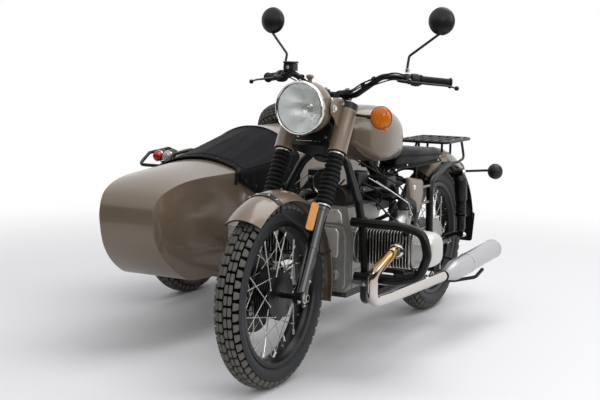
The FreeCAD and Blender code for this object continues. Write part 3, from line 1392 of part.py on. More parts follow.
def sidecar_tub():
    """Hollow body: nose, cockpit, luggage space and the opening for its lid."""
    wall = size("tub_wall")
    plan = tub_plan(0.0)
    inner_plan = tub_plan(wall)
    cockpit_end = size("seat_back_y")
    front = tub_side(0.0).common(plan).common(deck_arch(0.0, COWL_Z))
    front = front.common(block((TUB_X - 400.0, 0, 0), (TUB_X + 400.0, cockpit_end + 5.0, 1000.0)))
    cockpit = block((TUB_X - 400.0, size("cowl_rear"), RIM_Z), (TUB_X + 400.0, cockpit_end, 1000.0))
    front = front.cut(cockpit)
    hollow = tub_side(wall).common(inner_plan).common(deck_arch(wall, COWL_Z))
    hollow = hollow.common(block((TUB_X - 400.0, 0, 0), (TUB_X + 400.0, cockpit_end, 1000.0)))
    front = front.cut(hollow)
    rear = side_prism(trunk_outline(0.0), TUB_X - 400.0, TUB_X + 400.0).common(plan).common(rounded_top(0.0))
    space = side_prism(trunk_outline(wall), TUB_X - 400.0,
                       TUB_X + 400.0).common(inner_plan).common(rounded_top(wall))
    rear = rear.cut(space)
    low, up_slope = lid_frame()[:2]
    mouth = Part.makeBox(2 * (LID_HALF - 24.0), LID_LENGTH - 90.0, 60.0)
    mouth.translate(Vector(-LID_HALF + 24.0, -(LID_LENGTH - 90.0), -30.0))
    mouth.rotate(Vector(), Vector(1, 0, 0), -size("lid_slope"))
    mouth.translate(Vector(TUB_X, low.y, low.z) + up_slope * 50.0)
    pin = Part.makeCylinder(SHOCK_PIN, ARM_REACH + 20.0, Vector(TUB_SIDE_X + 2.0, *SPRING_TOP),
                            Vector(-1, 0, 0))
    foot = Part.makeCylinder(20.0, ARM_REACH - 26.0, Vector(TUB_SIDE_X + 2.0, *SPRING_TOP), Vector(-1, 0, 0))
    return joined([front, rear, pin, foot]).cut(mouth)


finish(feature(sidecar_tub(), "tub"), "sidecar_tub")


def trunk_lid():
    """Sloped lid hinged at its lower edge, with the carrier for the spare wheel."""
    low = lid_frame()[0]
    thick = size("lid_thick")
    plate = Part.makeBox(2 * LID_HALF, LID_LENGTH, thick, Vector(-LID_HALF, -LID_LENGTH, GAP))
    hinge = Part.makeCylinder(7.0, 2 * LID_HALF - 40.0, Vector(-LID_HALF + 20.0, 0, GAP + 7.0),
                              Vector(1, 0, 0))
    along = size("spare_along")
    rise = size("spare_rise")
    post = Part.makeCylinder(9.0, rise + 36.0, Vector(0, -along, GAP + thick - 2.0))
    plinth = Part.makeCone(54.0, 32.0, rise - size("hub_half") - thick - GAP - GAP,
                           Vector(0, -along, GAP + thick))
    body = joined([plate, hinge, post, plinth])
    body.rotate(Vector(), Vector(1, 0, 0), -size("lid_slope"))
    body.translate(Vector(TUB_X, low.y, low.z))
    return body



def spare_place():
    """Centre of the spare wheel, over the lid."""
    low, up_slope, normal = lid_frame()
    return low + up_slope * size("spare_along") + normal * size("spare_rise")


finish(feature(trunk_lid(), "lid"), "trunk_lid")


def spare(piece, name):
    """Lay a wheel piece flat on the lid's carrier."""
    centre = spare_place()
    piece.Placement = Placement(Vector(TUB_X, centre.y, centre.z),
                                Rotation(Vector(1, 0, 0), -size("lid_slope")) * Rotation(Vector(0, 1, 0),
                                                                                         90))
    return finish(grouped([piece], name + "_laid"), name)


spare(turned(TYRE, name="spare_tyre_body"), "spare_tyre")
spare(laced_wheel("spare", False), "spare_rim")


def cover_section(y, shoulder, crown):
    """One strip of the cover: up from each side wall and arched between them."""
    half = tub_half(y) - 2.0
    thick = size("cover_thick")
    rim = RIM_Z + GAP
    outer = [Vector(TUB_X - half, y, rim), Vector(TUB_X - half, y, shoulder), Vector(TUB_X, y, crown),
             Vector(TUB_X + half, y, shoulder), Vector(TUB_X + half, y, rim)]
    inner = [Vector(TUB_X - half + thick, y, rim), Vector(TUB_X - half + thick, y, shoulder),
             Vector(TUB_X, y, crown - thick), Vector(TUB_X + half - thick, y, shoulder),
             Vector(TUB_X + half - thick, y, rim)]
    edges = []
    for rail in (outer, inner):
        edges.append([Part.LineSegment(rail[0], rail[1]).toShape(), Part.Arc(*rail[1:4]).toShape(),
                      Part.LineSegment(rail[3], rail[4]).toShape()])
    feet = [Part.LineSegment(outer[4], inner[4]).toShape(), Part.LineSegment(inner[0], outer[0]).toShape()]
    return Part.Wire(edges[0] + feet[:1] + edges[1][::-1] + feet[1:])


def tonneau_cover():
    """Cloth cover stretched from the cowl up to the luggage wall."""
    sections = [cover_section(size("cowl_rear") + GAP, RIM_Z + 8.0, COWL_Z + 6.0),
                cover_section(size("seat_back_y") - GAP, SHOULDER_Z - 4.0, TRUNK_Z - 4.0)]
    return Part.makeLoft(sections, True, True)


finish(feature(tonneau_cover(), "cover"), "tonneau_cover")



def sidecar_frame():
    """Tube chassis under the tub, its lower arms and struts to the bike."""
    radius = size("side_tube")
    z = FLOOR_Z - radius - GAP
    inner, outer = RAIL_X
    pieces = []
    for x in RAIL_X:
        pieces.append(rod((x, 400.0, z), (x, 1780.0, z), radius))
    for y, x_end, x_start in ((400.0, outer, inner + 40.0), (1120.0, outer, inner), (1700.0, outer, inner)):
        pieces.append(rod((x_end, y, z), (x_start, y, z), radius * 0.9))
    for y in (470.0, 1120.0):
        pieces.append(rod((inner, y, z), (-168.0, y, 230.0), 14.0))
        pieces.append(Part.makeCylinder(23.0, 26.0, Vector(-154.0, y - 13.0, 250.0), Vector(0, 1, 0)))
    pieces.append(tube([(inner + 29.0, 400.0, z), (-400.0, DOWN_Y, 480.0), (-140.0, DOWN_Y, 702.0)], 12.0,
                       80.0))
    pieces.append(rod((inner + 110.0, 1120.0, 243.0), (-142.0, 1143.0, 600.0), 11.0))
    body = joined(pieces)
    down = tube([(-x, y, zz) for x, y, zz in DOWN_TUBE], size("frame_tube") + GAP, 55.0)
    stay = tube([(-x, y, zz) for x, y, zz in SEAT_STAY], size("frame_tube") + GAP, 60.0)
    body = body.cut([down, stay])
    return max(body.Solids, key=lambda solid: solid.Volume)


finish(feature(sidecar_frame(), "chassis"), "sidecar_frame")


def sidecar_arm():
    """Trailing arm, axle and spring unit of the sidecar wheel."""
    z = FLOOR_Z - size("side_tube") - GAP
    x = ARM_X
    y = 900.0
    pieces = [rod((x, y, z), (x, SIDE_Y, AXLE_Z), 17.0)]
    pieces.append(Part.makeCylinder(26.0, 30.0, Vector(x - 15.0, y, z), Vector(1, 0, 0)))
    pieces.append(rod((x, y, z), (RAIL_X[1] - size("side_tube") - GAP, y, z), 15.0))
    pieces.append(Part.makeCylinder(size("axle_radius"), ARM_X - SIDE_X + 60.0,
                                    Vector(SIDE_X - 60.0, SIDE_Y, AXLE_Z),
                                    Vector(1, 0, 0)))
    pieces.append(Part.makeCylinder(27.0, 30.0, Vector(x - 15.0, SIDE_Y, AXLE_Z), Vector(1, 0, 0)))
    top = (x,) + SPRING_TOP
    pieces.append(rod((x, SIDE_Y - 30.0, AXLE_Z), top, 9.0))
    pieces.append(Part.makeCylinder(16.0, 30.0, Vector(x - 15.0, *SPRING_TOP), Vector(1, 0, 0)))
    pieces.append(rod((x, SIDE_Y - 14.0, AXLE_Z + 60.0), (x, SIDE_Y + 32.0, AXLE_Z + 250.0), 24.0))
    eye = Part.makeCylinder(SHOCK_PIN + GAP, 60.0, Vector(x - 30.0, *SPRING_TOP), Vector(1, 0, 0))
    return joined(pieces).cut(eye)


finish(feature(sidecar_arm(), "arm"), "sidecar_arm")


def sidecar_fender():
    """Arched fender over the sidecar wheel with a stay to the chassis."""
    guard = mudguard(size("side_fender_half"), size("fender_crown") - 4.0, size("fender_drop") + 14.0,
                     size("fender_wall"),
                     20.0, 152.0)
    guard.translate(Vector(SIDE_X, SIDE_Y, AXLE_Z))
    edge = size("fender_crown") - 4.0 - size("fender_drop") - 14.0
    inner = SIDE_X + size("side_fender_half")
    wall = TUB_SIDE_X - GAP
    stays = []
    for back in (-200.0, 150.0):
        rise = math.sqrt(edge * edge - back * back)
        y = SIDE_Y + back
        z = AXLE_Z + rise + 6.0
        stays.append(rod((inner - 6.0, y, z), (wall - 3.0, y, z - 20.0), 9.0))
        stays.append(block((wall - 4.0, y - 26.0, z - 46.0), (wall, y + 26.0, z + 6.0)))
    body = joined([guard] + stays)
    wheel_room = Part.makeCylinder(edge - 6.0, 400.0, Vector(SIDE_X - 200.0, SIDE_Y, AXLE_Z),
                                   Vector(1, 0, 0))
    return max(body.cut(wheel_room.common(block((SIDE_X - 200.0, 0, 0), (inner, 3000.0, 1000.0)))).Solids,
               key=lambda solid: solid.Volume)


finish(feature(sidecar_fender(), "side_guard"), "sidecar_fender")


def sidecar_lamps():
    """Front marker lamp on the sidecar fender, red and amber."""
    crown = size("fender_crown") - 4.0
    angle = math.radians(126.0)
    y = SIDE_Y + crown * math.cos(angle)
    z = AXLE_Z + crown * math.sin(angle)
    pod = Part.makeCylinder(27.0, 84.0, Vector(SIDE_X, y - 34.0, z + 30.0), Vector(0, 1, 0.3))
    room = mudguard(size("side_fender_half"), crown + GAP, size("fender_drop") + 14.0, 90.0, 20.0, 152.0)
    room.translate(Vector(SIDE_X, SIDE_Y, AXLE_Z))
    foot = Part.makeCylinder(16.0, 60.0, Vector(SIDE_X, y + 6.0, z - 20.0))
    body = joined([pod, foot]).cut(room)
    return sorted(body.Solids, key=lambda solid: solid.Volume)[-1]


finish(feature(sidecar_lamps(), "marker"), "sidecar_lamps")


def fender_guard():
    """Black hoop that stands round the marker lamp on the sidecar fender."""
    half = size("side_fender_half") - 14.0
    low = (SIDE_Y - 250.0, AXLE_Z + 300.0)
    left = [(SIDE_X - half, SIDE_Y + 64.0, AXLE_Z + 328.0), (SIDE_X - half, SIDE_Y - 80.0, AXLE_Z + 402.0),
            (SIDE_X - half, SIDE_Y - 240.0, AXLE_Z + 378.0), (SIDE_X - half, SIDE_Y - 322.0, AXLE_Z + 316.0)]
    right = [(2 * SIDE_X - x, y, z) for x, y, z in reversed(left)]
    hoop = tube(left + right, 8.0, 30.0)
    crown = size("fender_crown") - 4.0
    room = mudguard(size("side_fender_half"), crown + GAP, size("fender_drop") + 14.0, 90.0, 20.0, 152.0)
    room.translate(Vector(SIDE_X, SIDE_Y, AXLE_Z))
    body = hoop.cut(room)
    return sorted(body.Solids, key=lambda solid: solid.Volume)[-1]


finish(feature(fender_guard(), "hoop"), "fender_guard")

# ---------------------------------------------------------------- check and write

doc.recompute()
for thing in doc.Objects:
    if "Invalid" in thing.State or "Error" in thing.State:
        raise RuntimeError("%s did not build: %s" % (thing.Label, thing.State))
os.makedirs("parts", exist_ok=True)
for name, thing in nodes.items():
    shape = thing.Shape
    if shape.isNull() or not shape.isValid() or not shape.Solids:
        raise RuntimeError("%s has no valid solid" % name)
for name, thing in nodes.items():
    thing.Shape.exportStep("parts/%s.step" % name)
    print("%-16s solids %d volume %.0f" % (name, len(thing.Shape.Solids), thing.Shape.Volume))
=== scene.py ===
"""Looks of a flat-twin motorcycle with a boat-shaped sidecar.

Sizes are in millimetres in the bike's own frame: x to the rider's left, y to the
rear from the front axle, z up from the ground.  place() turns them to the metres
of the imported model.
"""
import logging
import math
from dataclasses import dataclass, field, replace
from enum import Enum
from typing import Iterable, Optional, Sequence

import bmesh
import bpy
from mathutils import Matrix, Vector, geometry


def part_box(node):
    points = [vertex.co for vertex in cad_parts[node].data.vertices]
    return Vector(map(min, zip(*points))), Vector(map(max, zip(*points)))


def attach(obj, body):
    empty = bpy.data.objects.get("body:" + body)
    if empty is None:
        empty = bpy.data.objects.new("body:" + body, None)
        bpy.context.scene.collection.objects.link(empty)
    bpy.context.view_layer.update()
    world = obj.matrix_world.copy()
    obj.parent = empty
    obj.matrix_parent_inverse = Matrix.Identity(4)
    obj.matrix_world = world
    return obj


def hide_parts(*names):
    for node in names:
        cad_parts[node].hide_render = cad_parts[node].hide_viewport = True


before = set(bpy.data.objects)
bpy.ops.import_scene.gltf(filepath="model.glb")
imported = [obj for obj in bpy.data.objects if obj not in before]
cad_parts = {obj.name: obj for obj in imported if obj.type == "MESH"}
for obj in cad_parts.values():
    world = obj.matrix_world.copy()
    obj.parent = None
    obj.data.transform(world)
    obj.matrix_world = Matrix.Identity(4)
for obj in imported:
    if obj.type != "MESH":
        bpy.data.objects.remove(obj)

LOG = logging.getLogger("outfit")
Point = Sequence[float]
Ring = list[Vector]
Tree = bpy.types.NodeTree
Node = bpy.types.Node
Socket = bpy.types.NodeSocket
Lamp = tuple[str, Point, Point, float, float]

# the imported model's front wheel sets where the bike's frame starts
_LOW, _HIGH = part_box("front_tyre")
MIDDLE = Vector(((_LOW.x + _HIGH.x) / 2, (_LOW.y + _HIGH.y) / 2, 0))
AXLE_Z = (_LOW.z + _HIGH.z) * 500

# the fork, the wheels and the tub in the bike's frame
RAKE = math.radians(29)
FORK_X = 113.0
TUB_X = -720.0
REAR_Y = 1490.0
SIDE_Y = 1215.0
SIDE_X = -1165.0

# the luggage end, its sloped lid and the spare wheel on it
TUB_TOP = 850.0
BREAK_Y = 1490.0
END_Y = 2060.0
LID_SLOPE = math.radians(30)
LID_UP = Vector((0, -math.cos(LID_SLOPE), math.sin(LID_SLOPE)))
LID_OFF = Vector((0, math.sin(LID_SLOPE), math.cos(LID_SLOPE)))
LID_HINGE = Vector((TUB_X, END_Y, TUB_TOP - (END_Y - BREAK_Y) * math.tan(LID_SLOPE)))
SPARE_ALONG = 358.0
SPARE_RISE = 63.0

# the cockpit between the cowl and the luggage end
RIM_Z = 680.0
COWL_Y = 645.0
WALL_Y = 1075.0
WALL_HALF = 246.0
SHOULDER_Z = 735.0

# directions, x to the left and y to the rear
ORIGIN = (0, 0, 0)
ACROSS = (1, 0, 0)
BACK = (0, 1, 0)
AHEAD = (0, -1, 0)
UP = (0, 0, 1)
DOWN = (0, 0, -1)


def place(point: Point) -> Vector:
    """Millimetres of the bike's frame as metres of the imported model."""
    return Vector(point) * 0.001 + MIDDLE


def polar(radius: float, turn: float, centre: Sequence[float] = (0, 0)) -> tuple[float, float]:
    """The two coordinates of a place on a circle, by its angle in radians."""
    return centre[0] + radius * math.cos(turn), centre[1] + radius * math.sin(turn)


def squircle(count: int, power: float = 1.0) -> list[tuple[float, float]]:
    """A round of places about the origin.

    Args:
        count: how many.
        power: 1 for a circle; the smaller, the squarer.

    Returns:
        The two coordinates of each, as shares of the radius.
    """
    circle = [polar(1, 2 * math.pi * i / count) for i in range(count)]
    return [(math.copysign(abs(c) ** power, c), math.copysign(abs(s) ** power, s))
            for c, s in circle]


def rectangle(low: Point, high: Point) -> Ring:
    """An upright or level rectangle.

    Args:
        low: one corner.
        high: the opposite corner, with one coordinate the same.

    Returns:
        Its four corners in turn.
    """
    first, second = [k for k in range(3) if low[k] != high[k]]
    corners = [Vector(low), Vector(low), Vector(high), Vector(low)]
    corners[1][first], corners[3][second] = high[first], high[second]
    return corners


def fork_point(x: float, back: float, up: float) -> Vector:
    """A place given along the fork.

    Args:
        x: distance from the bike's plane.
        back: distance behind the fork legs, square to them.
        up: distance up the legs from the axle.

    Returns:
        The place in the bike's frame.
    """
    return Vector((x, back * math.cos(RAKE) + up * math.sin(RAKE),
                   AXLE_Z - back * math.sin(RAKE) + up * math.cos(RAKE)))


def on_lid(x: float, along: float, rise: float) -> Vector:
    """A place on the luggage lid by its place across, up the slope and off it."""
    return LID_HINGE + Vector((x, 0, 0)) + LID_UP * along + LID_OFF * rise


FORK_UP = Vector((0, math.sin(RAKE), math.cos(RAKE)))
FORK_AHEAD = Vector((0, -math.cos(RAKE), math.sin(RAKE)))


# ------------------------------------------------------------------ finishes

def linear(code: str) -> tuple[float, float, float, float]:
    """An sRGB hex colour as the linear colour that a shader takes."""
    parts = [int(code[i:i + 2], 16) / 255 for i in (1, 3, 5)]
    red, green, blue = (c / 12.92 if c <= 0.04045 else ((c + 0.055) / 1.055) ** 2.4 for c in parts)
    return (red, green, blue, 1)


def add_node(tree: Tree, kind: str, settings: Optional[dict] = None,
             links: Optional[dict] = None) -> Node:
    """Adds one node with its settings and links.

    Args:
        tree: the node tree that gets it.
        kind: the node's type name.
        settings: values by socket name, socket number or property name.
        links: outputs of other nodes by this node's socket name or number.

    Returns:
        The new node.
    """
    node = tree.nodes.new(kind)
    for key, value in (settings or {}).items():
        if isinstance(key, int) or key in node.inputs:
            node.inputs[key].default_value = value
        else:
            setattr(node, key, value)
    for key, output in (links or {}).items():
        tree.links.new(output, node.inputs[key])
    return node


@dataclass(frozen=True)
class Finish:
    """A surface finish, made into a material once and kept.

    grain_mm is the real size of the surface grain, which lightens and darkens the colour,
    and relief the height of its bump in mm.
    """

    name: str
    colour: str
    dark: str
    metallic: float = 0.0
    roughness: float = 0.5
    spread: float = 0.08
    grain_mm: float = 3.0
    relief: float = 0.02
    coat: float = 0.0
    coat_roughness: float = 0.1
    specular: float = 0.5
    sheen: float = 0.0
    patch_mm: float = 180.0

    def material(self) -> bpy.types.Material:
        """The finish as a material, made on first use."""
        made = bpy.data.materials.get(self.name)
        if made is None:
            made = bpy.data.materials.new(self.name)
            made.use_nodes = True
            self.shade(made.node_tree)
        return made

    def shade(self, tree: Tree) -> None:
        """Fills the material's tree: colour clouds, fine grain, roughness and bump.

        Args:
            tree: the material's node tree.
        """
        shader = tree.nodes["Principled BSDF"]
        for key, value in (("Metallic", self.metallic), ("Coat Weight", self.coat),
                           ("Coat Roughness", self.coat_roughness),
                           ("Specular IOR Level", self.specular), ("Sheen Weight", self.sheen)):
            shader.inputs[key].default_value = value
        where = add_node(tree, "ShaderNodeTexCoord").outputs["Object"]
        cloud = add_node(tree, "ShaderNodeTexNoise", {"Scale": 1000 / self.patch_mm, "Detail": 4},
                         {"Vector": where})
        grain = add_node(tree, "ShaderNodeTexNoise", {"Scale": 1000 / self.grain_mm, "Detail": 3},
                         {"Vector": where})
        self.paint(tree, shader, where, cloud.outputs["Fac"], grain.outputs["Fac"])

    def paint(self, tree: Tree, shader: Node, where: Socket, cloud: Socket, grain: Socket) -> None:
        """Links colour, roughness and bump; a special finish changes this step.

        Args:
            tree: the material's node tree.
            shader: its main shader.
            where: object coordinates in metres; not used by the plain finish.
            cloud: slow noise over the whole piece.
            grain: fine noise of the surface.
        """
        mix = add_node(tree, "ShaderNodeMath", {"operation": "MULTIPLY_ADD", 1: 0.5},
                       {0: grain, 2: self.half(tree, cloud)})
        self.tint(tree, shader, (self.dark, self.colour), mix.outputs[0])
        self.rough_and_bump(tree, shader, grain, cloud)

    def tint(self, tree: Tree, shader: Node, colours: tuple[str, str], share: Socket) -> None:
        """Links the base colour as a blend.

        Args:
            tree: the material's node tree.
            shader: its main shader.
            colours: the two colours, as hex codes.
            share: the second colour's share, 0 to 1.
        """
        first, second = (linear(code) for code in colours)
        colour = add_node(tree, "ShaderNodeMix", {"data_type": "RGBA", 6: first, 7: second},
                          {0: share})
        tree.links.new(colour.outputs[2], shader.inputs["Base Color"])

    def half(self, tree: Tree, value: Socket) -> Socket:
        """Half of a noise, so that two of them add up to one."""
        return add_node(tree, "ShaderNodeMath", {"operation": "MULTIPLY", 1: 0.5},
                        {0: value}).outputs[0]

    def rough_and_bump(self, tree: Tree, shader: Node, height: Socket, wear: Socket) -> None:
        """Roughness that wanders with wear, and a bump of the given height.

        Args:
            tree: the material's node tree.
            shader: its main shader.
            height: the bump's height, 0 to 1.
            wear: what shifts the roughness, 0 to 1.
        """
        span = {"To Min": max(self.roughness - self.spread, 0.02),
                "To Max": self.roughness + self.spread}
        rough = add_node(tree, "ShaderNodeMapRange", span, {"Value": wear})
        bump = add_node(tree, "ShaderNodeBump", {"Distance": self.relief * 0.001, "Strength": 1},
                        {"Height": height})
        tree.links.new(rough.outputs[0], shader.inputs["Roughness"])
        tree.links.new(bump.outputs[0], shader.inputs["Normal"])


@dataclass(frozen=True)
class TintedMetal(Finish):
    """A plated pipe whose heat colour fades with height: hot end above, cool end below."""

    hot: str = "#b98a55"
    cool_z: float = 0.33
    hot_z: float = 0.45

    def paint(self, tree: Tree, shader: Node, where: Socket, cloud: Socket, grain: Socket) -> None:
        """Blends from the plating's own colour to the heat colour going up."""
        parts = add_node(tree, "ShaderNodeSeparateXYZ", {}, {0: where})
        heat = add_node(tree, "ShaderNodeMapRange",
                        {"From Min": self.cool_z, "From Max": self.hot_z},
                        {"Value": parts.outputs["Z"]})
        self.tint(tree, shader, (self.colour, self.hot), heat.outputs[0])
        self.rough_and_bump(tree, shader, grain, cloud)


@dataclass(frozen=True)
class RubberTread(Finish):
    """Moulded tread rubber: dusty faces that turn lighter toward the blocks' most pointed edges; the
    near black down in the grooves is painted shade.
    """

    def paint(self, tree: Tree, shader: Node, where: Socket, cloud: Socket, grain: Socket) -> None:
        """Lighter toward the most pointed edges, found from the mesh's own pointiness."""
        point = add_node(tree, "ShaderNodeNewGeometry").outputs["Pointiness"]
        edge = add_node(tree, "ShaderNodeMapRange", {"From Min": 0.46, "From Max": 0.56},
                        {"Value": point})
        # tone from pointiness: lighter on the most pointed edges, darker on flatter parts
        edge_tone = add_node(tree, "ShaderNodeMath", {"operation": "MULTIPLY_ADD", 1: 0.6},
                        {0: grain, 2: self.half(tree, edge.outputs[0])})
        self.tint(tree, shader, (self.dark, self.colour), edge_tone.outputs[0])
        self.rough_and_bump(tree, shader, grain, cloud)


@dataclass(frozen=True)
class WovenCloth(Finish):
    """Coated canvas: a plain weave of crossing threads under a thin coat."""

    thread_mm: float = 3.2

    def paint(self, tree: Tree, shader: Node, where: Socket, cloud: Socket, grain: Socket) -> None:
        """Two sets of bands, across and along, give the threads' relief."""
        bands = [add_node(tree, "ShaderNodeTexWave", {"Scale": 500 / self.thread_mm,
                                                      "bands_direction": way, "Distortion": 0.6},
                          {"Vector": where}) for way in "XY"]
        weave = add_node(tree, "ShaderNodeMath", {"operation": "MAXIMUM"},
                         {0: bands[0].outputs["Fac"], 1: bands[1].outputs["Fac"]})
        tone = add_node(tree, "ShaderNodeMath", {"operation": "MULTIPLY_ADD", 1: 0.35},
                        {0: weave.outputs[0], 2: self.half(tree, cloud)})
        self.tint(tree, shader, (self.dark, self.colour), tone.outputs[0])
        self.rough_and_bump(tree, shader, weave.outputs[0], cloud)


@dataclass(frozen=True)
class LensPlastic(Finish):
    """Clear or dyed moulded lens that passes light through small prisms."""

    transmission: float = 0.85
    prism_mm: float = 7.0
    ior: float = 1.49

    def paint(self, tree: Tree, shader: Node, where: Socket, cloud: Socket, grain: Socket) -> None:
        """Cells of a Voronoi pattern stand for the moulded prisms."""
        shader.inputs["Transmission Weight"].default_value = self.transmission
        shader.inputs["IOR"].default_value = self.ior
        cells = add_node(tree, "ShaderNodeTexVoronoi", {"Scale": 1000 / self.prism_mm,
                                                        "Randomness": 0.25}, {"Vector": where})
        self.tint(tree, shader, (self.colour, self.dark),
                  self.half(tree, cells.outputs["Distance"]))
        self.rough_and_bump(tree, shader, cells.outputs["Distance"], cloud)
        if self.transmission > 0.95:
            self.pass_light(tree, shader)

    def pass_light(self, tree: Tree, shader: Node) -> None:
        """Lets lamp light through clear glass, so that what is behind it is lit."""
        path = add_node(tree, "ShaderNodeLightPath")
        clear = add_node(tree, "ShaderNodeBsdfTransparent")
        mixed = add_node(tree, "ShaderNodeMixShader", {},
                         {0: path.outputs["Is Shadow Ray"], 1: shader.outputs[0],
                          2: clear.outputs[0]})
        end = next(node for node in tree.nodes if node.bl_idname == "ShaderNodeOutputMaterial")
        tree.links.new(mixed.outputs[0], end.inputs["Surface"])


class Coat(Enum):
    """Every finish of the outfit, by what it covers."""

    # two-coat metallic enamel, sprayed and baked: warm grey-brown, soft sheen, slight orange peel
    BODY = Finish("metallic_enamel_sprayed", "#736352", "#685949", 0.14, 0.42, 0.05, 5, 0.012, 0.75,
                  0.14, specular=0.36)
    # powder-coated steel tube: near black, a broad highlight with a fine pebble
    TUBE = Finish("powder_coated_steel", "#08090a", "#040405", 0, 0.34, 0.08, 2.6, 0.05, 0.1, 0.2,
                  specular=0.28)
    # stove enamel on the fork sliders: deep gloss black that shows one bright streak
    SLIDER = Finish("stove_enamel_gloss", "#060708", "#030304", 0, 0.2, 0.05, 6, 0.01, 0.8, 0.05)
    # sand-cast aluminium: grey metal, matt, with a grain that breaks the highlight
    CAST = Finish("sand_cast_aluminium", "#b5b5b0", "#8f8f8b", 0.75, 0.46, 0.08, 2.2, 0.12)
    # die-cast and bead-blasted aluminium of the covers: lighter and smoother than the sand casting
    BLASTED = Finish("bead_blasted_aluminium", "#d9d8d4", "#c2c1bd", 0.6, 0.4, 0.06, 1.6, 0.05)
    # black-enamelled barrel alloy: dull, a little dusty between the fins
    BARREL = Finish("blackened_cast_alloy", "#35322e", "#1d1b1a", 0.4, 0.6, 0.1, 3, 0.1)
    # fin edges cut bright after painting
    CUT = Finish("machined_aluminium_edges", "#d6d4cf", "#b9b7b2", 0.95, 0.28, 0.06, 1.2, 0.03)
    # nickel and chrome plate, polished: mirrors the white room
    CHROME = Finish("polished_chrome_plate", "#dfdedb", "#d0cfcc", 1, 0.08, 0.04, 8, 0.004)
    # header pipe: chrome turned straw and bronze by heat near the port
    HEADER = TintedMetal("heat_tinted_chrome_pipe", "#cfcac5", "#bdb6ae", 1, 0.13, 0.05, 7, 0.006,
                         hot="#a88a62")
    # silencer drum: satin stainless sheet, rolled
    SATIN = Finish("satin_stainless_sheet", "#c3c2c6", "#b5b4b8", 0.7, 0.3, 0.06, 2, 0.01)
    # drawn stainless wire of the spokes
    SPOKE = Finish("drawn_stainless_wire", "#d8d7d2", "#bdbcb6", 1, 0.22, 0.05, 2, 0.01)
    # ground steel brake disc with a blackened carrier
    DISC = Finish("ground_steel_disc", "#48484a", "#37373a", 0.9, 0.4, 0.08, 1.2, 0.02)
    # zinc-plated bolts and washers
    BOLT = Finish("zinc_plated_steel", "#c9c8c2", "#a3a29c", 0.9, 0.3, 0.08, 2, 0.02)
    # tread blocks: dusty grey-brown faces, lighter on their most pointed edges and darker where less
    # pointed
    TREAD = RubberTread("moulded_tread_rubber", "#64625d", "#302f2c", 0, 0.8, 0.1, 2.4, 0.12,
                        specular=0.25)
    # groove floor between the blocks: the tyre's own rubber, painted near black as the shade down
    # between them
    GROOVE_SHADE = Finish("tread_groove_painted_shade", "#070707", "#030303", 0, 0.9, 0.08, 3, 0.1,
                    specular=0.05)
    # tyre wall: smooth moulded rubber with a faint bloom
    WALL = Finish("tyre_sidewall_rubber", "#222529", "#181a1d", 0, 0.5, 0.1, 4, 0.04, specular=0.3)
    # gaiters, grips and foot rubbers
    RUBBER = Finish("moulded_soft_rubber", "#0b0c0d", "#060607", 0, 0.5, 0.1, 2, 0.06,
                    specular=0.22)
    # injection-moulded ABS of the switch pods and reservoir, spark-eroded texture
    ABS = Finish("moulded_abs_housing", "#121315", "#0b0c0d", 0, 0.42, 0.08, 1.4, 0.04,
                 specular=0.35)
    # vinyl saddle cover with leather grain
    VINYL = Finish("embossed_saddle_vinyl", "#0f1014", "#08090b", 0, 0.5, 0.1, 3.5, 0.18, 0, 0.3,
                   specular=0.3)
    # coated canvas cover over the cockpit
    CANVAS = WovenCloth("coated_canvas_cover", "#0b0c11", "#050609", 0, 0.62, 0.08, 3, 0.25,
                        specular=0.08, sheen=0.008)
    # stitched binding tape along the cover's edge
    BINDING = Finish("woven_binding_tape", "#0b0c0e", "#060607", 0, 0.7, 0.08, 1.6, 0.15,
                     specular=0.2)
    # pressed headlamp glass: clear, with flutes
    GLASS = LensPlastic("pressed_lamp_glass", "#fbfdfc", "#eef2f1", 0, 0.03, 0.02, 40, 0.02,
                        transmission=1, prism_mm=24, ior=1.5)
    # vapour-coated reflector bowl behind the glass
    BOWL = Finish("vapour_coated_reflector", "#ffffff", "#f4f6f5", 0.5, 0.28, 0.06, 14, 0.2)
    # amber lens of the turn indicators
    AMBER = LensPlastic("dyed_amber_acrylic", "#ff9020", "#ff5e0c", 0, 0.12, 0.04, 8, 0.5,
                        transmission=0.45)
    # yellow-amber reflector plate on the slider
    REFLEX = LensPlastic("amber_reflex_plate", "#ee9a04", "#b46c02", 0, 0.12, 0.04, 8, 0.6,
                         transmission=0.25, prism_mm=8)
    # red tail and marker lens
    RED = LensPlastic("dyed_red_acrylic", "#d81f12", "#9c0d08", 0, 0.12, 0.04, 8, 0.5,
                      transmission=0.4)
    # clear marker lens
    CLEAR = LensPlastic("clear_marker_acrylic", "#eceae4", "#cfccc6", 0, 0.1, 0.04, 8, 0.4,
                        transmission=0.6)
    # silvered mirror glass
    MIRROR = Finish("silvered_mirror_glass", "#e8ebec", "#dfe3e4", 1, 0.03, 0.01, 60, 0)
    # the backs of the mirror heads and the lamp bodies: moulded nylon, dark grey
    NYLON = Finish("moulded_nylon_shell", "#17181b", "#0f1012", 0, 0.4, 0.08, 2, 0.03, 0.15, 0.25,
                   specular=0.35)

    def get(self) -> bpy.types.Material:
        """The material of this coat."""
        return self.value.material()


# ------------------------------------------------------------------ building

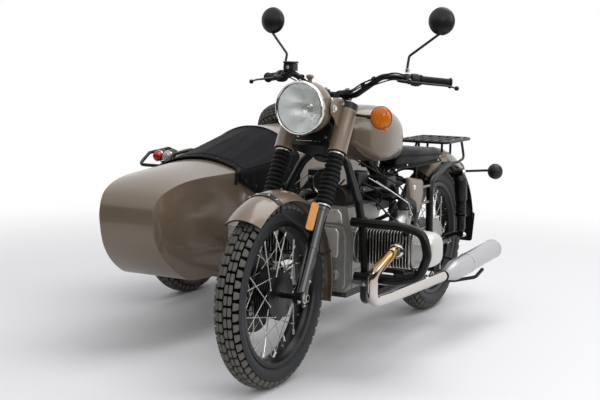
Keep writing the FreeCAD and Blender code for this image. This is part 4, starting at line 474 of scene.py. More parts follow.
@dataclass
class Sculpt:
    """Gathers the faces of one piece in millimetres and makes them one object.

    coat is the finish of the faces added next, and looks gives each face's finish
    as a place in coats.
    """

    name: str
    coat: Coat
    points: Ring = field(default_factory=list)
    faces: list[tuple[int, ...]] = field(default_factory=list)
    looks: list[int] = field(default_factory=list)
    coats: list[Coat] = field(default_factory=list)

    def look(self) -> int:
        """The material number of the coat in use."""
        if self.coat not in self.coats:
            self.coats.append(self.coat)
        return self.coats.index(self.coat)

    def use(self, coat: Coat) -> "Sculpt":
        """Sets the finish of the faces added next."""
        self.coat = coat
        return self

    def face(self, numbers: Iterable[int]) -> None:
        """Adds one face by point numbers."""
        self.faces.append(tuple(numbers))
        self.looks.append(self.look())

    def skin(self, rings: Sequence[Ring], closed: bool = True, caps: bool = True,
             looped: bool = False) -> "Sculpt":
        """Joins rings of equal count with faces.

        Args:
            rings: the rings in order.
            closed: whether each ring closes on itself.
            caps: whether the first and last ring get a face.
            looped: whether the last ring joins the first.

        Returns:
            This piece.
        """
        start = len(self.points)
        count = len(rings[0])
        for ring in rings:
            self.points.extend(ring)
        spans = len(rings) if looped else len(rings) - 1
        for row in range(spans):
            here = start + row * count
            there = start + (row + 1) % len(rings) * count
            for i in range(count if closed else count - 1):
                j = (i + 1) % count
                self.face((here + i, here + j, there + j, there + i))
        if caps and closed and not looped:
            self.face(reversed(range(start, start + count)))
            self.face(range(start + spans * count, start + (spans + 1) * count))
        return self

    def tube(self, path: Sequence[Point], radius: float | Sequence[float], bend: float = 0.0,
             sides: int = 16, flat: float = 1.0) -> "Sculpt":
        """Adds a round bar along a path of rigid runs.

        Args:
            path: its corners.
            radius: one radius, or one for each corner of a path with no bend.
            bend: the radius that its corners are bent to.
            sides: how many faces go round it.
            flat: the share of its width that its height has.

        Returns:
            This piece.
        """
        line = bent(path, bend) if bend else [Vector(p) for p in path]
        sizes = [radius] * len(line) if isinstance(radius, (int, float)) else list(radius)
        return self.skin(rings_along(line, sizes, sides, flat))

    def lathe(self, profile: Sequence[tuple[float, float]], centre: Point, axis: Point,
              sides: int = 48, looped: bool = False) -> "Sculpt":
        """Turns a profile about an axis.

        Args:
            profile: places as distance along the axis and radius.
            centre: where the axis starts.
            axis: its direction.
            sides: how many faces go round.
            looped: whether the profile closes on itself.

        Returns:
            This piece.
        """
        along = Vector(axis).normalized()
        side, up = frame_of(along)
        rings = []
        for step in range(sides):
            turn = math.radians(360 * step / sides)
            out = side * math.cos(turn) + up * math.sin(turn)
            rings.append([Vector(centre) + along * a + out * r for a, r in profile])
        return self.skin(rings, closed=looped, caps=False, looped=True)

    def collar(self, span: tuple[float, float], radii: tuple[float, float], centre: Point,
               axis: Point, sides: int) -> "Sculpt":
        """Adds a plain ring.

        Args:
            span: where it starts and ends along the axis.
            radii: its inner and outer radius.
            centre: where the axis starts.
            axis: its direction.
            sides: how many faces go round.

        Returns:
            This piece.
        """
        (low, high), (inner, outer) = span, radii
        profile = [(low, inner), (low, outer), (high, outer), (high, inner)]
        return self.lathe(profile, centre, axis, sides, looped=True)

    def plug(self, span: tuple[float, float], radius: float, centre: Point, axis: Point,
             sides: int) -> "Sculpt":
        """Adds a plain round bar by where it starts and ends along the axis."""
        low, high = span
        return self.lathe([(low, 0), (low, radius), (high, radius), (high, 0)], centre, axis, sides)

    def slab(self, outline: Sequence[Point], offset: Point,
             rim: Optional[float] = None) -> "Sculpt":
        """Carries a flat outline along an offset.

        Args:
            outline: its corners.
            offset: the direction and thickness.
            rim: the inset of a chamfer round the far face.

        Returns:
            This piece.
        """
        first = [Vector(p) for p in outline]
        step = Vector(offset)
        far = [p + step for p in first]
        if rim is None:
            return self.skin([first, far])
        middle = sum(first, Vector()) / len(first)
        depth = step.normalized() * rim
        small = [p + (middle + step - p).normalized() * rim for p in far]
        return self.skin([first, [p - depth for p in far], small])

    def ball(self, centre: Point, radius: float, squash: Point = (1, 1, 1),
             sides: int = 20) -> "Sculpt":
        """Adds a ball, or an egg where it is squashed along the axes."""
        rings = []
        for row in range(1, sides // 2):
            height, out = polar(radius, math.pi * row / (sides // 2))
            rings.append([Vector(centre) + Vector((out * squash[0] * c, out * squash[1] * s,
                                                   height * squash[2]))
                          for c, s in squircle(sides)])
        return self.skin(rings)

    def bolt(self, centre: Point, axis: Point, radius: float = 6.0, head: float = 5.0) -> "Sculpt":
        """Adds a hexagon bolt head on a washer."""
        along = Vector(axis).normalized()
        foot, seat, edge, top = (Vector(centre) + along * rise
                                 for rise in (0, 1.5, head + 0.5, head + 1.5))
        self.skin(rings_along([foot, seat], [radius * 1.35] * 2, 16))
        return self.skin(rings_along([seat, edge, top], [radius, radius, radius * 0.86], 6))

    def mirror(self) -> "Sculpt":
        """Repeats the faces on the other side of the bike's plane."""
        start = len(self.points)
        self.points.extend([Vector((-p.x, p.y, p.z)) for p in self.points])
        for numbers, look in list(zip(self.faces, self.looks)):
            self.faces.append(tuple(start + n for n in reversed(numbers)))
            self.looks.append(look)
        return self

    def build(self, body: str, slot: str, replaces: Sequence[str] = (), bevel: float = 0.0,
              smooth: float = 34.0, subdivide: int = 0, thick: float = 0.0) -> bpy.types.Object:
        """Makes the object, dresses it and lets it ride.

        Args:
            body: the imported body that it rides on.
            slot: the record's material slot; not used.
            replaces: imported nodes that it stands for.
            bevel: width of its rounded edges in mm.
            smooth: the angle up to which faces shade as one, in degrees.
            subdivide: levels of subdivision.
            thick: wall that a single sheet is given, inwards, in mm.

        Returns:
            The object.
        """
        mesh = bpy.data.meshes.new(self.name)
        mesh.from_pydata([place(p) for p in self.points], [], self.faces)
        for coat in self.coats:
            mesh.materials.append(coat.get())
        mesh.polygons.foreach_set("material_index", self.looks)
        work = bmesh.new()
        work.from_mesh(mesh)
        bmesh.ops.remove_doubles(work, verts=work.verts, dist=0.00002)
        bmesh.ops.recalc_face_normals(work, faces=work.faces)
        work.to_mesh(mesh)
        work.free()
        mesh.polygons.foreach_set("use_smooth", [True] * len(mesh.polygons))
        mesh.set_sharp_from_angle(angle=math.radians(smooth))
        made = bpy.data.objects.new(self.name, mesh)
        bpy.context.scene.collection.objects.link(made)
        if thick:
            wall = made.modifiers.new("wall", "SOLIDIFY")
            wall.thickness, wall.offset = thick * 0.001, -1
        if bevel:
            edge = made.modifiers.new("edge", "BEVEL")
            edge.width, edge.segments, edge.angle_limit = bevel * 0.001, 2, math.radians(smooth)
            edge.harden_normals = True
        if subdivide:
            fine = made.modifiers.new("fine", "SUBSURF")
            fine.levels = fine.render_levels = subdivide
        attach(made, body)
        if replaces:
            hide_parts(*replaces)
        LOG.info("%s: %d faces on %s", self.name, len(mesh.polygons), body)
        return made


def frame_of(along: Vector) -> tuple[Vector, Vector]:
    """Two directions square to a direction and to each other."""
    helper = Vector(UP) if abs(along.z) < 0.9 else Vector(BACK)
    side = along.cross(helper).normalized()
    return side, side.cross(along).normalized()


def rings_along(line: Sequence[Point], sizes: Sequence[float], sides: int,
                flat: float = 1.0) -> list[Ring]:
    """Rings square to a line, carried along it without twist.

    Args:
        line: the places on the line.
        sizes: a radius for each place.
        sides: points in each ring.
        flat: the share of the width that the height has.

    Returns:
        One ring for each place.
    """
    line = [Vector(p) for p in line]
    rings = []
    side: Optional[Vector] = None
    for i, (here, size) in enumerate(zip(line, sizes)):
        along = (line[min(i + 1, len(line) - 1)] - line[max(i - 1, 0)]).normalized()
        if side is None:
            side, up = frame_of(along)
        else:
            side = (side - along * side.dot(along)).normalized()
            up = side.cross(along).normalized()
        rings.append([here + side * (size * c) + up * (size * flat * s)
                      for c, s in squircle(sides)])
    return rings


def corner_bend(first: Vector, corner: Vector, last: Vector, steps: int) -> Ring:
    """The places along a bend that leaves its first leg and meets its last leg without a kink."""
    shares = [step / steps for step in range(steps + 1)]
    return [first.lerp(corner, t).lerp(corner.lerp(last, t), t) for t in shares]


def bent(path: Sequence[Point], bend: float, steps: int = 7) -> Ring:
    """A path whose corners are bent to a radius, as a tube bender leaves them.

    Args:
        path: its corners.
        bend: the radius of the bends.
        steps: places along each bend.

    Returns:
        The places along the bent path.
    """
    points = [Vector(p) for p in path]
    line = [points[0]]
    for before, corner, after in zip(points, points[1:], points[2:]):
        back, ahead = (before - corner), (after - corner)
        half = back.angle(ahead) / 2
        reach = min(bend / math.tan(half), 0.49 * min(back.length, ahead.length))
        line += corner_bend(corner + back.normalized() * reach, corner,
                            corner + ahead.normalized() * reach, steps)
    line.append(points[-1])
    return line


def batten(a: Vector, b: Vector, c: Vector, d: Vector, steps: int) -> Ring:
    """The places from b up to c on a smooth line through four pins."""
    shares = [step / steps for step in range(steps)]
    return [0.5 * (2 * b + (c - a) * t + (2 * a - 5 * b + 4 * c - d) * t * t
                   + (3 * b - a - 3 * c + d) * t ** 3) for t in shares]


def spline(keys: Sequence[Point], steps: int = 8) -> Ring:
    """A smooth line through places, as a batten bends through pins.

    Args:
        keys: the places it goes through.
        steps: places between each pair.

    Returns:
        The places along the line.
    """
    pins = [Vector(k) for k in keys]
    pins = [pins[0] * 2 - pins[1]] + pins + [pins[-1] * 2 - pins[-2]]
    line = []
    for a, b, c, d in zip(pins, pins[1:], pins[2:], pins[3:]):
        line += batten(a, b, c, d, steps)
    line.append(pins[-2])
    return line


def blend_rows(rows: Sequence[Sequence[float]], place_at: float) -> list[float]:
    """Values between the rows of a table, eased, by its first column.

    Args:
        rows: the table, its first column rising.
        place_at: the place in the first column.

    Returns:
        The other columns' values there.
    """
    if place_at <= rows[0][0]:
        return list(rows[0][1:])
    for low, high in zip(rows, rows[1:]):
        if place_at <= high[0]:
            t = (place_at - low[0]) / (high[0] - low[0])
            return [a + (b - a) * t for a, b in zip(low[1:], high[1:])]
    return list(rows[-1][1:])


# ------------------------------------------------------------------ wheels

@dataclass
class Wheel:
    """A laced wheel with its block tyre.

    move carries the upright wheel at the origin to its place, laid flat and leaned first where flat
    is set; drum tells whether the hub is a brake drum, and disc whether a brake disc sits on its
    right side.
    """

    name: str
    body: str
    centre: tuple[float, float, float]
    drum: bool = True
    disc: bool = False
    lean: float = 0.0
    flat: bool = False
    radius: float = 340.0
    rim_seat: float = 252.0
    rim_half: float = 40.0
    groove: float = 8.5
    blocks: int = 54
    spokes: int = 36
    hub_half: float = 38.0

    def move(self, point: Vector) -> Vector:
        """A place on the upright wheel at the origin, carried to the real wheel."""
        if self.flat:
            point = Matrix.Rotation(math.radians(90), 3, "Y") @ point
            point = Matrix.Rotation(math.radians(-self.lean), 3, "X") @ point
        return point + Vector(self.centre)

    def finish(self, piece: Sculpt, replaces: Sequence[str] = (), slot: str = "rim_black",
               **how: float) -> None:
        """Carries a piece to the wheel's place and builds it."""
        piece.points = [self.move(p) for p in piece.points]
        piece.build(self.body, slot, replaces, **how)

    def crown(self, reach: float) -> tuple[float, float]:
        """The tread's outer line.

        Args:
            reach: distance along the line from its middle, to either side.

        Returns:
            The place across the wheel and the radius there.
        """
        rows = ((0, 0, 0), (16, 16, 0.4), (27, 26.6, 3.2), (37, 35.6, 8), (47, 43.4, 15.2),
                (56, 48.2, 24), (64, 49.8, 32))
        across, fall = blend_rows(rows, abs(reach))
        return math.copysign(across, reach), self.radius - fall

    def on_tread(self, reach: float, turn: float, depth: float) -> Vector:
        """A place on the tread by reach, angle and depth below its outer line."""
        across, radius = self.crown(reach)
        lean = min(abs(reach) / 60, 1) * math.copysign(0.9, reach)
        across -= depth * math.sin(lean)
        radius -= depth * math.cos(lean)
        return Vector((across, *polar(radius, turn)))

    def block(self, piece: Sculpt, corners: Sequence[tuple[float, float]], pitch: float,
              turn: float) -> None:
        """Adds one tread block.

        Args:
            piece: what it is added to.
            corners: its outline as reach and share of the pitch.
            pitch: the angle from one block to the next.
            turn: the angle of its middle.
        """
        middle = [sum(c[k] for c in corners) / len(corners) for k in (0, 1)]
        rings = []
        for grow, depth in ((1, self.groove), (0.97, 1.4), (0.86, 0)):
            rings.append([self.on_tread(middle[0] + (u - middle[0]) * (1 + (grow - 1) * 1.1),
                                        turn + (middle[1] + (v - middle[1]) * grow) * pitch, depth)
                          for u, v in corners])
        piece.skin(rings)

    def tread(self) -> None:
        """Six columns of blocks round the tyre, the middle ones pointed so that they lock."""
        piece = Sculpt(self.name + "_tread_blocks", Coat.TREAD)
        pitch = 2 * math.pi / self.blocks
        inner = ((4.6, -0.39), (14, -0.39), (15.6, -0.22), (15.6, 0.22), (14, 0.39), (4.6, 0.39),
                 (2.4, 0.16), (2.4, -0.16))
        middle = ((19.6, -0.39), (31, -0.39), (32.6, -0.22), (32.6, 0.22), (31, 0.39), (19.6, 0.39),
                  (18.6, 0.16), (18.6, -0.16))
        shoulder = ((37.2, -0.36), (48, -0.35), (59, -0.26), (59, 0.26), (48, 0.35), (37.2, 0.36))
        for step in range(self.blocks):
            for side, shift in ((1, 0), (-1, 0.5)):
                for outline, extra in ((inner, 0), (middle, 0), (shoulder, 0.5)):
                    corners = [(side * u, side * v) for u, v in outline]
                    self.block(piece, corners, pitch, (step + shift + extra) * pitch)
        self.finish(piece, slot="tyre_rubber", smooth=20)

    def carcass(self) -> None:
        """The tyre's walls, bead, mould lines and groove floor."""
        piece = Sculpt(self.name + "_tyre_wall", Coat.WALL)
        wall = ((36, 253), (36, 264.5), (39.5, 267.5), (41.2, 271), (42.6, 272.2), (43.6, 271.8),
                (45.6, 276), (47.8, 284), (49.2, 291), (49.7, 295), (48.6, 296.4), (49, 300),
                (48.4, 305), (46.8, 309))
        for side in (1, -1):
            piece.lathe([(side * x, r) for x, r in wall], ORIGIN, ACROSS, 96)
        # painted shade: the groove floor is near black for the shade between the blocks
        piece.use(Coat.GROOVE_SHADE)
        reaches = (-61, *range(-50, 51, 10), 61)
        floor = [self.on_tread(reach, 0, self.groove) for reach in reaches]
        floor = [(-46.8, 309)] + [(p.x, p.y) for p in floor] + [(46.8, 309)]
        piece.lathe(floor, ORIGIN, ACROSS, 96)
        self.finish(piece, (self.name + "_tyre",), "tyre_rubber", smooth=30)

    def rim(self) -> None:
        """The rolled steel rim with its valve."""
        piece = Sculpt(self.name + "_wheel_rim", Coat.TUBE)
        half, seat = self.rim_half, self.rim_seat
        edge = ((half - 4, seat + 10), (half - 3.4, seat + 11.6), (half - 1.6, seat + 12),
                (half - 0.2, seat + 10.8), (half, seat + 8), (half - 0.6, seat),
                (half - 1.6, seat - 6), (half - 8, seat - 9), (half * 0.62, seat - 12),
                (half * 0.45, seat - 19), (half * 0.36, seat - 20))
        profile = list(edge) + [(-x, r) for x, r in reversed(edge)]
        piece.lathe(profile, ORIGIN, ACROSS, 96)
        piece.lathe([(-half + 4, seat + 10), (-half + 4.2, seat - 1), (-16, seat - 15),
                     (16, seat - 15), (half - 4.2, seat - 1), (half - 4, seat + 10)], (0, 0, 0),
                    ACROSS, 96)
        piece.use(Coat.BOLT).tube(((0, 0, -seat + 20), (0, 0, -seat + 54)), 3, sides=8)
        self.finish(piece, (self.name + "_rim",), smooth=40)

    def lacing(self) -> None:
        """Crossed spokes with a nipple at the rim and a bent head at the hub."""
        piece = Sculpt(self.name + "_wheel_spokes", Coat.SPOKE)
        flange = (92 if self.drum else 48) - 7
        outer = self.rim_seat - 19
        step = 2 * math.pi / self.spokes
        for index in range(self.spokes):
            side = 1 if index % 2 else -1
            face = 1 if (index // 2) % 2 else -1
            rim_turn, hub_turn = index * step, index * step + face * math.radians(48)
            hub = Vector((side * (self.hub_half - 3 + face * 4), *polar(flange, hub_turn)))
            rim = Vector((side * (self.rim_half * 0.17 + face * 2.8), *polar(outer, rim_turn)))
            along = (rim - hub).normalized()
            piece.tube((hub, rim), 1.9, sides=8)
            piece.tube((rim - along * 22, rim - along * 19, rim - along * 4, rim),
                       (2.4, 3.6, 3.6, 5), sides=8)
            piece.ball(hub, 3.4, sides=8)
        self.finish(piece, smooth=40)

    def hub(self) -> None:
        """The hub barrel, its spoke flanges, axle nut and, for a drum, its cooling ribs."""
        piece = Sculpt(self.name + "_wheel_hub", Coat.TUBE if self.disc or not self.drum
                       else Coat.CAST)
        half = self.hub_half
        if self.drum:
            profile = [(-half, 12), (-half, 62), (-half + 2, 66), (-half, 88), (-half + 1.5, 92),
                       (-half + 5, 92)]
            profile += [(x, r) for low in range(-30, 30, 10)
                        for x, r in ((low, 82), (low + 1, 88), (low + 5, 88), (low + 6, 82))]
            profile += [(half - 5, 92), (half - 1.5, 92), (half, 88), (half - 2, 66), (half, 62),
                        (half, 12)]
            piece.lathe(profile, ORIGIN, ACROSS, 64, looped=True)
        else:
            profile = [(-half, 12), (-half, 44), (-half + 1.5, 48), (-half + 5, 48),
                       (-half + 8, 36), (-half + 14, 30), (half - 14, 30), (half - 8, 36),
                       (half - 5, 48), (half - 1.5, 48), (half, 44), (half, 12)]
            piece.lathe(profile, ORIGIN, ACROSS, 48, looped=True)
        piece.use(Coat.TUBE if self.disc else Coat.BOLT)
        for side in (1, -1):
            piece.lathe(((side * half, 30), (side * (half + 1), 30), (side * (half + 1.5), 24),
                         (side * (half + 1.5), 11)), ORIGIN, ACROSS, 32)
        self.finish(piece, bevel=0.6)

    def brake(self) -> None:
        """The drilled disc with its carrier, on the wheel's right side."""
        piece = Sculpt(self.name + "_brake_disc", Coat.DISC)
        plane, thick = -66, 5
        holes = [(polar(r, t), 3.6) for r, count in ((110, 18), (124, 18), (137, 18))
                 for t in (math.radians(360 / count * (i + r / 30)) for i in range(count))]
        holes += [(polar(74, t), 20) for t in (math.radians(60 * i) for i in range(6))]
        pierced(piece, 148, 22, holes, plane - thick / 2, thick)
        piece.use(Coat.TUBE).lathe(((plane + 2.5, 22), (plane + 2.5, 46), (plane + 6, 46),
                                    (plane + 9, 42), (-39.6, 42), (-39.6, 22)), (0, 0, 0), ACROSS,
                                   40, looped=True)
        piece.use(Coat.BOLT)
        for i in range(6):
            turn = math.radians(60 * i + 30)
            piece.bolt((plane - thick / 2, *polar(38, turn)), (-1, 0, 0), 5, 4)
        self.finish(piece, smooth=30)

    def make(self) -> None:
        """Builds every piece of the wheel."""
        self.carcass()
        self.tread()
        self.rim()
        self.lacing()
        self.hub()
        if self.disc:
            self.brake()


def pierced(piece: Sculpt, outer: float, inner: float,
            holes: Sequence[tuple[tuple[float, float], float]], low: float, thick: float) -> None:
    """Adds a round plate with round holes, square to the x axis.

    Args:
        piece: what it is added to.
        outer: its radius.
        inner: the radius of its bore.
        holes: their centres and radii.
        low: where its first face lies.
        thick: its thickness.
    """
    loops = [((0, 0), outer, 72), ((0, 0), inner, 32)]
    loops += [(c, r, 10 if r < 8 else 24) for c, r in holes]
    flat: list[Vector] = []
    edges: list[tuple[int, int]] = []
    outlines: list[list[int]] = []
    for (u, v), radius, count in loops:
        start = len(flat)
        flat += [Vector(polar(radius, 2 * math.pi * k / count, (u, v))) for k in range(count)]
        outlines.append(list(range(start, start + count)))
        edges += [(start + k, start + (k + 1) % count) for k in range(count)]
    verts, _, faces, *_ = geometry.delaunay_2d_cdt(flat, edges, [], 2, 1e-5)
    kept = [f for f in faces if inside_plate([verts[i] for i in f], outer, inner, holes)]
    start = len(piece.points)
    for x in (low, low + thick):
        piece.points.extend(Vector((x, p.x, p.y)) for p in verts)
    count = len(verts)
    for f in kept:
        piece.face(start + i for i in f)
        piece.face(start + count + i for i in reversed(f))
    for outline in outlines:
        for a, b in zip(outline, outline[1:] + outline[:1]):
            piece.face((start + a, start + b, start + count + b, start + count + a))


def inside_plate(corners: Sequence[Vector], outer: float, inner: float,
                 holes: Sequence[tuple[tuple[float, float], float]]) -> bool:
    """Whether the middle of a face lies on a pierced plate."""
    middle = sum(corners, Vector((0, 0))) / len(corners)
    if not inner < middle.length < outer:
        return False
    return all((middle - Vector(centre)).length > radius * 0.95 for centre, radius in holes)


# ------------------------------------------------------------------ camera and room

@dataclass
class Studio:
    """The pale room, its lamps and the camera.

    The camera's place is in mm of the bike's frame and its angles are in degrees; the
    room is in metres. fade is where the floor starts and ends turning white, and each
    lamp has its name, place, aim, width and watts.
    """

    lens: float = 69.3
    eye: tuple[float, float, float] = (2000.7, -3552.7, 1232.3)
    azimuth: float = 28.05
    down: float = 7.68
    roll: float = 0.92
    room_light: float = 0.6
    floor: str = "#e9e9ec"
    wall_reach: float = 6.5
    paper_reach: float = 2.5
    wall_top: float = 2.6
    wall_turn: tuple[float, float] = (-160, -20)
    paper_z: float = 0.004
    floor_half: float = 14.0
    floor_drop: float = 0.0005
    fade: tuple[float, float] = (1.6, 4.2)
    lamps: tuple[Lamp, ...] = (("overhead_softbox", (1, 0.9, 4.2), (0, 0, 0.4), 3.2, 104),
                               ("left_softbox", (3.6, -2.2, 2.6), (0.3, -0.3, 0.6), 2.6, 46),
                               ("front_lamp", (0.4, -5.2, 2.4), (0.1, -0.6, 0.6), 0.5, 9))

    def camera(self) -> None:
        """Stands the camera at the front left of the outfit."""
        data = bpy.data.cameras.new("camera")
        data.lens, data.sensor_width = self.lens, 36
        data.clip_end = 60.0
        held = bpy.data.objects.new("camera", data)
        turn, drop, tip = (math.radians(a) for a in (self.azimuth, self.down, self.roll))
        ahead = Vector((-math.sin(turn) * math.cos(drop), math.cos(turn) * math.cos(drop),
                        -math.sin(drop)))
        right = ahead.cross(Vector(UP)).normalized()
        up = right.cross(ahead)
        right, up = (right * math.cos(tip) + up * math.sin(tip),
                     up * math.cos(tip) - right * math.sin(tip))
        turned = Matrix((right, up, -ahead)).transposed().to_4x4()
        held.matrix_world = Matrix.Translation(place(self.eye)) @ turned
        bpy.context.scene.collection.objects.link(held)
        bpy.context.scene.camera = held

    def lamp(self, name: str, at: Point, aim: Point, size: float, power: float) -> None:
        """Hangs one soft lamp.

        Args:
            name: its name.
            at: where it hangs, in metres.
            aim: what it points at, in metres.
            size: the side of its square face in metres.
            power: its power in watts.
        """
        data = bpy.data.lights.new(name, "AREA")
        data.size, data.energy = size, power
        held = bpy.data.objects.new(name, data)
        held.location = at
        held.rotation_euler = (Vector(aim) - Vector(at)).to_track_quat("-Z", "Y").to_euler()
        bpy.context.scene.collection.objects.link(held)

    def white_for_sight(self, tree: Tree) -> Socket:
        """One where a ray comes from the eye, a gloss or a glass, else zero."""
        path = add_node(tree, "ShaderNodeLightPath")
        total = path.outputs["Is Camera Ray"]
        for kind in ("Is Glossy Ray", "Is Transmission Ray"):
            total = add_node(tree, "ShaderNodeMath", {"operation": "MAXIMUM"},
                             {0: total, 1: path.outputs[kind]}).outputs[0]
        return total

    def room(self) -> None:
        """A white room: white to sight and to gloss, softer as a light."""
        world = bpy.data.worlds.new("room")
        world.use_nodes = True
        tree = world.node_tree
        back = tree.nodes["Background"]
        back.inputs["Color"].default_value = linear("#ffffff")
        strength = add_node(tree, "ShaderNodeMapRange", {"To Min": self.room_light, "To Max": 1},
                            {"Value": self.white_for_sight(tree)})
        tree.links.new(strength.outputs[0], back.inputs["Strength"])
        bpy.context.scene.world = world

    def ground(self) -> None:
        """A pale floor that keeps the shadow and fades to the white room."""
        mesh = bpy.data.meshes.new("studio_floor")
        half = self.floor_half
        mesh.from_pydata(rectangle((-half, -half, 0), (half, half, 0)), [], [(0, 1, 2, 3)])
        held = bpy.data.objects.new("studio_floor", mesh)
        held.location.z = -self.floor_drop
        bpy.context.scene.collection.objects.link(held)
        made = bpy.data.materials.new("matt_floor_paint")
        made.use_nodes = True
        tree = made.node_tree
        shader = tree.nodes["Principled BSDF"]
        shader.inputs["Base Color"].default_value = linear(self.floor)
        shader.inputs["Roughness"].default_value = 0.85
        where = add_node(tree, "ShaderNodeTexCoord").outputs["Object"]
        reach = add_node(tree, "ShaderNodeVectorMath", {"operation": "LENGTH"}, {0: where})
        fade = add_node(tree, "ShaderNodeMapRange",
                        {"From Min": self.fade[0], "From Max": self.fade[1], "To Max": 1,
                         "interpolation_type": "SMOOTHSTEP"}, {"Value": reach.outputs["Value"]})
        seen = add_node(tree, "ShaderNodeMath", {"operation": "MULTIPLY"},
                        {0: fade.outputs[0], 1: self.white_for_sight(tree)})
        glow = add_node(tree, "ShaderNodeEmission", {"Color": linear("#ffffff"), "Strength": 1})
        ends = {0: seen.outputs[0], 1: shader.outputs[0], 2: glow.outputs[0]}
        both = add_node(tree, "ShaderNodeMixShader", {}, ends)
        tree.links.new(both.outputs[0], tree.nodes["Material Output"].inputs["Surface"])
        mesh.materials.append(made)

    def far_wall(self) -> None:
        """The dim front half of the studio, which only gloss and metal pick up."""
        piece = bmesh.new()
        steps = 24
        start, end = self.wall_turn
        section = ((self.paper_reach, self.paper_z), (self.wall_reach, self.paper_z),
                   (self.wall_reach, self.wall_top))
        rows = []
        for step in range(steps + 1):
            turn = math.radians(start + (end - start) * step / steps)
            rows.append([piece.verts.new((*polar(reach, turn), z)) for reach, z in section])
        for row, following in zip(rows, rows[1:]):
            for i in range(2):
                piece.faces.new((row[i], following[i], following[i + 1], row[i + 1]))
        mesh = bpy.data.meshes.new("studio_far_wall")
        piece.to_mesh(mesh)
        piece.free()
        held = bpy.data.objects.new("studio_far_wall", mesh)
        bpy.context.scene.collection.objects.link(held)
        held.visible_camera = held.visible_diffuse = held.visible_shadow = False
        mesh.materials.append(Finish("dim_studio_wall", "#3a3733", "#2e2b28", 0, 0.9,
                                     grain_mm=60).material())

    def make(self) -> None:
        """Builds the room, the lamps and the camera."""
        bpy.context.scene.view_settings.view_transform = "Standard"
        self.room()
        self.ground()
        self.far_wall()
        for lamp in self.lamps:
            self.lamp(*lamp)
        self.camera()


# ------------------------------------------------------------------ shared shapes

def closed_spline(keys: Sequence[Point], steps: int = 6) -> Ring:
    """A smooth closed line through places.

    Args:
        keys: the places it goes through.
        steps: places between each pair.

    Returns:
        The places along the line.
    """
    pins = [Vector(k) for k in keys]
    count = len(pins)
    line = []
    for i in range(count):
        a, b, c, d = (pins[(i + step) % count] for step in (-1, 0, 1, 2))
        line += batten(a, b, c, d, steps)
    return line


def rounded_box(piece: Sculpt, low: Point, high: Point, radius: float) -> None:
    """Adds a box whose upright edges are rounded and whose flat faces are eased.

    Args:
        piece: the piece that gets it.
        low: its lowest corner.
        high: its highest corner.
        radius: the radius of its upright edges.
    """
    steps = 4
    x0, y0, z0 = low
    x1, y1, z1 = high
    radius = min(radius, (x1 - x0) / 2.01, (y1 - y0) / 2.01)
    ease = min(radius * 0.3, (z1 - z0) * 0.2)
    rings = []
    for height, inset in ((z0, ease), (z0 + ease, 0), (z1 - ease, 0), (z1, ease)):
        ring = []
        for cx, cy, start in ((x1 - radius, y1 - radius, 0), (x0 + radius, y1 - radius, 90),
                              (x0 + radius, y0 + radius, 180), (x1 - radius, y0 + radius, 270)):
            for step in range(steps + 1):
                angle = math.radians(start + 90 * step / steps)
                reach = radius - inset
                ring.append(Vector((*polar(reach, angle, (cx, cy)), height)))
        rings.append(ring)
    piece.skin(rings)


def rounded(outline: Sequence[Point], radius: float) -> Ring:
    """A closed outline with each corner rounded.

    Args:
        outline: its corners.
        radius: how far back from a corner the rounding starts.

    Returns:
        The places along the outline.
    """
    pins = [Vector(p) for p in outline]
    line = []
    for i, corner in enumerate(pins):
        before, after = pins[i - 1], pins[(i + 1) % len(pins)]
        first, last = (corner + way.normalized() * min(radius, way.length * 0.48)
                       for way in (before - corner, after - corner))
        line += corner_bend(first, corner, last, 5)
    return line


@dataclass
class Mudguard:
    """A rolled-steel mudguard: an arched sheet with beaded edges.

    Angles run from straight back of the wheel, over the top, to the front.
    """

    name: str
    centre: tuple[float, float, float]
    half: float
    crown: float
    drop: float
    start: float
    end: float
    wall: float = 2.4
    across: int = 18
    pitch: float = 4.0

    def radius_at(self, x: float) -> float:
        """The sheet's radius from the axle at a place across it."""
        arc = (self.half ** 2 + self.drop ** 2) / (2 * self.drop)
        return self.crown - arc + math.sqrt(max(arc * arc - x * x, 0))

    def at(self, x: float, turn: float, rise: float = 0.0) -> Vector:
        """A place on the sheet by its place across, its angle in degrees and its rise."""
        radius = self.radius_at(x) + rise
        angle = math.radians(turn)
        return Vector(self.centre) + Vector((x, *polar(radius, angle)))

    def strip(self, piece: Sculpt, start: float, end: float, rise: float, wall: float,
              reach: float) -> None:
        """Adds a curved strip that follows the sheet from side to side.

        Args:
            piece: the piece that gets it.
            start: the angle it starts at.
            end: the angle it ends at.
            rise: its outer face over the sheet.
            wall: its thickness.
            reach: the place across where it ends on both sides.
        """
        steps = max(1, round(abs(end - start) / self.pitch))
        rings = []
        for step in range(steps + 1):
            turn = start + (end - start) * step / steps
            line = [reach * (2 * i / self.across - 1) for i in range(self.across + 1)]
            inner = [self.at(x, turn, rise - wall) for x in line[::-1]]
            rings.append([self.at(x, turn, rise) for x in line] + inner)
        piece.skin(rings)

    def sheet(self, piece: Sculpt) -> None:
        """The sheet with a rolled bead along each side and a rubber bead on its front lip."""
        self.strip(piece, self.start, self.end, 0, self.wall, self.half)
        turns = [self.start + (self.end - self.start) * i / 40 for i in range(41)]
        for side in (-1, 1):
            piece.tube([self.at(side * (self.half - 1), turn, -1.6) for turn in turns], 2.6,
                       sides=8)
        piece.use(Coat.RUBBER)
        lip = [self.at(self.half * (i / 9 - 1), self.end, -1.2) for i in range(19)]
        piece.tube(lip, 3, sides=8)

    def crease(self, piece: Sculpt) -> None:
        """A raised rib along the middle of the crown, pressed in for stiffness."""
        turns = [self.start + 2 + (self.end - self.start - 4) * i / 40 for i in range(41)]
        piece.tube([self.at(0, turn, -1.4) for turn in turns], 3, sides=8)


# ------------------------------------------------------------------ front end

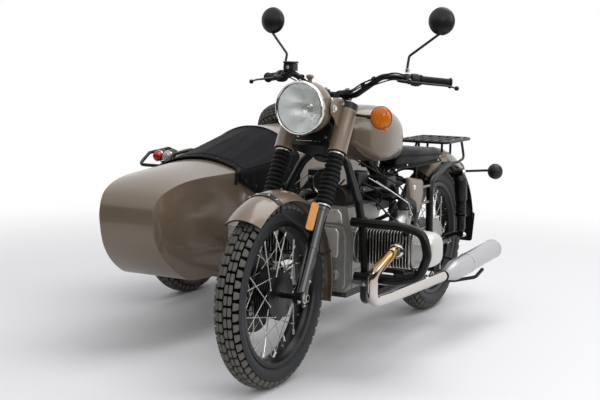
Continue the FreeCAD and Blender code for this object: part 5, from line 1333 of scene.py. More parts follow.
@dataclass
class Fork:
    """Telescopic fork: enamelled sliders, rubber gaiters, painted shrouds and the yoke hardware."""

    slider: float = 23.0
    stanchion: float = 18.0
    slider_top: float = 345.0
    gaiter_top: float = 566.0
    gaiter: float = 33.0
    ribs: int = 11
    shroud: float = 37.0
    shroud_top: float = 739.0
    yoke_top: float = 765.0
    offset: float = 104.0
    lamp_side: float = 103.0

    def sliders(self) -> None:
        """Gloss sliders with their collars, axle clamps and bolts, and the stanchions."""
        piece = Sculpt("fork_sliders", Coat.SLIDER)
        top, wide = self.slider_top, self.slider
        for side in (-1, 1):
            foot = fork_point(side * FORK_X, 0, 0)
            piece.use(Coat.SLIDER).lathe([(-12, 0), (-12, 15), (-8, 20), (16, wide + 1.6),
                                          (34, wide), (182, wide), (184, wide + 2.4),
                                          (198, wide + 2.4), (200, wide), (top - 14, wide),
                                          (top - 12, wide + 3), (top, wide + 3),
                                          (top, self.stanchion)], foot, FORK_UP, 40)
            piece.use(Coat.CHROME).lathe([(top - 2, self.stanchion),
                                          (self.yoke_top + 3, self.stanchion)], foot, FORK_UP, 32)
            piece.use(Coat.TUBE)
            clamp = [(-20, 0), (-20, 22), (-17, 25.6), (17, 25.6), (20, 22), (20, 0)]
            piece.lathe(clamp, foot, (side, 0, 0), 36)
            piece.use(Coat.BOLT)
            for back in (-27, 27):
                piece.bolt(fork_point(side * (FORK_X + 10), back * 0.8, -22), (side, 0, 0), 5, 6)
            piece.bolt(fork_point(side * (FORK_X + self.slider - 1), 0, 62), (side, 0, 0), 4.5, 4)
        hub = (0, 0, AXLE_Z)
        piece.use(Coat.TUBE).plug((-146, 146), 10, hub, ACROSS, 24)
        piece.use(Coat.BOLT)
        for side in (-1, 1):
            piece.bolt((side * 133.5, 0, AXLE_Z), (side, 0, 0), 15, 11)
        piece.build("steering", "fork_black", ("fork_legs",))

    def gaiters(self) -> None:
        """Ribbed rubber gaiters with a clip at each end."""
        piece = Sculpt("fork_gaiters_ribbed", Coat.RUBBER)
        low, high = self.slider_top + 0.4, self.gaiter_top - 0.4
        pitch = (high - low - 24) / self.ribs
        profile = [(low, self.stanchion + 1), (low, self.gaiter - 5), (low + 12, self.gaiter - 5)]
        for rib in range(self.ribs):
            for part in range(6):
                swell = 0.5 - 0.5 * math.cos(2 * math.pi * part / 6)
                profile.append((low + 12 + (rib + part / 6) * pitch,
                                self.gaiter - 7 + 7 * swell ** 0.7))
        profile += [(high - 12, self.gaiter - 6), (high, self.gaiter - 4),
                    (high, self.stanchion + 1)]
        for side in (-1, 1):
            foot = fork_point(side * FORK_X, 0, 0)
            piece.use(Coat.RUBBER).lathe(profile, foot, FORK_UP, 40)
            piece.use(Coat.BOLT)
            for up in (low + 4, high - 9):
                ring = [(up, self.gaiter - 5.5), (up, self.gaiter - 4), (up + 5, self.gaiter - 4),
                        (up + 5, self.gaiter - 5.5)]
                piece.lathe(ring, foot, FORK_UP, 32, looped=True)
        piece.build("steering", "soft_rubber", ("fork_gaiters",), smooth=50)

    def shrouds(self) -> None:
        """Painted tubes over the upper legs, and the ears that hold the headlamp."""
        piece = Sculpt("fork_shrouds_painted", Coat.BODY)
        low, high, wide = self.gaiter_top + 0.4, self.shroud_top - 0.4, self.shroud
        ear = ((232, 986), (236, 1020), (262, 1036), (300, 1036), (338, 1028), (350, 1012),
               (344, 978), (332, 944), (322, 930), (296, 926), (280, 938), (262, 962))
        for side in (-1, 1):
            foot = fork_point(side * FORK_X, 0, 0)
            piece.use(Coat.BODY).lathe([(low, wide - 2.4), (low, wide - 0.4), (low + 2, wide),
                                        (low + 7, wide), (low + 9, wide - 1), (high - 10, wide - 1),
                                        (high - 8, wide), (high - 2, wide), (high, wide - 0.6),
                                        (high, wide - 2.4)], foot, FORK_UP, 48, looped=True)
            x = side * self.lamp_side
            piece.slab(closed_spline([(x, y, z) for y, z in ear], 5), (side * 4.6, 0, 0), 1.6)
            piece.use(Coat.CHROME).bolt((x + side * 4.6, 254, 1000), (side, 0, 0), 10, 8)
            piece.use(Coat.BOLT)
            for y, z in ((330, 1012), (316, 946)):
                piece.bolt((x + side * 4.6, y, z), (side, 0, 0), 5, 4)
        piece.build("steering", "body_paint", ("fork_shrouds",))

    def hardware(self) -> None:
        """Cap nuts, stem nut and pinch bolts on the yokes, and the steering lock."""
        piece = Sculpt("yoke_hardware", Coat.BOLT)
        for side in (-1, 1):
            cap = fork_point(side * FORK_X, 0, self.yoke_top)
            piece.use(Coat.CHROME).lathe([(0, 26), (3, 26), (4, 21), (9, 20), (12, 15), (13, 0)],
                                         cap, FORK_UP, 32)
            piece.use(Coat.BOLT)
            for up in (593, self.yoke_top - 13):
                reach = 28.0 if up < 700 else 36
                piece.bolt(fork_point(side * (FORK_X - 8), -reach + 1, up), FORK_AHEAD, 5.5, 5)
            piece.bolt((side * 48, 487 - 8, 1061), UP, 5, 5)
            piece.bolt((side * 48, 487 + 8, 1061), UP, 5, 5)
        shape = ((-72, 607), (72, 607), (72, 668), (40, 702), (-40, 702), (-72, 668))
        cover = rounded([fork_point(x, -6, up) for x, up in shape], 14)
        piece.use(Coat.ABS).slab(cover, FORK_AHEAD * 8, 2)
        piece.use(Coat.CHROME)
        for x, up in ((-56, 622), (56, 622), (0, 690)):
            piece.bolt(fork_point(x, -14, up), FORK_AHEAD, 5, 4)
        stem = fork_point(0, self.offset, self.yoke_top + 12)
        piece.lathe([(0, 17), (4, 17), (7, 12), (8, 0)], stem, FORK_UP, 28)
        piece.build("steering", "chrome_pipe")

    def horn(self) -> None:
        """The round horn on its bracket between the down tubes, just behind the fork."""
        piece = Sculpt("round_horn", Coat.ABS)
        face = (0, 402, 706)
        piece.lathe([(44, 0), (44, 30), (34, 44), (10, 46), (4, 50), (0, 50)], face, BACK, 44)
        piece.use(Coat.CHROME).lathe([(4, 46), (2, 51), (-2, 51), (-3, 45)], face, BACK, 48,
                                     looped=True)
        piece.use(Coat.ABS).lathe([(0, 46), (-3, 40), (-1, 30), (-6, 22), (-8, 0)], face, BACK, 40)
        piece.use(Coat.TUBE).tube([(0, 440, 712), (0, 452, 760), (0, 450, 800)], 6, 20, sides=12)
        piece.build("outfit", "grip_plastic")

    def make(self) -> None:
        """Builds the fork and the horn behind it."""
        self.horn()
        self.sliders()
        self.gaiters()
        self.shrouds()
        self.hardware()


@dataclass
class Headlamp:
    """Round headlamp: painted bucket, plated rim, reflector bowl, bulb and fluted glass."""

    front: tuple[float, float, float] = (0, 179, 1000)
    rim: float = 101.0
    shell: float = 98.0
    depth: float = 145.0
    glass: float = 91.0
    flutes: int = 17

    def bucket(self) -> None:
        """The painted bucket with two pressed seams, the rim and the knob on top."""
        piece = Sculpt("headlamp_bucket", Coat.BODY)
        wide, deep = self.shell, self.depth
        piece.lathe([(14, wide - 1), (24, wide), (34, wide), (35, wide - 1.8), (38, wide - 1.8),
                     (39, wide), (52, wide), (53, wide - 1.8), (56, wide - 1.8), (57, wide - 0.3),
                     (86, wide - 2), (104, wide - 9), (120, wide - 22), (132, wide - 38),
                     (140, wide - 58), (deep - 1, wide - 78), (deep, 0)], self.front, BACK, 72)
        top = Vector((0, 265, self.front[2] + wide - 5))
        piece.lathe([(0, 9), (6, 8), (12, 9), (16, 14), (23, 15), (28, 11), (30, 0)], top, UP, 28)
        piece.use(Coat.CHROME)
        rim = self.rim
        piece.lathe([(20, wide - 3), (20, rim - 1.4), (16, rim), (8, rim), (3, rim - 2),
                     (0, rim - 5), (0.5, self.glass + 3), (3, self.glass + 0.6),
                     (9, self.glass + 0.6)], self.front, BACK, 96, looped=True)
        piece.use(Coat.BOLT).bolt((0, self.front[1] + 10, self.front[2] + rim - 1), (0, -0.3, 1), 4,
                                  4)
        piece.build("steering", "body_paint", ("headlamp_shell",))

    def optics(self) -> None:
        """The deep reflector with its bulb shield."""
        piece = Sculpt("headlamp_reflector", Coat.BOWL)
        rows = []
        for step in range(15):
            t = step / 14
            rows.append((10 + 78 * (1 - t * t), 12 + (self.glass - 13) * t))
        piece.lathe(rows, self.front, BACK, 72)
        bulb = Vector(self.front) + Vector((0, 62, 0))
        piece.use(Coat.CHROME).lathe([(26, 13), (4, 13), (0, 9), (-4, 0)], bulb, BACK, 28)
        piece.use(Coat.CLEAR).ball(bulb + Vector((0, -14, 0)), 10, (0.8, 1.3, 0.8), 16)
        piece.build("steering", "lamp_glass")

    def lens(self) -> None:
        """The bulging glass with moulded flutes on its inner face."""
        piece = Sculpt("headlamp_lens", Coat.GLASS)
        count = 44
        face, back = [], []
        for row in range(count + 1):
            z = self.glass * (2 * row / count - 1)
            half = math.sqrt(max(self.glass ** 2 - z * z, 0.04))
            outer, inner = [], []
            for column in range(count + 1):
                x = half * (2 * column / count - 1)
                reach = math.hypot(x, z) / self.glass
                bulge = 9.0 * (1 - reach * reach)
                wave = abs(math.sin(math.pi * self.flutes * x / (2 * self.glass)))
                flute = 1.1 * wave * (1 - reach ** 6)
                outer.append(Vector(self.front) + Vector((x, 2 - bulge, z)))
                inner.append(Vector(self.front) + Vector((x, 5.4 - bulge * 0.9 - flute, z)))
            face.append(outer)
            back.append(inner[::-1])
        piece.skin([a + b for a, b in zip(face, back)], closed=True, caps=True)
        piece.build("steering", "lamp_glass", ("headlamp_glass",), smooth=40)

    def make(self) -> None:
        """Builds the lamp."""
        self.bucket()
        self.optics()
        self.lens()


@dataclass
class Bars:
    """Handlebar controls: grips, switch pods, levers, reservoir, mirrors and clipped cables."""

    knee: tuple[float, float, float] = (190, 500, 1117)
    end: tuple[float, float, float] = (404, 660, 1093)
    grip: float = 17.0
    grip_length: float = 122.0
    mirror: tuple[float, float, float] = (370, 631, 1328)
    mirror_radius: float = 54.0
    slats: int = 14

    def heading(self) -> Vector:
        """The direction of the left bar end, outwards."""
        return (Vector(self.end) - Vector(self.knee)).normalized()

    def ahead(self) -> Vector:
        """The level direction square to the bar end, forwards."""
        along = self.heading()
        return Vector((along.y, -along.x, 0)).normalized()

    def at(self, back: float) -> Vector:
        """A place on the left bar's middle line, by its distance from the end."""
        return Vector(self.end) - self.heading() * back

    def half(self, piece: Sculpt) -> None:
        """One side's grip, pod, perch and lever.

        Args:
            piece: the piece that gets them.
        """
        inwards = -self.heading()
        ahead = self.ahead()
        length, grip = self.grip_length, self.grip
        profile = [(-3, 0), (-3, grip + 2), (1, grip + 4), (5, grip + 2.5), (7, grip - 1.5)]
        for rib in range(self.slats):
            here = 9.0 + rib * (length - 20) / self.slats
            step = (length - 20) / self.slats
            profile += [(here, grip - 2), (here + step * 0.3, grip - 0.6),
                        (here + step * 0.7, grip - 0.6)]
        profile += [(length - 9, grip - 1), (length - 6, grip + 3.5), (length - 1, grip + 3.5),
                    (length, grip)]
        piece.use(Coat.RUBBER).lathe(profile, self.end, inwards, 40)
        piece.use(Coat.ABS)
        pod = self.at(length + 1)
        rings = []
        for along, wide, tall in ((0, 19, 19), (3, 24, 25), (17, 26, 27), (32, 24, 25),
                                  (36, 18, 19)):
            middle = pod + inwards * along + Vector((0, 0, -2))
            rings.append([middle + ahead * (wide * c * 0.94) + Vector((0, 0, tall * s * 0.92))
                          for c, s in squircle(28, 0.7)])
        piece.skin(rings)
        perch = self.at(length + 39)
        piece.lathe([(0, 13), (0, 17), (3, 18.5), (20, 18.5), (23, 17), (23, 13)], perch, inwards,
                    32)
        pivot = self.at(length + 50)
        bracket = pivot + ahead * 44 + Vector((0, 0, -12))
        piece.tube([pivot, pivot + ahead * 20 + Vector((0, 0, -4)), bracket], [13, 10, 9.5],
                   flat=0.8)
        piece.plug((-8, 8), 9, bracket, UP, 24)
        piece.use(Coat.BOLT).bolt(bracket + Vector((0, 0, 8)), UP, 4.5, 3.5)
        piece.bolt(pivot + inwards * 6 + ahead * -19, -ahead, 4, 3.5)
        piece.use(Coat.TUBE)
        out = self.heading()
        reaches = ((-8, 0, 0), (30, 11, 0), (84, 22, 0), (140, 25, 0), (176, 30, -5))
        blade = spline([bracket + out * u + ahead * v + Vector((0, 0, w)) for u, v, w in reaches],
                       6)
        piece.tube(blade, [8 - 2.6 * i / (len(blade) - 1) for i in range(len(blade))], sides=14,
                   flat=0.62)
        piece.ball(blade[-1], 9.4, sides=18)
        piece.use(Coat.ABS).tube([bracket - out * 4, bracket - out * 30 + ahead * -6,
                                  bracket - out * 46 + ahead * -14], [7, 6.5, 4], sides=14)
        for along, rise in ((10, 9), (24, 9), (17, -3)):
            button = pod + inwards * along - ahead * 20 + Vector((0, 0, rise))
            piece.lathe([(0, 5), (5, 4.6), (6.5, 3.4), (6.5, 0)], button, -ahead, 16)

    def controls(self) -> None:
        """Both sides' controls, and the brake reservoir on the right."""
        piece = Sculpt("bar_controls", Coat.RUBBER)
        self.half(piece)
        piece.mirror()
        piece.use(Coat.ABS)
        rounded_box(piece, (-246, 500, 1126), (-200, 546, 1156), 7)
        rounded_box(piece, (-248, 498, 1156.5), (-198, 548, 1164), 8)
        rounded_box(piece, (-256, 515, 1104), (-226, 556, 1127), 9)
        piece.use(Coat.BOLT)
        for x, y in ((-241, 505), (-205, 505), (-241, 541), (-205, 541)):
            piece.lathe([(0, 3.4), (1.6, 3), (1.8, 0)], (x, y, 1163.6), UP, 12)
        piece.use(Coat.CLEAR).lathe([(0, 7), (1.5, 7), (2.5, 5), (2.8, 0)], (-223, 500.5, 1141),
                                    AHEAD, 20)
        piece.build("steering", "grip_plastic", ("hand_controls",), smooth=40)

    def mirrors(self) -> None:
        """Round mirrors: domed shells, silvered glass, cranked stems with lock nuts."""
        piece = Sculpt("round_mirrors", Coat.NYLON)
        wide = self.mirror_radius
        head = Vector(self.mirror)
        face = Vector(BACK)
        piece.lathe([(-20, 0), (-19, 12), (-16.5, 26), (-12, 39), (-6, 48.5), (0, wide - 1),
                     (4, wide), (6, wide - 0.6), (6, wide - 3), (4.4, wide - 3.6)], head, face, 56)
        piece.use(Coat.MIRROR).lathe([(4.6, wide - 3.4), (4.8, wide * 0.5), (4.9, 0)], head, face,
                                     56)
        base = self.at(self.grip_length + 50) + Vector((0, 0, self.grip + 6.3))
        low = head + Vector((0, -6, 8 - wide))
        piece.use(Coat.TUBE).tube([base, base + Vector((0, 0, 22)), base + Vector((0, 14, 62)),
                                   low], 5, 18, sides=16)
        piece.ball(low + Vector((0, 1, 3)), 8.5, (1, 1, 0.9), 16)
        piece.use(Coat.BOLT).bolt(base + Vector((0, 0, 0.5)), UP, 9, 7)
        piece.bolt(base + Vector((0, 0, 10)), UP, 8, 5)
        piece.mirror()
        piece.build("steering", "grip_plastic", ("mirrors",), smooth=40)

    def cables(self) -> None:
        """Control cables and the loom, clipped along the bar and tied down behind the lamp."""
        piece = Sculpt("clipped_cables", Coat.RUBBER)
        drop = [Vector((30, 430, 1052)), Vector((34, 392, 1000)), Vector((40, 376, 930)),
                Vector((44, 352, 880))]
        for index, (lift, forward) in enumerate(((13, -17), (2, -20), (-11, -17))):
            line = [self.at(self.grip_length + 66) + self.ahead() * -forward + Vector((0, 0, lift)),
                    self.at(240) + self.ahead() * -forward + Vector((0, 0, lift)),
                    Vector((128, 492 + forward, 1080 + lift)),
                    Vector((76, 478 + forward, 1052 + lift * 0.6))]
            tail = [p + Vector((7 * index, 2 * index, 0)) for p in drop]
            piece.tube(spline(line + tail, 6), 3.2 - 0.3 * index, sides=10)
        piece.mirror()
        for side in (-1, 1):
            piece.use(Coat.ABS)
            for x, y, z in ((side * 158, 494, 1101), (side * 116, 488, 1076)):
                piece.collar((-5, 5), (12.2, 14.4), (x, y, z), (side * 0.94, 0.05, 0.33), 24)
        piece.use(Coat.RUBBER)
        for x, tilt in ((-26, 8), (-8, -4), (10, 5), (24, -7)):
            piece.tube(spline([(x, 402, 1008), (x + tilt, 372, 950), (x * 1.3, 356, 896),
                               (x * 0.8, 352, 848)], 6), 4, sides=10)
        piece.build("steering", "grip_plastic")

    def make(self) -> None:
        """Builds everything on the bar."""
        self.controls()
        self.mirrors()
        self.cables()


@dataclass
class FrontTrim:
    """Front mudguard with its stays, the indicator, the reflectors and the caliper's fittings."""

    guard: Mudguard = field(default_factory=lambda: Mudguard(
        "front_mudguard", (0, 0, AXLE_Z), 70, 376, 32, -14, 128))
    lens: tuple[float, float, float] = (250, 357, 967)
    lens_radius: float = 43.0

    def fender(self) -> None:
        """The painted sheet, the riveted black strap over it and the round stays."""
        guard = self.guard
        piece = Sculpt(guard.name, Coat.BODY)
        guard.sheet(piece)
        piece.use(Coat.TUBE)
        guard.strip(piece, 99.6, 103.6, 3.2, 3, guard.half + 2)
        hub = Vector(guard.centre)
        edge = guard.crown - guard.drop
        for side in (-1, 1):
            for turn, up in ((101.6, 245), (20, 150)):
                top = guard.at(side * (guard.half + 1), turn, 0)
                low = fork_point(side * (FORK_X - 23 - 4), 0, up)
                knee = top + (hub - top).normalized() * 26
                piece.tube([top, knee, low], 4.4, 24, sides=12)
            foot = fork_point(side * (guard.half + 8), 0, edge - 2)
            piece.tube([foot, fork_point(side * (FORK_X - 22), 0, edge - 14)], [12, 14], sides=16,
                       flat=0.6)
        piece.use(Coat.BOLT)
        for x in (-54, -24, 24, 54):
            out = guard.at(x, 101.6, 20) - guard.at(x, 101.6, 0)
            piece.lathe([(0, 5), (1.6, 4.4), (2.6, 2.6), (2.8, 0)], guard.at(x, 101.6, 3), out, 14)
        piece.build("steering", "body_paint", ("front_fender",), smooth=40)

    def indicator(self) -> None:
        """A faceted amber lens in a dark shell on its stalk."""
        piece = Sculpt("front_indicator_lamp", Coat.AMBER)
        centre = Vector(self.lens)
        wide = self.lens_radius
        rows = [(-14, 0), (-13.6, 10), (-12.4, 20), (-9.6, 29), (-5, 36.5), (0, 41),
                (3, wide - 0.4), (4, wide)]
        piece.lathe(rows, centre, BACK, 18)
        piece.use(Coat.NYLON).lathe([(2, wide), (3, wide + 0.8), (7, wide + 0.8), (9, wide - 1),
                                     (18, 36), (28, 26), (31, 16), (32, 0)], centre, BACK, 40)
        piece.tube([(135, 365, 973), (centre.x - wide + 12, 365, centre.z + 1)], 5.6, sides=18)
        piece.lathe([(0, 9), (16, 8), (18, 6)], (centre.x - wide - 14, 365, centre.z + 1), ACROSS,
                    20)
        piece.lathe([(0, 10), (5, 10), (6, 7), (12, 6)], (134, 365, 973), ACROSS, 20)
        piece.use(Coat.AMBER).lathe([(0, 8), (7, 7), (8.5, 4), (8.5, 0)],
                                    centre + Vector((20, 2, -37)), (0.4, 0, -1), 14)
        piece.use(Coat.BOLT)
        for turn in (35, 215):
            across, up = polar(33, math.radians(turn))
            spot = centre + Vector((across, -6, up))
            piece.lathe([(0, 3), (-2.6, 2.6), (-3, 0)], spot, BACK, 10)
        piece.build("steering", "amber_lens", smooth=24)

    def reflectors(self) -> None:
        """Amber reflex plates in black frames on brackets ahead of both sliders."""
        piece = Sculpt("slider_reflectors", Coat.REFLEX)
        for side in (-1, 1):
            ahead = Vector((side * 0.5, -0.86, 0)).normalized()
            ahead = (ahead - FORK_UP * ahead.dot(FORK_UP)).normalized()
            across = FORK_UP.cross(ahead).normalized()
            middle = fork_point(side * (FORK_X - 19), -27, 298)

            def plate(grow: float, rise: float) -> Ring:
                """The plate's rounded outline, grown by a margin and raised off its bracket."""
                corners = [middle + across * (u * (15.5 + grow)) + FORK_UP * (v * (54 + grow))
                           + ahead * rise for u, v in ((-1, -1), (1, -1), (1, 1), (-1, 1))]
                return rounded(corners, 7)

            piece.use(Coat.TUBE).tube([middle - FORK_UP * 20,
                                       fork_point(side * (FORK_X - 6), -10, 280)], 5, sides=12)
            piece.use(Coat.ABS).slab(plate(1.2, 0), ahead * 5, 0.8)
            piece.use(Coat.REFLEX).slab(plate(-1, 4.4), ahead * 4.2, 1.2)
        piece.build("steering", "amber_lens", ("front_indicators",))

    def caliper(self) -> None:
        """Bolts, bleed nipple and the hose that is clipped up the right slider to the yoke."""
        piece = Sculpt("caliper_fittings", Coat.BOLT)
        turn = Matrix.Rotation(math.radians(22), 3, "X")
        hub = Vector((0, 0, AXLE_Z))
        for y, z in ((110, -22), (110, 22), (148, -22), (148, 22)):
            piece.bolt(hub + turn @ Vector((-90.2, y, z)), (-1, 0, 0), 5.5, 5)
        piece.lathe([(0, 3.5), (9, 3.5), (10, 2.4), (15, 2.4), (15, 0)],
                    hub + turn @ Vector((-84, 128, 33)), turn @ Vector(UP), 12)
        piece.use(Coat.RUBBER)
        hose = [hub + turn @ Vector((-82, 150, 20)), hub + turn @ Vector((-96, 168, 60)),
                fork_point(-FORK_X - 2, 40, 250), fork_point(-FORK_X - 2, 36, 330),
                fork_point(-FORK_X + 8, 44, 460), fork_point(-FORK_X + 24, 48, 560)]
        piece.tube(spline(hose, 8), 4, sides=10)
        piece.use(Coat.BOLT)
        clip = fork_point(-FORK_X, 0, 250)
        piece.collar((0, 9), (23.2, 24.6), clip, FORK_UP, 30)
        piece.build("steering", "cast_alloy")

    def make(self) -> None:
        """Builds the front trim."""
        self.fender()
        self.indicator()
        self.reflectors()
        self.caliper()


# ------------------------------------------------------------------ engine and exhaust

@dataclass
class EngineGuard:
    """The bent tube loop in front of the left cylinder, clamped to the down tube.

    The right cylinder has none, as the tub shields it.
    """

    y: float = 338.7
    radius: float = 17.0
    bend: float = 58.0
    loop: tuple[tuple[float, float], ...] = ((150, 572), (339, 572), (440, 556), (460, 470),
                                             (430, 388), (337, 363), (168, 366))
    clamps: tuple[tuple[float, float], ...] = ((175, 572), (196, 366))

    def make(self) -> None:
        """Builds the loop with its end caps, clamps and bolts."""
        piece = Sculpt("left_engine_guard", Coat.TUBE)
        piece.tube([(x, self.y, z) for x, z in self.loop], self.radius, self.bend, sides=28)
        for x, z in self.clamps:
            piece.use(Coat.TUBE).lathe([(-15, 16.2), (-15, 21), (-13, 22.4), (13, 22.4), (15, 21),
                                        (15, 16.2)], (x, 372, z), UP, 32, looped=True)
            piece.use(Coat.BOLT)
            for rise in (-8, 8):
                piece.bolt((x - 25, self.y - 2, z + rise), (-1, 0, 0), 4.6, 5)
        piece.build("outfit", "frame_black", ("engine_guard",))


@dataclass
class Engine:
    """Flat twin: case, finned barrels, rocker covers, carburettors and what surrounds them."""

    middle_y: float = 470.0
    middle_z: float = 470.0
    case_half: float = 124.0
    case_front: float = 388.0
    barrel: float = 52.0
    fin_half: float = 71.5
    fin_start: float = 141.0
    fin_end: float = 352.0
    fins: int = 17
    cover_out: float = 456.0
    port_x: float = 316.0
    carb_x: float = 262.0

    def front_cover(self) -> None:
        """Timing cover with its recess, the generator cover, sump ribs and the case bolts."""
        piece = Sculpt("engine_front_cover", Coat.CAST)
        y = self.case_front
        lower = [(-98, 300), (98, 300), (106, 320), (106, 500), (96, 536), (60, 546), (-60, 546),
                 (-96, 536), (-106, 500), (-106, 320)]
        piece.slab([(x, y, z) for x, z in lower], (0, -9, 0), 4)
        upper = [(-88, 554), (88, 554), (84, 590), (70, 606), (-70, 606), (-84, 590)]
        piece.use(Coat.BLASTED).slab([(x, y, z) for x, z in upper], (0, -7, 0), 3)
        piece.slab([(-70, y - 8, 420), (70, y - 8, 420), (76, y - 8, 436), (76, y - 8, 520),
                    (66, y - 8, 534), (-66, y - 8, 534), (-76, y - 8, 520), (-76, y - 8, 436)],
                   (0, -5, 0), 3)
        piece.use(Coat.CAST)
        for x, z, wide in ((0, 372, 44), (58, 352, 20), (-58, 352, 20)):
            piece.lathe([(0, wide + 3), (5, wide), (12, wide - 1), (14, wide - 5), (14, wide * 0.5),
                         (10, wide * 0.42), (10, 0)], (x, y - 8, z), AHEAD, 36)
        piece.use(Coat.BOLT)
        for x, z in ((-98, 312), (98, 312), (-100, 400), (100, 400), (-100, 486), (100, 486),
                     (-50, 540), (50, 540), (-78, 562), (78, 562), (-60, 598), (60, 598), (0, 308)):
            piece.bolt((x, y - 7, z), AHEAD, 4.6, 5)
        piece.use(Coat.BARREL)
        for row in range(4):
            z = 263.0 + row * 7
            piece.slab(rectangle((-101, 404, z), (101, 634, z)), (0, 0, 3.2), 1)
        for step in range(9):
            x = -80 + 20 * step
            piece.slab(rectangle((x - 2, 402, 262), (x + 2, 402, 288)), (0, -4, 0), 1)
        piece.build("outfit", "cast_alloy", bevel=0.8)

    def case_trim(self) -> None:
        """Webs, seams and plugs on the case and the gearbox, and the drive shaft's boot."""
        piece = Sculpt("engine_case_trim", Coat.CAST)
        half = self.case_half
        for side in (-1, 1):
            piece.use(Coat.CAST)
            for y in (396, 640):
                piece.slab(rectangle((side * half, y, 300), (side * half, y + 6, 526)),
                           (side * 5, 0, 0), 1.5)
            for z in (318, 342, 366):
                piece.slab(rectangle((side * half, 404, z), (side * half, 638, z + 5)),
                           (side * 4, 0, 0), 1.5)
            piece.lathe([(0, 76), (4, 78), (8, 76), (9, 60)],
                        (side * (half + 4), self.middle_y, self.middle_z), (side, 0, 0), 48)
            piece.use(Coat.BLASTED)
            gear = [(690, 330), (840, 360), (846, 440), (760, 490), (690, 506)]
            piece.slab([(side * 96, y, z) for y, z in gear], (side * 10, 0, 0), 5)
            piece.use(Coat.BOLT)
            for y, z in ((700, 342), (828, 368), (836, 434), (756, 478), (700, 494), (410, 312),
                         (630, 312), (410, 520), (630, 520)):
                reach = 106.0 if y > 660 else half + 1
                piece.bolt((side * reach, y, z), (side, 0, 0), 4.6, 4.5)
        piece.use(Coat.CAST).lathe([(0, 22), (8, 22), (12, 17), (18, 16), (20, 0)], (60, 560, 611),
                                   UP, 28)
        piece.use(Coat.BARREL).lathe([(0, 0), (0, 42), (6, 46), (150, 46), (156, 42), (160, 20),
                                      (172, 18), (172, 0)], (30, 448, 640), BACK, 36)
        for y in (460, 590):
            piece.collar((0, 8), (45, 49), (30, y, 640), BACK, 36)
        piece.use(Coat.RUBBER)
        profile = []
        for fold in range(5):
            profile += [(fold * 9, 27), (fold * 9 + 4.5, 33)]
        profile += [(45, 27)]
        piece.lathe(profile, (-92, 832, 360), (0, 0.99, -0.14), 32)
        piece.build("outfit", "cast_alloy", bevel=0.6)

    def fin(self, piece: Sculpt, x: float, side: int, half: float, thick: float,
            bright: bool) -> None:
        """Adds one cooling fin: a rounded square plate with a bright cut rim.

        Args:
            piece: the piece that gets it.
            x: its distance from the bike's plane.
            side: 1 on the left, -1 on the right.
            half: half its width.
            thick: its thickness.
            bright: whether its rim is cut bright.
        """
        ring = []
        corner = 16.0
        for cy, cz, start in ((1, 1, 0), (-1, 1, 90), (-1, -1, 180), (1, -1, 270)):
            for step in range(5):
                angle = math.radians(start + 22.5 * step)
                ring.append(polar(corner, angle, (cy * (half - corner), cz * (half - corner))))

        def at(offset: float, shrink: float) -> Ring:
            """The fin's outline at a place through its thickness."""
            return [Vector((side * (x + offset), self.middle_y + a * shrink,
                            self.middle_z + b * shrink)) for a, b in ring]

        piece.use(Coat.BARREL).skin([at(0, 0.5), at(0, 0.985)], caps=False)
        edge = [at(0, 0.985), at(thick * 0.3, 1), at(thick * 0.7, 1), at(thick, 0.985)]
        piece.use(Coat.CUT if bright else Coat.BARREL).skin(edge, caps=False)
        piece.use(Coat.BARREL).skin([at(thick, 0.985), at(thick, 0.5)], caps=False)

    def barrels(self) -> None:
        """Finned barrels and heads with the port nut, the plug and the pushrod tubes."""
        piece = Sculpt("finned_cylinders", Coat.BARREL)
        y, z = self.middle_y, self.middle_z
        pitch = (self.fin_end - self.fin_start) / self.fins
        for side in (-1, 1):
            piece.use(Coat.BARREL).lathe([(136.4, 0), (136.4, 60), (141, 60), (141, self.barrel),
                                          (self.fin_end, self.barrel),
                                          (self.fin_end, self.fin_half - 6),
                                          (365, self.fin_half - 5), (365.7, 0)], (0, y, z),
                                         (side, 0, 0), 48)
            for index in range(self.fins):
                x = self.fin_start + 6 + index * pitch
                half = self.fin_half - (3 if index < 10 else 0)
                self.fin(piece, x, side, half, 3, True)
            self.fin(piece, 356, side, self.fin_half, 9, True)
            piece.use(Coat.BARREL)
            for dy, dz in ((-46, -34), (-46, 34)):
                piece.tube([(side * 138, y + dy, z + dz), (side * 352, y + dy, z + dz)], 9,
                           sides=16)
            port = (side * self.port_x, y - 44, z)
            piece.lathe([(0, 33), (20, 32), (28, 30), (34, 28)], port, AHEAD, 36)
            piece.use(Coat.CUT)
            nut = [28, 31.5] * 12
            rings = []
            for along in (0, 9):
                rings.append([Vector((port[0] + r * c, port[1] - 35 - along, port[2] + r * s))
                              for (c, s), r in zip(squircle(24), nut)])
            piece.skin(rings)
            plug = Vector((side * 340, y - 52, z + 50))
            out = Vector((side * 0.25, -0.75, 0.62))
            piece.bolt(plug, out, 9, 7)
            piece.use(Coat.RUBBER).lathe([(7, 8), (26, 8.5), (30, 11), (44, 10), (48, 5), (48, 0)],
                                         plug, out, 20)
            lead = [plug + out * 44, plug + out * 60 + Vector((side * -12, 0, 14)),
                    Vector((side * 268, 408, 600)), Vector((side * 210, 430, 640)),
                    Vector((side * 120, 470, 668))]
            piece.tube(spline(lead, 7), 3.6, sides=10)
        piece.build("outfit", "fin_alloy", ("cylinders",), smooth=30)

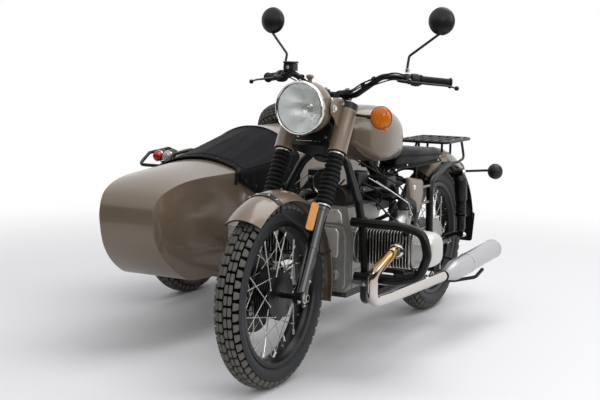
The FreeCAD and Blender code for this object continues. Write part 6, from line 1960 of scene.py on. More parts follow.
    def covers(self) -> None:
        """Rounded rocker covers with a parting line, two ribs and the middle bolt."""
        piece = Sculpt("rocker_covers_cast", Coat.BLASTED)
        y, z = self.middle_y, self.middle_z
        low, out = 366.3, self.cover_out
        rows = ((low, 67), (low + 3, 69.5), (low + 9, 69.5), (low + 10, 67.6), (low + 13, 67.6),
                (low + 30, 67), (low + 52, 64.5), (low + 68, 59.5), (low + 79, 51.5),
                (low + 86, 41), (out, 26))
        for side in (-1, 1):
            piece.use(Coat.BLASTED).skin([[Vector((side * x, y + half * c, z + half * s))
                                           for c, s in squircle(64, 0.52)] for x, half in rows])
            for dz in (-30, 0, 30):
                rib = [(side * (low + 12), y - 68.6, z + dz), (side * (low + 50), y - 65.6, z + dz),
                       (side * (low + 66), y - 61, z + dz), (side * (low + 76), y - 53, z + dz)]
                piece.tube(spline(rib, 4), 2.6, sides=10)
            piece.use(Coat.BOLT).lathe([(0, 13), (1.5, 13), (2, 9), (8, 8.6), (10, 6), (11, 0)],
                                       (side * (out - 11), y, z), (side, 0, 0), 24)
            for dy, dz in ((-56, -56), (-56, 56), (56, -56), (56, 56)):
                piece.bolt((side * (low + 10), y + dy, z + dz), (side, 0, 0), 4.6, 5)
        piece.build("outfit", "cover_alloy", ("rocker_covers",), smooth=40)

    def carburettors(self) -> None:
        """Constant-velocity carburettors, their rubbers and the air box."""
        piece = Sculpt("carburettors_detailed", Coat.CAST)
        y = self.middle_y + 106
        for side in (-1, 1):
            x = side * self.carb_x
            piece.use(Coat.BLASTED).tube([(x, y - 50, 549), (x, y - 26, 566), (x, y, 578)],
                                         [21, 18, 18], sides=24)
            piece.lathe([(0, 27), (6, 27), (7, 22)], (x, y - 52, 546), (0, 0.6, 0.8), 24)
            piece.use(Coat.CAST).lathe([(528, 0), (528, 20), (532, 25), (560, 27), (561, 29),
                                        (567, 29), (568, 26), (592, 26), (600, 28)], (x, y, 0), UP,
                                       32)
            piece.use(Coat.ABS).lathe([(600, 28), (601, 32), (607, 32), (608, 29), (628, 25),
                                       (640, 16), (646, 8), (646, 0)], (x, y, 0), UP, 36)
            piece.use(Coat.BOLT)
            for turn in (45, 135, 225, 315):
                spot = (*polar(29, math.radians(turn), (x, y)), 607)
                piece.bolt(spot, UP, 3, 3)
                low = (*polar(25, math.radians(turn), (x, y)), 567)
                piece.bolt(low, UP, 2.6, 3)
            piece.lathe([(0, 12), (3, 12), (3, 5), (9, 5), (9, 0)], (x + side * 26, y, 582),
                        (side, 0, 0), 20)
            arm = [(x + side * 34, y, 582), (x + side * 34, y - 22, 604),
                   (x + side * 30, y - 30, 630)]
            piece.tube(arm, 2.6, 10, sides=10)
            piece.use(Coat.RUBBER)
            profile = [(0, 23)]
            for fold in range(6):
                profile += [(8 + fold * 9, 22), (12.5 + fold * 9, 26)]
            profile += [(64, 22), (74, 22)]
            piece.lathe(profile, (x, y + 24, 580), (-side * 0.12, 0.98, 0.12), 30)
            piece.tube([(x - side * 9, y + 96, 590), (x - side * 26, y + 136, 606),
                        (side * 120, y + 176, 622), (side * 60, y + 196, 628)], 21, 44, sides=24)
        piece.use(Coat.ABS)
        rounded_box(piece, (-72, y + 162, 558), (72, y + 296, 662), 14)
        rounded_box(piece, (-75, y + 166, 640), (75, y + 292, 650), 12)
        piece.build("outfit", "cast_alloy", ("carburettors",), smooth=40)

    def clutter(self) -> None:
        """Coils, relays, hoses and throttle rods between the engine and the tank."""
        piece = Sculpt("engine_bay_fittings", Coat.ABS)
        rounded_box(piece, (60, 470, 690), (112, 560, 744), 8)
        rounded_box(piece, (-112, 470, 690), (-60, 560, 744), 8)
        rounded_box(piece, (70, 600, 676), (176, 690, 716), 9)
        rounded_box(piece, (-176, 600, 676), (-70, 690, 716), 9)
        piece.use(Coat.BOLT)
        for x in (78, 94):
            for side in (-1, 1):
                piece.lathe([(0, 5), (12, 5), (13, 3), (18, 3), (18, 0)], (side * x, 470, 716),
                            AHEAD, 14)
        for side in (-1, 1):
            piece.use(Coat.TUBE).slab(rectangle((side * 116, 470, 664), (side * 120, 700, 664)),
                                      (0, 0, 26), 1)
            piece.slab(rectangle((side * 100, 574, 640), (side * 212, 674, 640)), (0, 0, 4), 1)
            piece.use(Coat.BOLT).bolt((side * 121, 500, 676), (side, 0, 0), 4.6, 4)
            piece.bolt((side * 121, 660, 676), (side, 0, 0), 4.6, 4)
            piece.lathe([(0, 9), (14, 9), (15, 6), (26, 6), (27, 0)], (side * 92, 690, 774), DOWN,
                        18)
            piece.tube([(side * 292, 546, 630), (side * 214, 560, 668), (side * 132, 520, 720)],
                       2.4, 20, sides=8)
            piece.tube([(side * 224, 660, 574), (side * 212, 640, 640), (side * 146, 560, 706)],
                       2.2, 20, sides=8)
            piece.use(Coat.RUBBER)
            for keys, wide in ((((92, 690, 748), (128, 676, 716), (196, 640, 668), (236, 606, 612),
                                 (244, 590, 590)), 4.2),
                               (((262, 576, 644), (256, 548, 690), (196, 500, 738), (96, 452, 800)),
                                3),
                               (((60, 660, 560), (124, 640, 606), (150, 600, 646), (152, 540, 676),
                                 (112, 506, 700)), 5),
                               (((124, 612, 540), (168, 632, 566), (176, 690, 600), (140, 760, 626),
                                 (76, 790, 634)), 8.5),
                               (((96, 720, 500), (150, 742, 540), (168, 800, 600), (146, 880, 660)),
                                4)):
                piece.tube(spline([(side * x, y, z) for x, y, z in keys], 7), wide, sides=12)
        piece.use(Coat.CHROME)
        for side in (-1, 1):
            for y, z in ((628, 563), (700, 606)):
                piece.collar((0, 7), (9.6, 10.8), (side * (166 if y < 650 else 172), y, z),
                             (0.1, 0.8, 0.5), 20)
        piece.build("outfit", "frame_black", smooth=40)

    def make(self) -> None:
        """Builds the engine."""
        self.front_cover()
        self.case_trim()
        self.barrels()
        self.covers()
        self.carburettors()
        self.clutter()


@dataclass
class Exhaust:
    """Heat-tinted header pipes, low chromed runs and satin silencers."""

    radius: float = 21.0
    drum: float = 43.0
    port: tuple[float, float, float] = (316, 390, 470)
    mouth: tuple[float, float, float] = (322, 880, 292)
    heading: tuple[float, float, float] = (4, 520, 22)
    length: float = 616.0

    def half(self, piece: Sculpt) -> None:
        """One side's header, clamps and silencer.

        Args:
            piece: the piece that gets them.
        """
        x, y, z = self.port
        start, along = Vector(self.mouth), Vector(self.heading).normalized()
        route = [(x, y, z), (x, y - 48, z), (272, 272, 392), (262, 290, 282), (272, 450, 276),
                 tuple(start + along * 16)]
        piece.use(Coat.HEADER).tube(bent(route, 62, 12), self.radius, sides=36)
        piece.use(Coat.CHROME).lathe([(-2, 22), (-2, 27), (2, 29), (8, 29), (11, 25), (12, 21.4)],
                                     (x, y - 2, z), AHEAD, 36)
        wide = self.drum
        piece.use(Coat.SATIN)
        body = [(-6, self.radius + 2.6), (8, self.radius + 2.6), (10, self.radius + 1.6),
                (28, self.radius + 4), (60, 31), (90, 39), (110, wide - 0.6), (116, wide),
                (390, wide)]
        piece.lathe(body, start, along, 56)
        piece.lathe([(390, wide), (self.length - 28, wide)], start, along, 56)
        piece.lathe([(self.length - 28, wide), (self.length - 24, wide + 0.5),
                     (self.length - 16, wide - 1), (self.length - 8, wide - 4.5),
                     (self.length - 2, wide - 11), (self.length, wide - 19), (self.length, 15),
                     (self.length - 24, 14)], start, along, 56)
        piece.use(Coat.BARREL).lathe([(self.length - 24, 14), (self.length - 24, 0)], start, along,
                                     24)
        piece.use(Coat.CHROME)
        for place_at, grow in ((250, 1.6), (self.length - 30, 0.9)):
            piece.collar((place_at, place_at + 9), (wide - 0.5, wide + grow), start, along, 56)
        low = start + along * 254.5 - Vector((0, 0, wide + 4))
        piece.tube([low + Vector((-9, 0, 0)), low + Vector((9, 0, 0))], 3.4, sides=12)
        clamp = Vector((298, 735, 286))
        run = Vector((50, 552, 16)).normalized()
        piece.lathe([(0, self.radius), (0, self.radius + 3), (3, self.radius + 4),
                     (22, self.radius + 4), (25, self.radius + 3), (25, self.radius)],
                    clamp - run * 12, run, 36)
        piece.use(Coat.BOLT).bolt(clamp + Vector((0, 0, self.radius + 3)), UP, 4.6, 5)
        piece.plug((-9, 9), 6, clamp + Vector((0, 0, self.radius + 6)), ACROSS, 14)
        piece.use(Coat.TUBE).tube([(166.3, 1128, 330), (300, 1128, 312)], 7, sides=14)
        piece.bolt((300, 1128, 312 + 1), (0.3, 0, 1), 6, 5)

    def make(self) -> None:
        """Builds both sides."""
        piece = Sculpt("exhaust_system", Coat.HEADER)
        self.half(piece)
        piece.mirror()
        piece.build("outfit", "chrome_pipe", ("exhaust",), smooth=40)


# ------------------------------------------------------------------ tank, saddle and rear

def oval(centre: Point, half: float, low: float, high: float, under: float, upper: float,
         count: int = 12) -> Ring:
    """An upright section with round shoulders.

    Args:
        centre: its place along the bike, as a point with x and y.
        half: half its width.
        low: its lowest height.
        high: its highest height.
        under: the radius of its lower corners.
        upper: the radius of its upper corners.
        count: places along each corner.

    Returns:
        The section's places, from the left shoulder round.
    """
    ring = []
    for side, edge, radius, start in ((1, high, upper, 0), (-1, high, upper, 90),
                                      (-1, low, under, 180), (1, low, under, 270)):
        z = edge - radius if edge == high else edge + radius
        for step in range(count + 1):
            angle = math.radians(start + 90 * step / count)
            ring.append(Vector((centre[0] + side * (half - radius) + radius * math.cos(angle),
                                centre[1], z + radius * math.sin(angle))))
    return ring


# the side of the cloth mesh in metres
CLOTH_MESH = 0.006


def inflate(held: bpy.types.Object, pressure: float, cap: float) -> None:
    """Blows a closed form up as a sewn cover over foam, by cloth simulation, and keeps the result.

    Args:
        held: the closed form; its mesh is replaced.
        pressure: the air pressure that stands for the foam.
        cap: the most that a point may move, in metres.
    """
    scene = bpy.context.scene
    fine = held.modifiers.new("remesh", "REMESH")
    fine.mode, fine.voxel_size = "VOXEL", CLOTH_MESH
    graph = bpy.context.evaluated_depsgraph_get()
    coats = list(held.data.materials)
    held.data = bpy.data.meshes.new_from_object(held.evaluated_get(graph))
    held.modifiers.clear()
    before = [vertex.co.copy() for vertex in held.data.vertices]
    cloth = held.modifiers.new("cloth", "CLOTH")
    cloth.settings.use_pressure = True
    cloth.settings.uniform_pressure_force = pressure
    cloth.settings.effector_weights.gravity = 0.0
    cloth.point_cache.frame_start, cloth.point_cache.frame_end = 1, 20
    for number in range(1, 21):
        scene.frame_set(number)
    graph = bpy.context.evaluated_depsgraph_get()
    held.data = bpy.data.meshes.new_from_object(held.evaluated_get(graph))
    held.modifiers.clear()
    scene.frame_set(1)
    for vertex, start in zip(held.data.vertices, before):
        shift = vertex.co - start
        if shift.length > cap:
            vertex.co = start + shift.normalized() * cap
    held.data.materials.clear()
    for coat in coats:
        held.data.materials.append(coat)
    held.data.polygons.foreach_set("use_smooth", [True] * len(held.data.polygons))
    soft = held.modifiers.new("fine", "SUBSURF")
    soft.levels = soft.render_levels = 1


@dataclass
class Tank:
    """Teardrop fuel tank, its welded seam and filler cap."""

    rows: tuple[tuple[float, ...], ...] = ((512, 72, 848, 938), (570, 134, 790, 980),
                                           (670, 158, 772, 996), (820, 142, 770, 970),
                                           (905, 104, 768, 905), (948, 76, 772, 850))
    steps: int = 9

    def section(self, row: Sequence[float], shrink: float = 0.0, push: float = 0.0) -> Ring:
        """One section of the tank.

        Args:
            row: its place along the bike, half width, lowest and highest height.
            shrink: how far it draws in.
            push: how far it moves along the bike.

        Returns:
            Its places.
        """
        y, half, low, high = row
        upper, under = min((high - low) * 0.46, half * 0.86), min((high - low) * 0.26, half * 0.5)
        return oval((0, y + push), half - shrink, low + shrink, high - shrink,
                    max(under - shrink, 2), max(upper - shrink, 2))

    def make(self) -> None:
        """Builds the tank."""
        piece = Sculpt("teardrop_tank", Coat.BODY)
        line = spline([Vector(row) for row in self.rows], self.steps)
        rings = [self.section(line[0], shrink, push)
                 for shrink, push in ((30, -7), (14, -5.5), (5, -2.6))]
        rings += [self.section(row) for row in line]
        rings += [self.section(line[-1], shrink, push)
                  for shrink, push in ((5, 2.6), (14, 5), (28, 6))]
        piece.skin(rings)
        for side in (-1, 1):
            seam = []
            for y, half, low, high in line[3:-2]:
                under = min((high - low) * 0.26, half * 0.5)
                seam.append((side * (half - under * 0.62), y, low + under * 0.12))
            piece.tube(seam, 3.2, sides=10)
        top = 991.0
        piece.use(Coat.CHROME).lathe([(-6, 34), (0, 34), (2, 31), (4, 30), (13, 30), (17, 27),
                                      (19, 18), (20, 0)], (0, 610, top - 6), (0, -0.04, 1), 48)
        for lug in range(8):
            turn = 2 * math.pi * lug / 8
            piece.ball((*polar(30, turn, (0, 610)), top + 3), 3.6, (1, 1, 1.4), 10)
        piece.build("outfit", "body_paint", ("fuel_tank",), smooth=50)


@dataclass
class Saddle:
    """Bench saddle: foam under an embossed vinyl cover, with piping along its sides and a base."""

    rows: tuple[tuple[float, ...], ...] = ((893, 78, 726, 772), (906, 90, 722, 800),
                                           (960, 106, 722, 803), (1060, 130, 722, 796),
                                           (1180, 133, 722, 787), (1282, 131, 722, 779),
                                           (1326, 112, 724, 771), (1340, 98, 728, 757))
    swell: float = 0.006

    def rail(self, side: int, rise: float, grow: float) -> Ring:
        """A line along one side of the cushion.

        Args:
            side: 1 on the left, -1 on the right.
            rise: its height as a share of the cushion's.
            grow: how far it stands out.

        Returns:
            Its places.
        """
        return spline([(side * (half + grow), y, low + (high - low) * rise)
                       for y, half, low, high in self.rows], 5)

    def make(self) -> None:
        """Builds the cushion, its piping, base and studs."""
        cushion = Sculpt("saddle_cushion", Coat.VINYL)
        rings = []
        for y, half, low, high in spline([Vector(row) for row in self.rows], 5):
            rings.append(oval((0, y), half, low + 4, high, 12, 24, 8))
        cushion.skin(rings)
        held = cushion.build("outfit", "seat_vinyl", ("seat",), smooth=60)
        inflate(held, 4, self.swell)
        trim = Sculpt("saddle_trim", Coat.BINDING)
        for rise, grow, wide in ((0.62, 4.6, 3), (0.06, 2, 3.4)):
            left, right = self.rail(1, rise, grow), self.rail(-1, rise, grow)
            trim.tube(left + right[::-1] + left[:1], wide, sides=8)
        trim.use(Coat.ABS)
        base = [(side * (half - 8), y, 718)
                for side, rows in ((1, self.rows), (-1, self.rows[::-1])) for y, half, _, _ in rows]
        trim.slab(base, (0, 0, 12), 3)
        trim.use(Coat.CHROME)
        for side in (-1, 1):
            for y in (960, 1250):
                half = blend_rows(self.rows, y)[0]
                trim.lathe([(0, 5), (1.5, 4.6), (2.4, 0)], (side * (half + 3), y, 732),
                           (side, 0, 0), 12)
        trim.build("outfit", "seat_vinyl")


@dataclass
class Rear:
    """Rear mudguard, its lamps, side panels, shocks, saddle-bag rail and footrest rubbers."""

    guard: Mudguard = field(default_factory=lambda: Mudguard(
        "rear_mudguard", (0, REAR_Y, AXLE_Z), 98, 424, 72, 8, 126))
    panel: tuple[tuple[float, float], ...] = ((886, 690), (1052, 664), (1058, 600), (1020, 528),
                                              (985, 524), (925, 580))
    shock_top: tuple[float, float] = (1446, 664)
    shock_foot: tuple[float, float] = (1476, 370)
    shock_x: float = 170.0
    coils: int = 8
    split: float = 36.0

    def fender(self) -> None:
        """The deep mudguard: painted crown, black moulded tail, a rubber flap and bolts."""
        piece = Sculpt(self.guard.name, Coat.BODY)
        painted, tail = replace(self.guard, start=self.split), replace(self.guard, end=self.split)
        painted.sheet(piece)
        painted.crease(piece.use(Coat.BODY))
        tail.sheet(piece.use(Coat.NYLON))
        foot = self.guard.at(0, self.guard.start)
        top, low = foot.z + 14, foot.z - 132
        flap = rounded([(x, foot.y - 4, z) for x, z in ((-84, top), (84, top), (72, low),
                                                        (-72, low))], 14)
        piece.use(Coat.RUBBER).slab(flap, (0, 4, 0), 1)
        piece.use(Coat.BOLT)
        for side in (-1, 1):
            for turn in (60, 96, 116):
                spot = self.guard.at(side * 92, turn, 0)
                piece.lathe([(0, 6), (3, 5.4), (3.6, 0)], spot, (side, 0, 0), 14)
        piece.build("outfit", "body_paint", ("rear_fender",), smooth=40)

    def panels(self) -> None:
        """Pressed side panels with a raised middle, a lock and their tabs."""
        piece = Sculpt("side_panels_pressed", Coat.BODY)
        shape = [Vector((132, y, z)) for y, z in self.panel]
        middle = sum(shape, Vector()) / len(shape)
        outline = rounded(shape, 20)
        rings = []
        for x, shrink in ((132, 1), (141, 1), (145, 0.985), (147.4, 0.95), (147, 0.84), (149, 0.80),
                          (149.6, 0.72)):
            rings.append([Vector((x, middle.y + (p.y - middle.y) * shrink,
                                  middle.z + (p.z - middle.z) * shrink)) for p in outline])
        piece.skin(rings)
        for z in (560, 630):
            piece.tube([(140, 1040, z), (144, 1130, z)], 6, sides=12)
        piece.use(Coat.CHROME).lathe([(0, 11), (2, 10), (3, 5), (3, 0)], (149, 950, 640), ACROSS,
                                     24)
        piece.mirror()
        piece.build("outfit", "body_paint", ("side_panels",), smooth=40)

    def shocks(self) -> None:
        """Spring units: black shroud, chromed damper, a wound coil and rubber-bushed eyes."""
        piece = Sculpt("rear_spring_units", Coat.TUBE)
        for side in (-1, 1):
            low = Vector((side * self.shock_x, *self.shock_foot))
            high = Vector((side * self.shock_x, *self.shock_top))
            along = (high - low).normalized()
            length = (high - low).length
            right, up = frame_of(along)
            piece.use(Coat.TUBE).lathe([(length - 132, 25), (length - 132, 28.6),
                                        (length - 128, 29), (length - 40, 29), (length - 30, 27),
                                        (length - 18, 16), (length - 14, 12)], low, along, 36)
            piece.lathe([(14, 12), (20, 17), (26, 21), (84, 21), (86, 27), (92, 27), (94, 16)], low,
                        along, 36)
            piece.use(Coat.CHROME).lathe([(90, 11), (length - 120, 11)], low, along, 24)
            piece.use(Coat.TUBE)
            first, last = 96.0, length - 126
            turns = self.coils * 18
            coil = []
            for step in range(turns + 1):
                c, s = polar(20.5, 2 * math.pi * step / 18)
                coil.append(low + along * (first + (last - first) * step / turns) + right * c
                            + up * s)
            piece.tube(coil, 4.2, sides=8)
            for eye in (low, high):
                piece.use(Coat.TUBE).collar((-12, 12), (9, 15), eye, ACROSS, 28)
                piece.use(Coat.RUBBER).collar((-13, 13), (8.2, 12), eye, ACROSS, 24)
                piece.use(Coat.CHROME).lathe([(13.5, 11), (17, 11), (20, 9), (24, 6), (25, 0)], eye,
                                             (side, 0, 0), 24)
        piece.build("outfit", "frame_black", ("rear_shocks",), smooth=40)

    def lamps(self) -> None:
        """Tail lamp in its dark housing, and the round rear indicator on its stalk."""
        piece = Sculpt("rear_lamp_set", Coat.NYLON)
        angle = math.radians(40)
        y = REAR_Y + self.guard.crown * math.cos(angle)
        z = AXLE_Z + self.guard.crown * math.sin(angle)
        axis = (0, 1, 0.12)
        tail = (0, y - 14, z + 12)
        piece.lathe([(4, 0), (4, 34), (10, 42), (18, 44), (44, 44), (48, 42)], tail, axis, 48)
        piece.use(Coat.CHROME).lathe([(44, 40), (44, 44.4), (49, 44.4), (50, 40)], tail, axis, 48,
                                     looped=True)
        piece.use(Coat.RED).lathe([(48, 41), (54, 39), (59, 32), (61, 18), (61.6, 0)], tail, axis,
                                  40)
        piece.use(Coat.TUBE).tube([(30, y + 22, z + 10), (215, 1712, 650)], 6, sides=16)
        piece.use(Coat.NYLON)
        eye = (247, 1704, 647)
        piece.lathe([(-22, 0), (-21.5, 10), (-18, 20), (-10, 30.5), (0, 36.6), (6, 37.4),
                     (8, 36.6)], eye, BACK, 44)
        piece.use(Coat.AMBER).lathe([(7, 36.6), (12, 35.6), (17, 30), (20.6, 20), (22, 0)], eye,
                                    BACK, 20)
        piece.build("outfit", "red_lens", ("rear_lamps",), smooth=30)

    def fittings(self) -> None:
        """Ribbed rubbers on the pegs and levers, bolts on the rack, the swing arm and the drive."""
        piece = Sculpt("rear_fittings", Coat.RUBBER)
        for side in (-1, 1):
            piece.use(Coat.RUBBER)
            profile = [(0, 17)]
            for rib in range(9):
                profile += [(4 + rib * 10.5, 19), (9 + rib * 10.5, 19), (10 + rib * 10.5, 17.2)]
            profile += [(102, 20.5), (107, 19), (108, 0)]
            piece.lathe(profile, (side * 188, 848, 330), (side, 0, 0), 24)
            piece.lathe([(0, 9), (1, 11.5), (42, 11.5), (45, 9), (45, 0)], (side * 190, 660, 332),
                        (side, 0, 0), 20)
            piece.use(Coat.BOLT).bolt((side * 105.5, REAR_Y, AXLE_Z), (side, 0, 0), 15, 11)
            piece.bolt((side * 135, 930, 345), (side, 0, 0), 10, 8)
            for yy in (1490, 1600):
                piece.bolt((side * 112, yy, 803), UP, 4.6, 4)
            piece.use(Coat.TUBE).tube([(side * 116, 1416, 700), (side * 128, 1520, 700),
                                       (side * 128, 1600, 712), (side * 112, 1604, 790)], 6, 30,
                                      sides=14)
        for step in range(10):
            turn = 2 * math.pi * step / 10
            spot = Vector((-114, *polar(62, turn, (REAR_Y, AXLE_Z))))
            piece.use(Coat.BOLT).bolt(spot + Vector(ACROSS), (-1, 0, 0), 4.4, 4)
        piece.use(Coat.CAST).lathe([(0, 74.6), (4, 75), (16, 75), (20, 72), (24, 52), (28, 30),
                                    (34, 26), (34, 0)], (-92, REAR_Y, AXLE_Z), (-1, 0, 0), 48)
        piece.build("outfit", "frame_black", smooth=40)

    def make(self) -> None:
        """Builds the rear."""
        self.fender()
        self.panels()
        self.shocks()
        self.lamps()
        self.fittings()


# ------------------------------------------------------------------ sidecar

@dataclass
class Tub:
    """Pressed steel body: rolled nose, arched deck, flat flanks and sloped luggage end."""

    plan: tuple[tuple[float, float], ...] = ((94, 127), (130, 137), (200, 149), (300, 161),
                                             (656, 204), (1080, 246), (1700, 246), (2060, 220))
    bow: tuple[tuple[float, float], ...] = ((94, 555), (97, 505), (109, 458), (134, 410),
                                            (178, 358), (240, 310), (312, 274), (400, 268),
                                            (645, 268))
    brow: tuple[tuple[float, float], ...] = ((94, 555), (99, 587), (113, 613), (142, 641),
                                             (190, 666), (262, 689), (360, 707), (500, 722),
                                             (645, 736))
    floor: float = 268.0
    rim: float = RIM_Z
    cowl_y: float = COWL_Y
    deck_arch: float = 44.0
    end_half: float = WALL_HALF
    wall_y: float = WALL_Y
    top: float = TUB_TOP
    shoulder: float = SHOULDER_Z
    break_y: float = BREAK_Y
    end_y: float = END_Y
    chamfer: float = 90.0
    mouth_half: float = 172.0
    mouth_low: float = 2016.7
    mouth_high: float = 1657.3

    def half(self, y: float) -> float:
        """Half the tub's width at a place along it."""
        return blend_rows(self.plan, y)[0]

    def across(self, y: float) -> list[float]:
        """Places across the tub, with one on each edge of the mouth."""
        wide, inner = self.half(y), min(self.mouth_half, self.half(y) * 0.86)
        half = [inner * i / 14 for i in range(15)] + [inner + (wide - inner) * i / 6
                                                      for i in range(1, 7)]
        return [-x for x in half[:0:-1]] + half

    def nose(self) -> list[tuple[float, float, float, float]]:
        """The nose's outline from the tip back: the upper place's y and z, then the lower's."""
        upper = spline([(y, z, 0) for y, z in self.bow[5:0:-1] + self.brow], 4)
        lower = spline([(y, z, 0) for y, z in self.brow[5:0:-1] + self.bow], 4)
        start = 5 * 4
        return [(up.x, up.y, down.x, down.y) for up, down in zip(upper[start:], lower[start:])]

    def deck(self, x: float, y: float, crest: float) -> float:
        """The height of the deck at a place: level across at the tip, arched at the cowl."""
        tip = self.brow[0][0]
        return crest - self.deck_arch * (y - tip) / (self.cowl_y - tip) * (x / self.half(y)) ** 2

    def crown(self, x: float, y: float) -> float:
        """The height of the luggage end at a place."""
        chord, rise = self.end_half, self.top - self.shoulder
        arc = (chord * chord + rise * rise) / (2 * rise)
        return min(self.top - arc + math.sqrt(max(arc * arc - x * x, 0)), self.slope(y))

    def slope(self, y: float) -> float:
        """The height of the sloped face at a place along the tub."""
        return self.top - max(y - self.break_y, 0) * math.tan(LID_SLOPE)

    def belly(self, y: float) -> float:
        """The height of the floor at a place along the tub."""
        return self.floor + max(y - self.end_y + self.chamfer, 0)

    def flank(self, piece: Sculpt, columns: Sequence[tuple[float, float, float, float]],
              bulge: float) -> None:
        """Adds both side walls.

        Args:
            piece: what they are added to.
            columns: for each column its upper y and z and its lower y and z.
            bulge: how far the wall swells between its edges.
        """
        for side in (-1, 1):
            rings = []
            for upper_y, upper_z, lower_y, lower_z in columns:
                ring = []
                for i in range(17):
                    t = i / 16
                    y, z = lower_y + (upper_y - lower_y) * t, lower_z + (upper_z - lower_z) * t
                    swell = bulge * math.sin(math.pi * t) * min(max((1010 - y) / 500, 0), 1)
                    swell *= min((upper_z - lower_z) / 260, 1)
                    ring.append(Vector((TUB_X + side * (self.half(y) + swell), y, z)))
                rings.append(ring)
            piece.skin(rings, closed=False, caps=False)

    def front(self, piece: Sculpt) -> None:
        """The nose, deck and floor of the front half with its flanks."""
        upper, lower, columns = [], [], []
        for y, z, low_y, low_z in self.nose():
            upper.append([Vector((TUB_X + x, y, self.deck(x, y, z))) for x in self.across(y)])
            lower.append([Vector((TUB_X + x, low_y, low_z)) for x in self.across(low_y)])
            columns.append((y, upper[-1][-1].z, low_y, low_z))
        piece.skin(upper, closed=False, caps=False)
        piece.skin(lower, closed=False, caps=False)
        for y in (646, 700, 780, 860, 940, 1010, 1074):
            columns.append((y, self.rim, y, self.floor))
        self.flank(piece, columns, 15)
        lip = upper[-1]
        piece.skin([lip, [p + Vector((0, 0, -7)) for p in lip]], closed=False, caps=False)
        floor = [[Vector((TUB_X + x, y, self.floor)) for x in self.across(y)]
                 for y in (self.cowl_y, 860, self.wall_y)]
        piece.skin(floor, closed=False, caps=False)

    def rear(self, piece: Sculpt) -> None:
        """The luggage end: arched top, sloped face round its mouth, back and front walls, floor."""
        ys = [self.wall_y, 1180, 1285, 1390, self.break_y, 1540, 1600, self.mouth_high, 1720, 1790,
              1860, 1930, self.mouth_low, self.end_y]
        rows = [[Vector((TUB_X + x, y, self.crown(x, y))) for x in self.across(y)] for y in ys]
        start, count = len(piece.points), len(rows[0])
        for row in rows:
            piece.points.extend(row)
        for j, (low, high) in enumerate(zip(ys, ys[1:])):
            for i in range(count - 1):
                middle = (rows[j][i].x + rows[j][i + 1].x) / 2 - TUB_X
                beside = abs(middle) < self.mouth_half
                if beside and low >= self.mouth_high - 1 and high <= self.mouth_low + 1:
                    continue
                here = start + j * count + i
                piece.face((here, here + 1, here + count + 1, here + count))
        columns = [(y, self.crown(self.half(y), y), y, self.belly(y))
                   for y in (self.wall_y, 1180, 1285, 1390, self.break_y, 1600, 1689, 1790, 1970,
                             self.end_y)]
        self.flank(piece, columns, 0)
        floor = [[Vector((TUB_X + x, y, self.belly(y))) for x in self.across(y)]
                 for y in (self.wall_y, 1500, 1970, self.end_y)]
        piece.skin(floor, closed=False, caps=False)
        piece.skin([[Vector((p.x, p.y, z)) for p in rows[-1]]
                    for z in (self.belly(self.end_y), 440, rows[-1][0].z)], closed=False,
                   caps=False)
        front = rows[0]
        piece.skin([front, [Vector((p.x, p.y, min(p.z, self.rim))) for p in front],
                    [Vector((p.x, p.y, self.floor)) for p in front]], closed=False, caps=False)

    def fittings(self) -> None:
        """Drain plugs, body bolts along the sill and the boss for the sidecar's spring unit."""
        piece = Sculpt("tub_fittings", Coat.RUBBER)
        for x in (-842, -618):
            piece.lathe([(0, 5.4), (1.6, 5), (2, 3), (1, 0)], (x, 272, 294.5), (0, -0.45, -0.89),
                        18)
        piece.use(Coat.BOLT)
        for side in (-1, 1):
            for y in (700, 1000, 1300, 1600):
                piece.bolt((TUB_X + side * (self.half(y) - 0.5), y, 290), (side, 0, 0), 5, 4)
        wall = TUB_X - self.end_half
        piece.use(Coat.TUBE).lathe([(-2, 24), (3, 24), (6, 20), (48, 20), (49, 0)],
                                   (wall, SIDE_Y + 40, AXLE_Z + 300), (-1, 0, 0), 32)
        piece.use(Coat.BOLT).lathe([(48, 8), (92, 8), (93, 0)], (wall, SIDE_Y + 40, AXLE_Z + 300),
                                   (-1, 0, 0), 20)
        piece.build("outfit", "body_paint")

    def make(self) -> None:
        """Builds the shell and its fittings."""
        piece = Sculpt("sidecar_shell", Coat.BODY)
        self.front(piece)
        self.rear(piece)
        piece.build("outfit", "body_paint", ("sidecar_tub",), bevel=3, smooth=34)
        self.fittings()


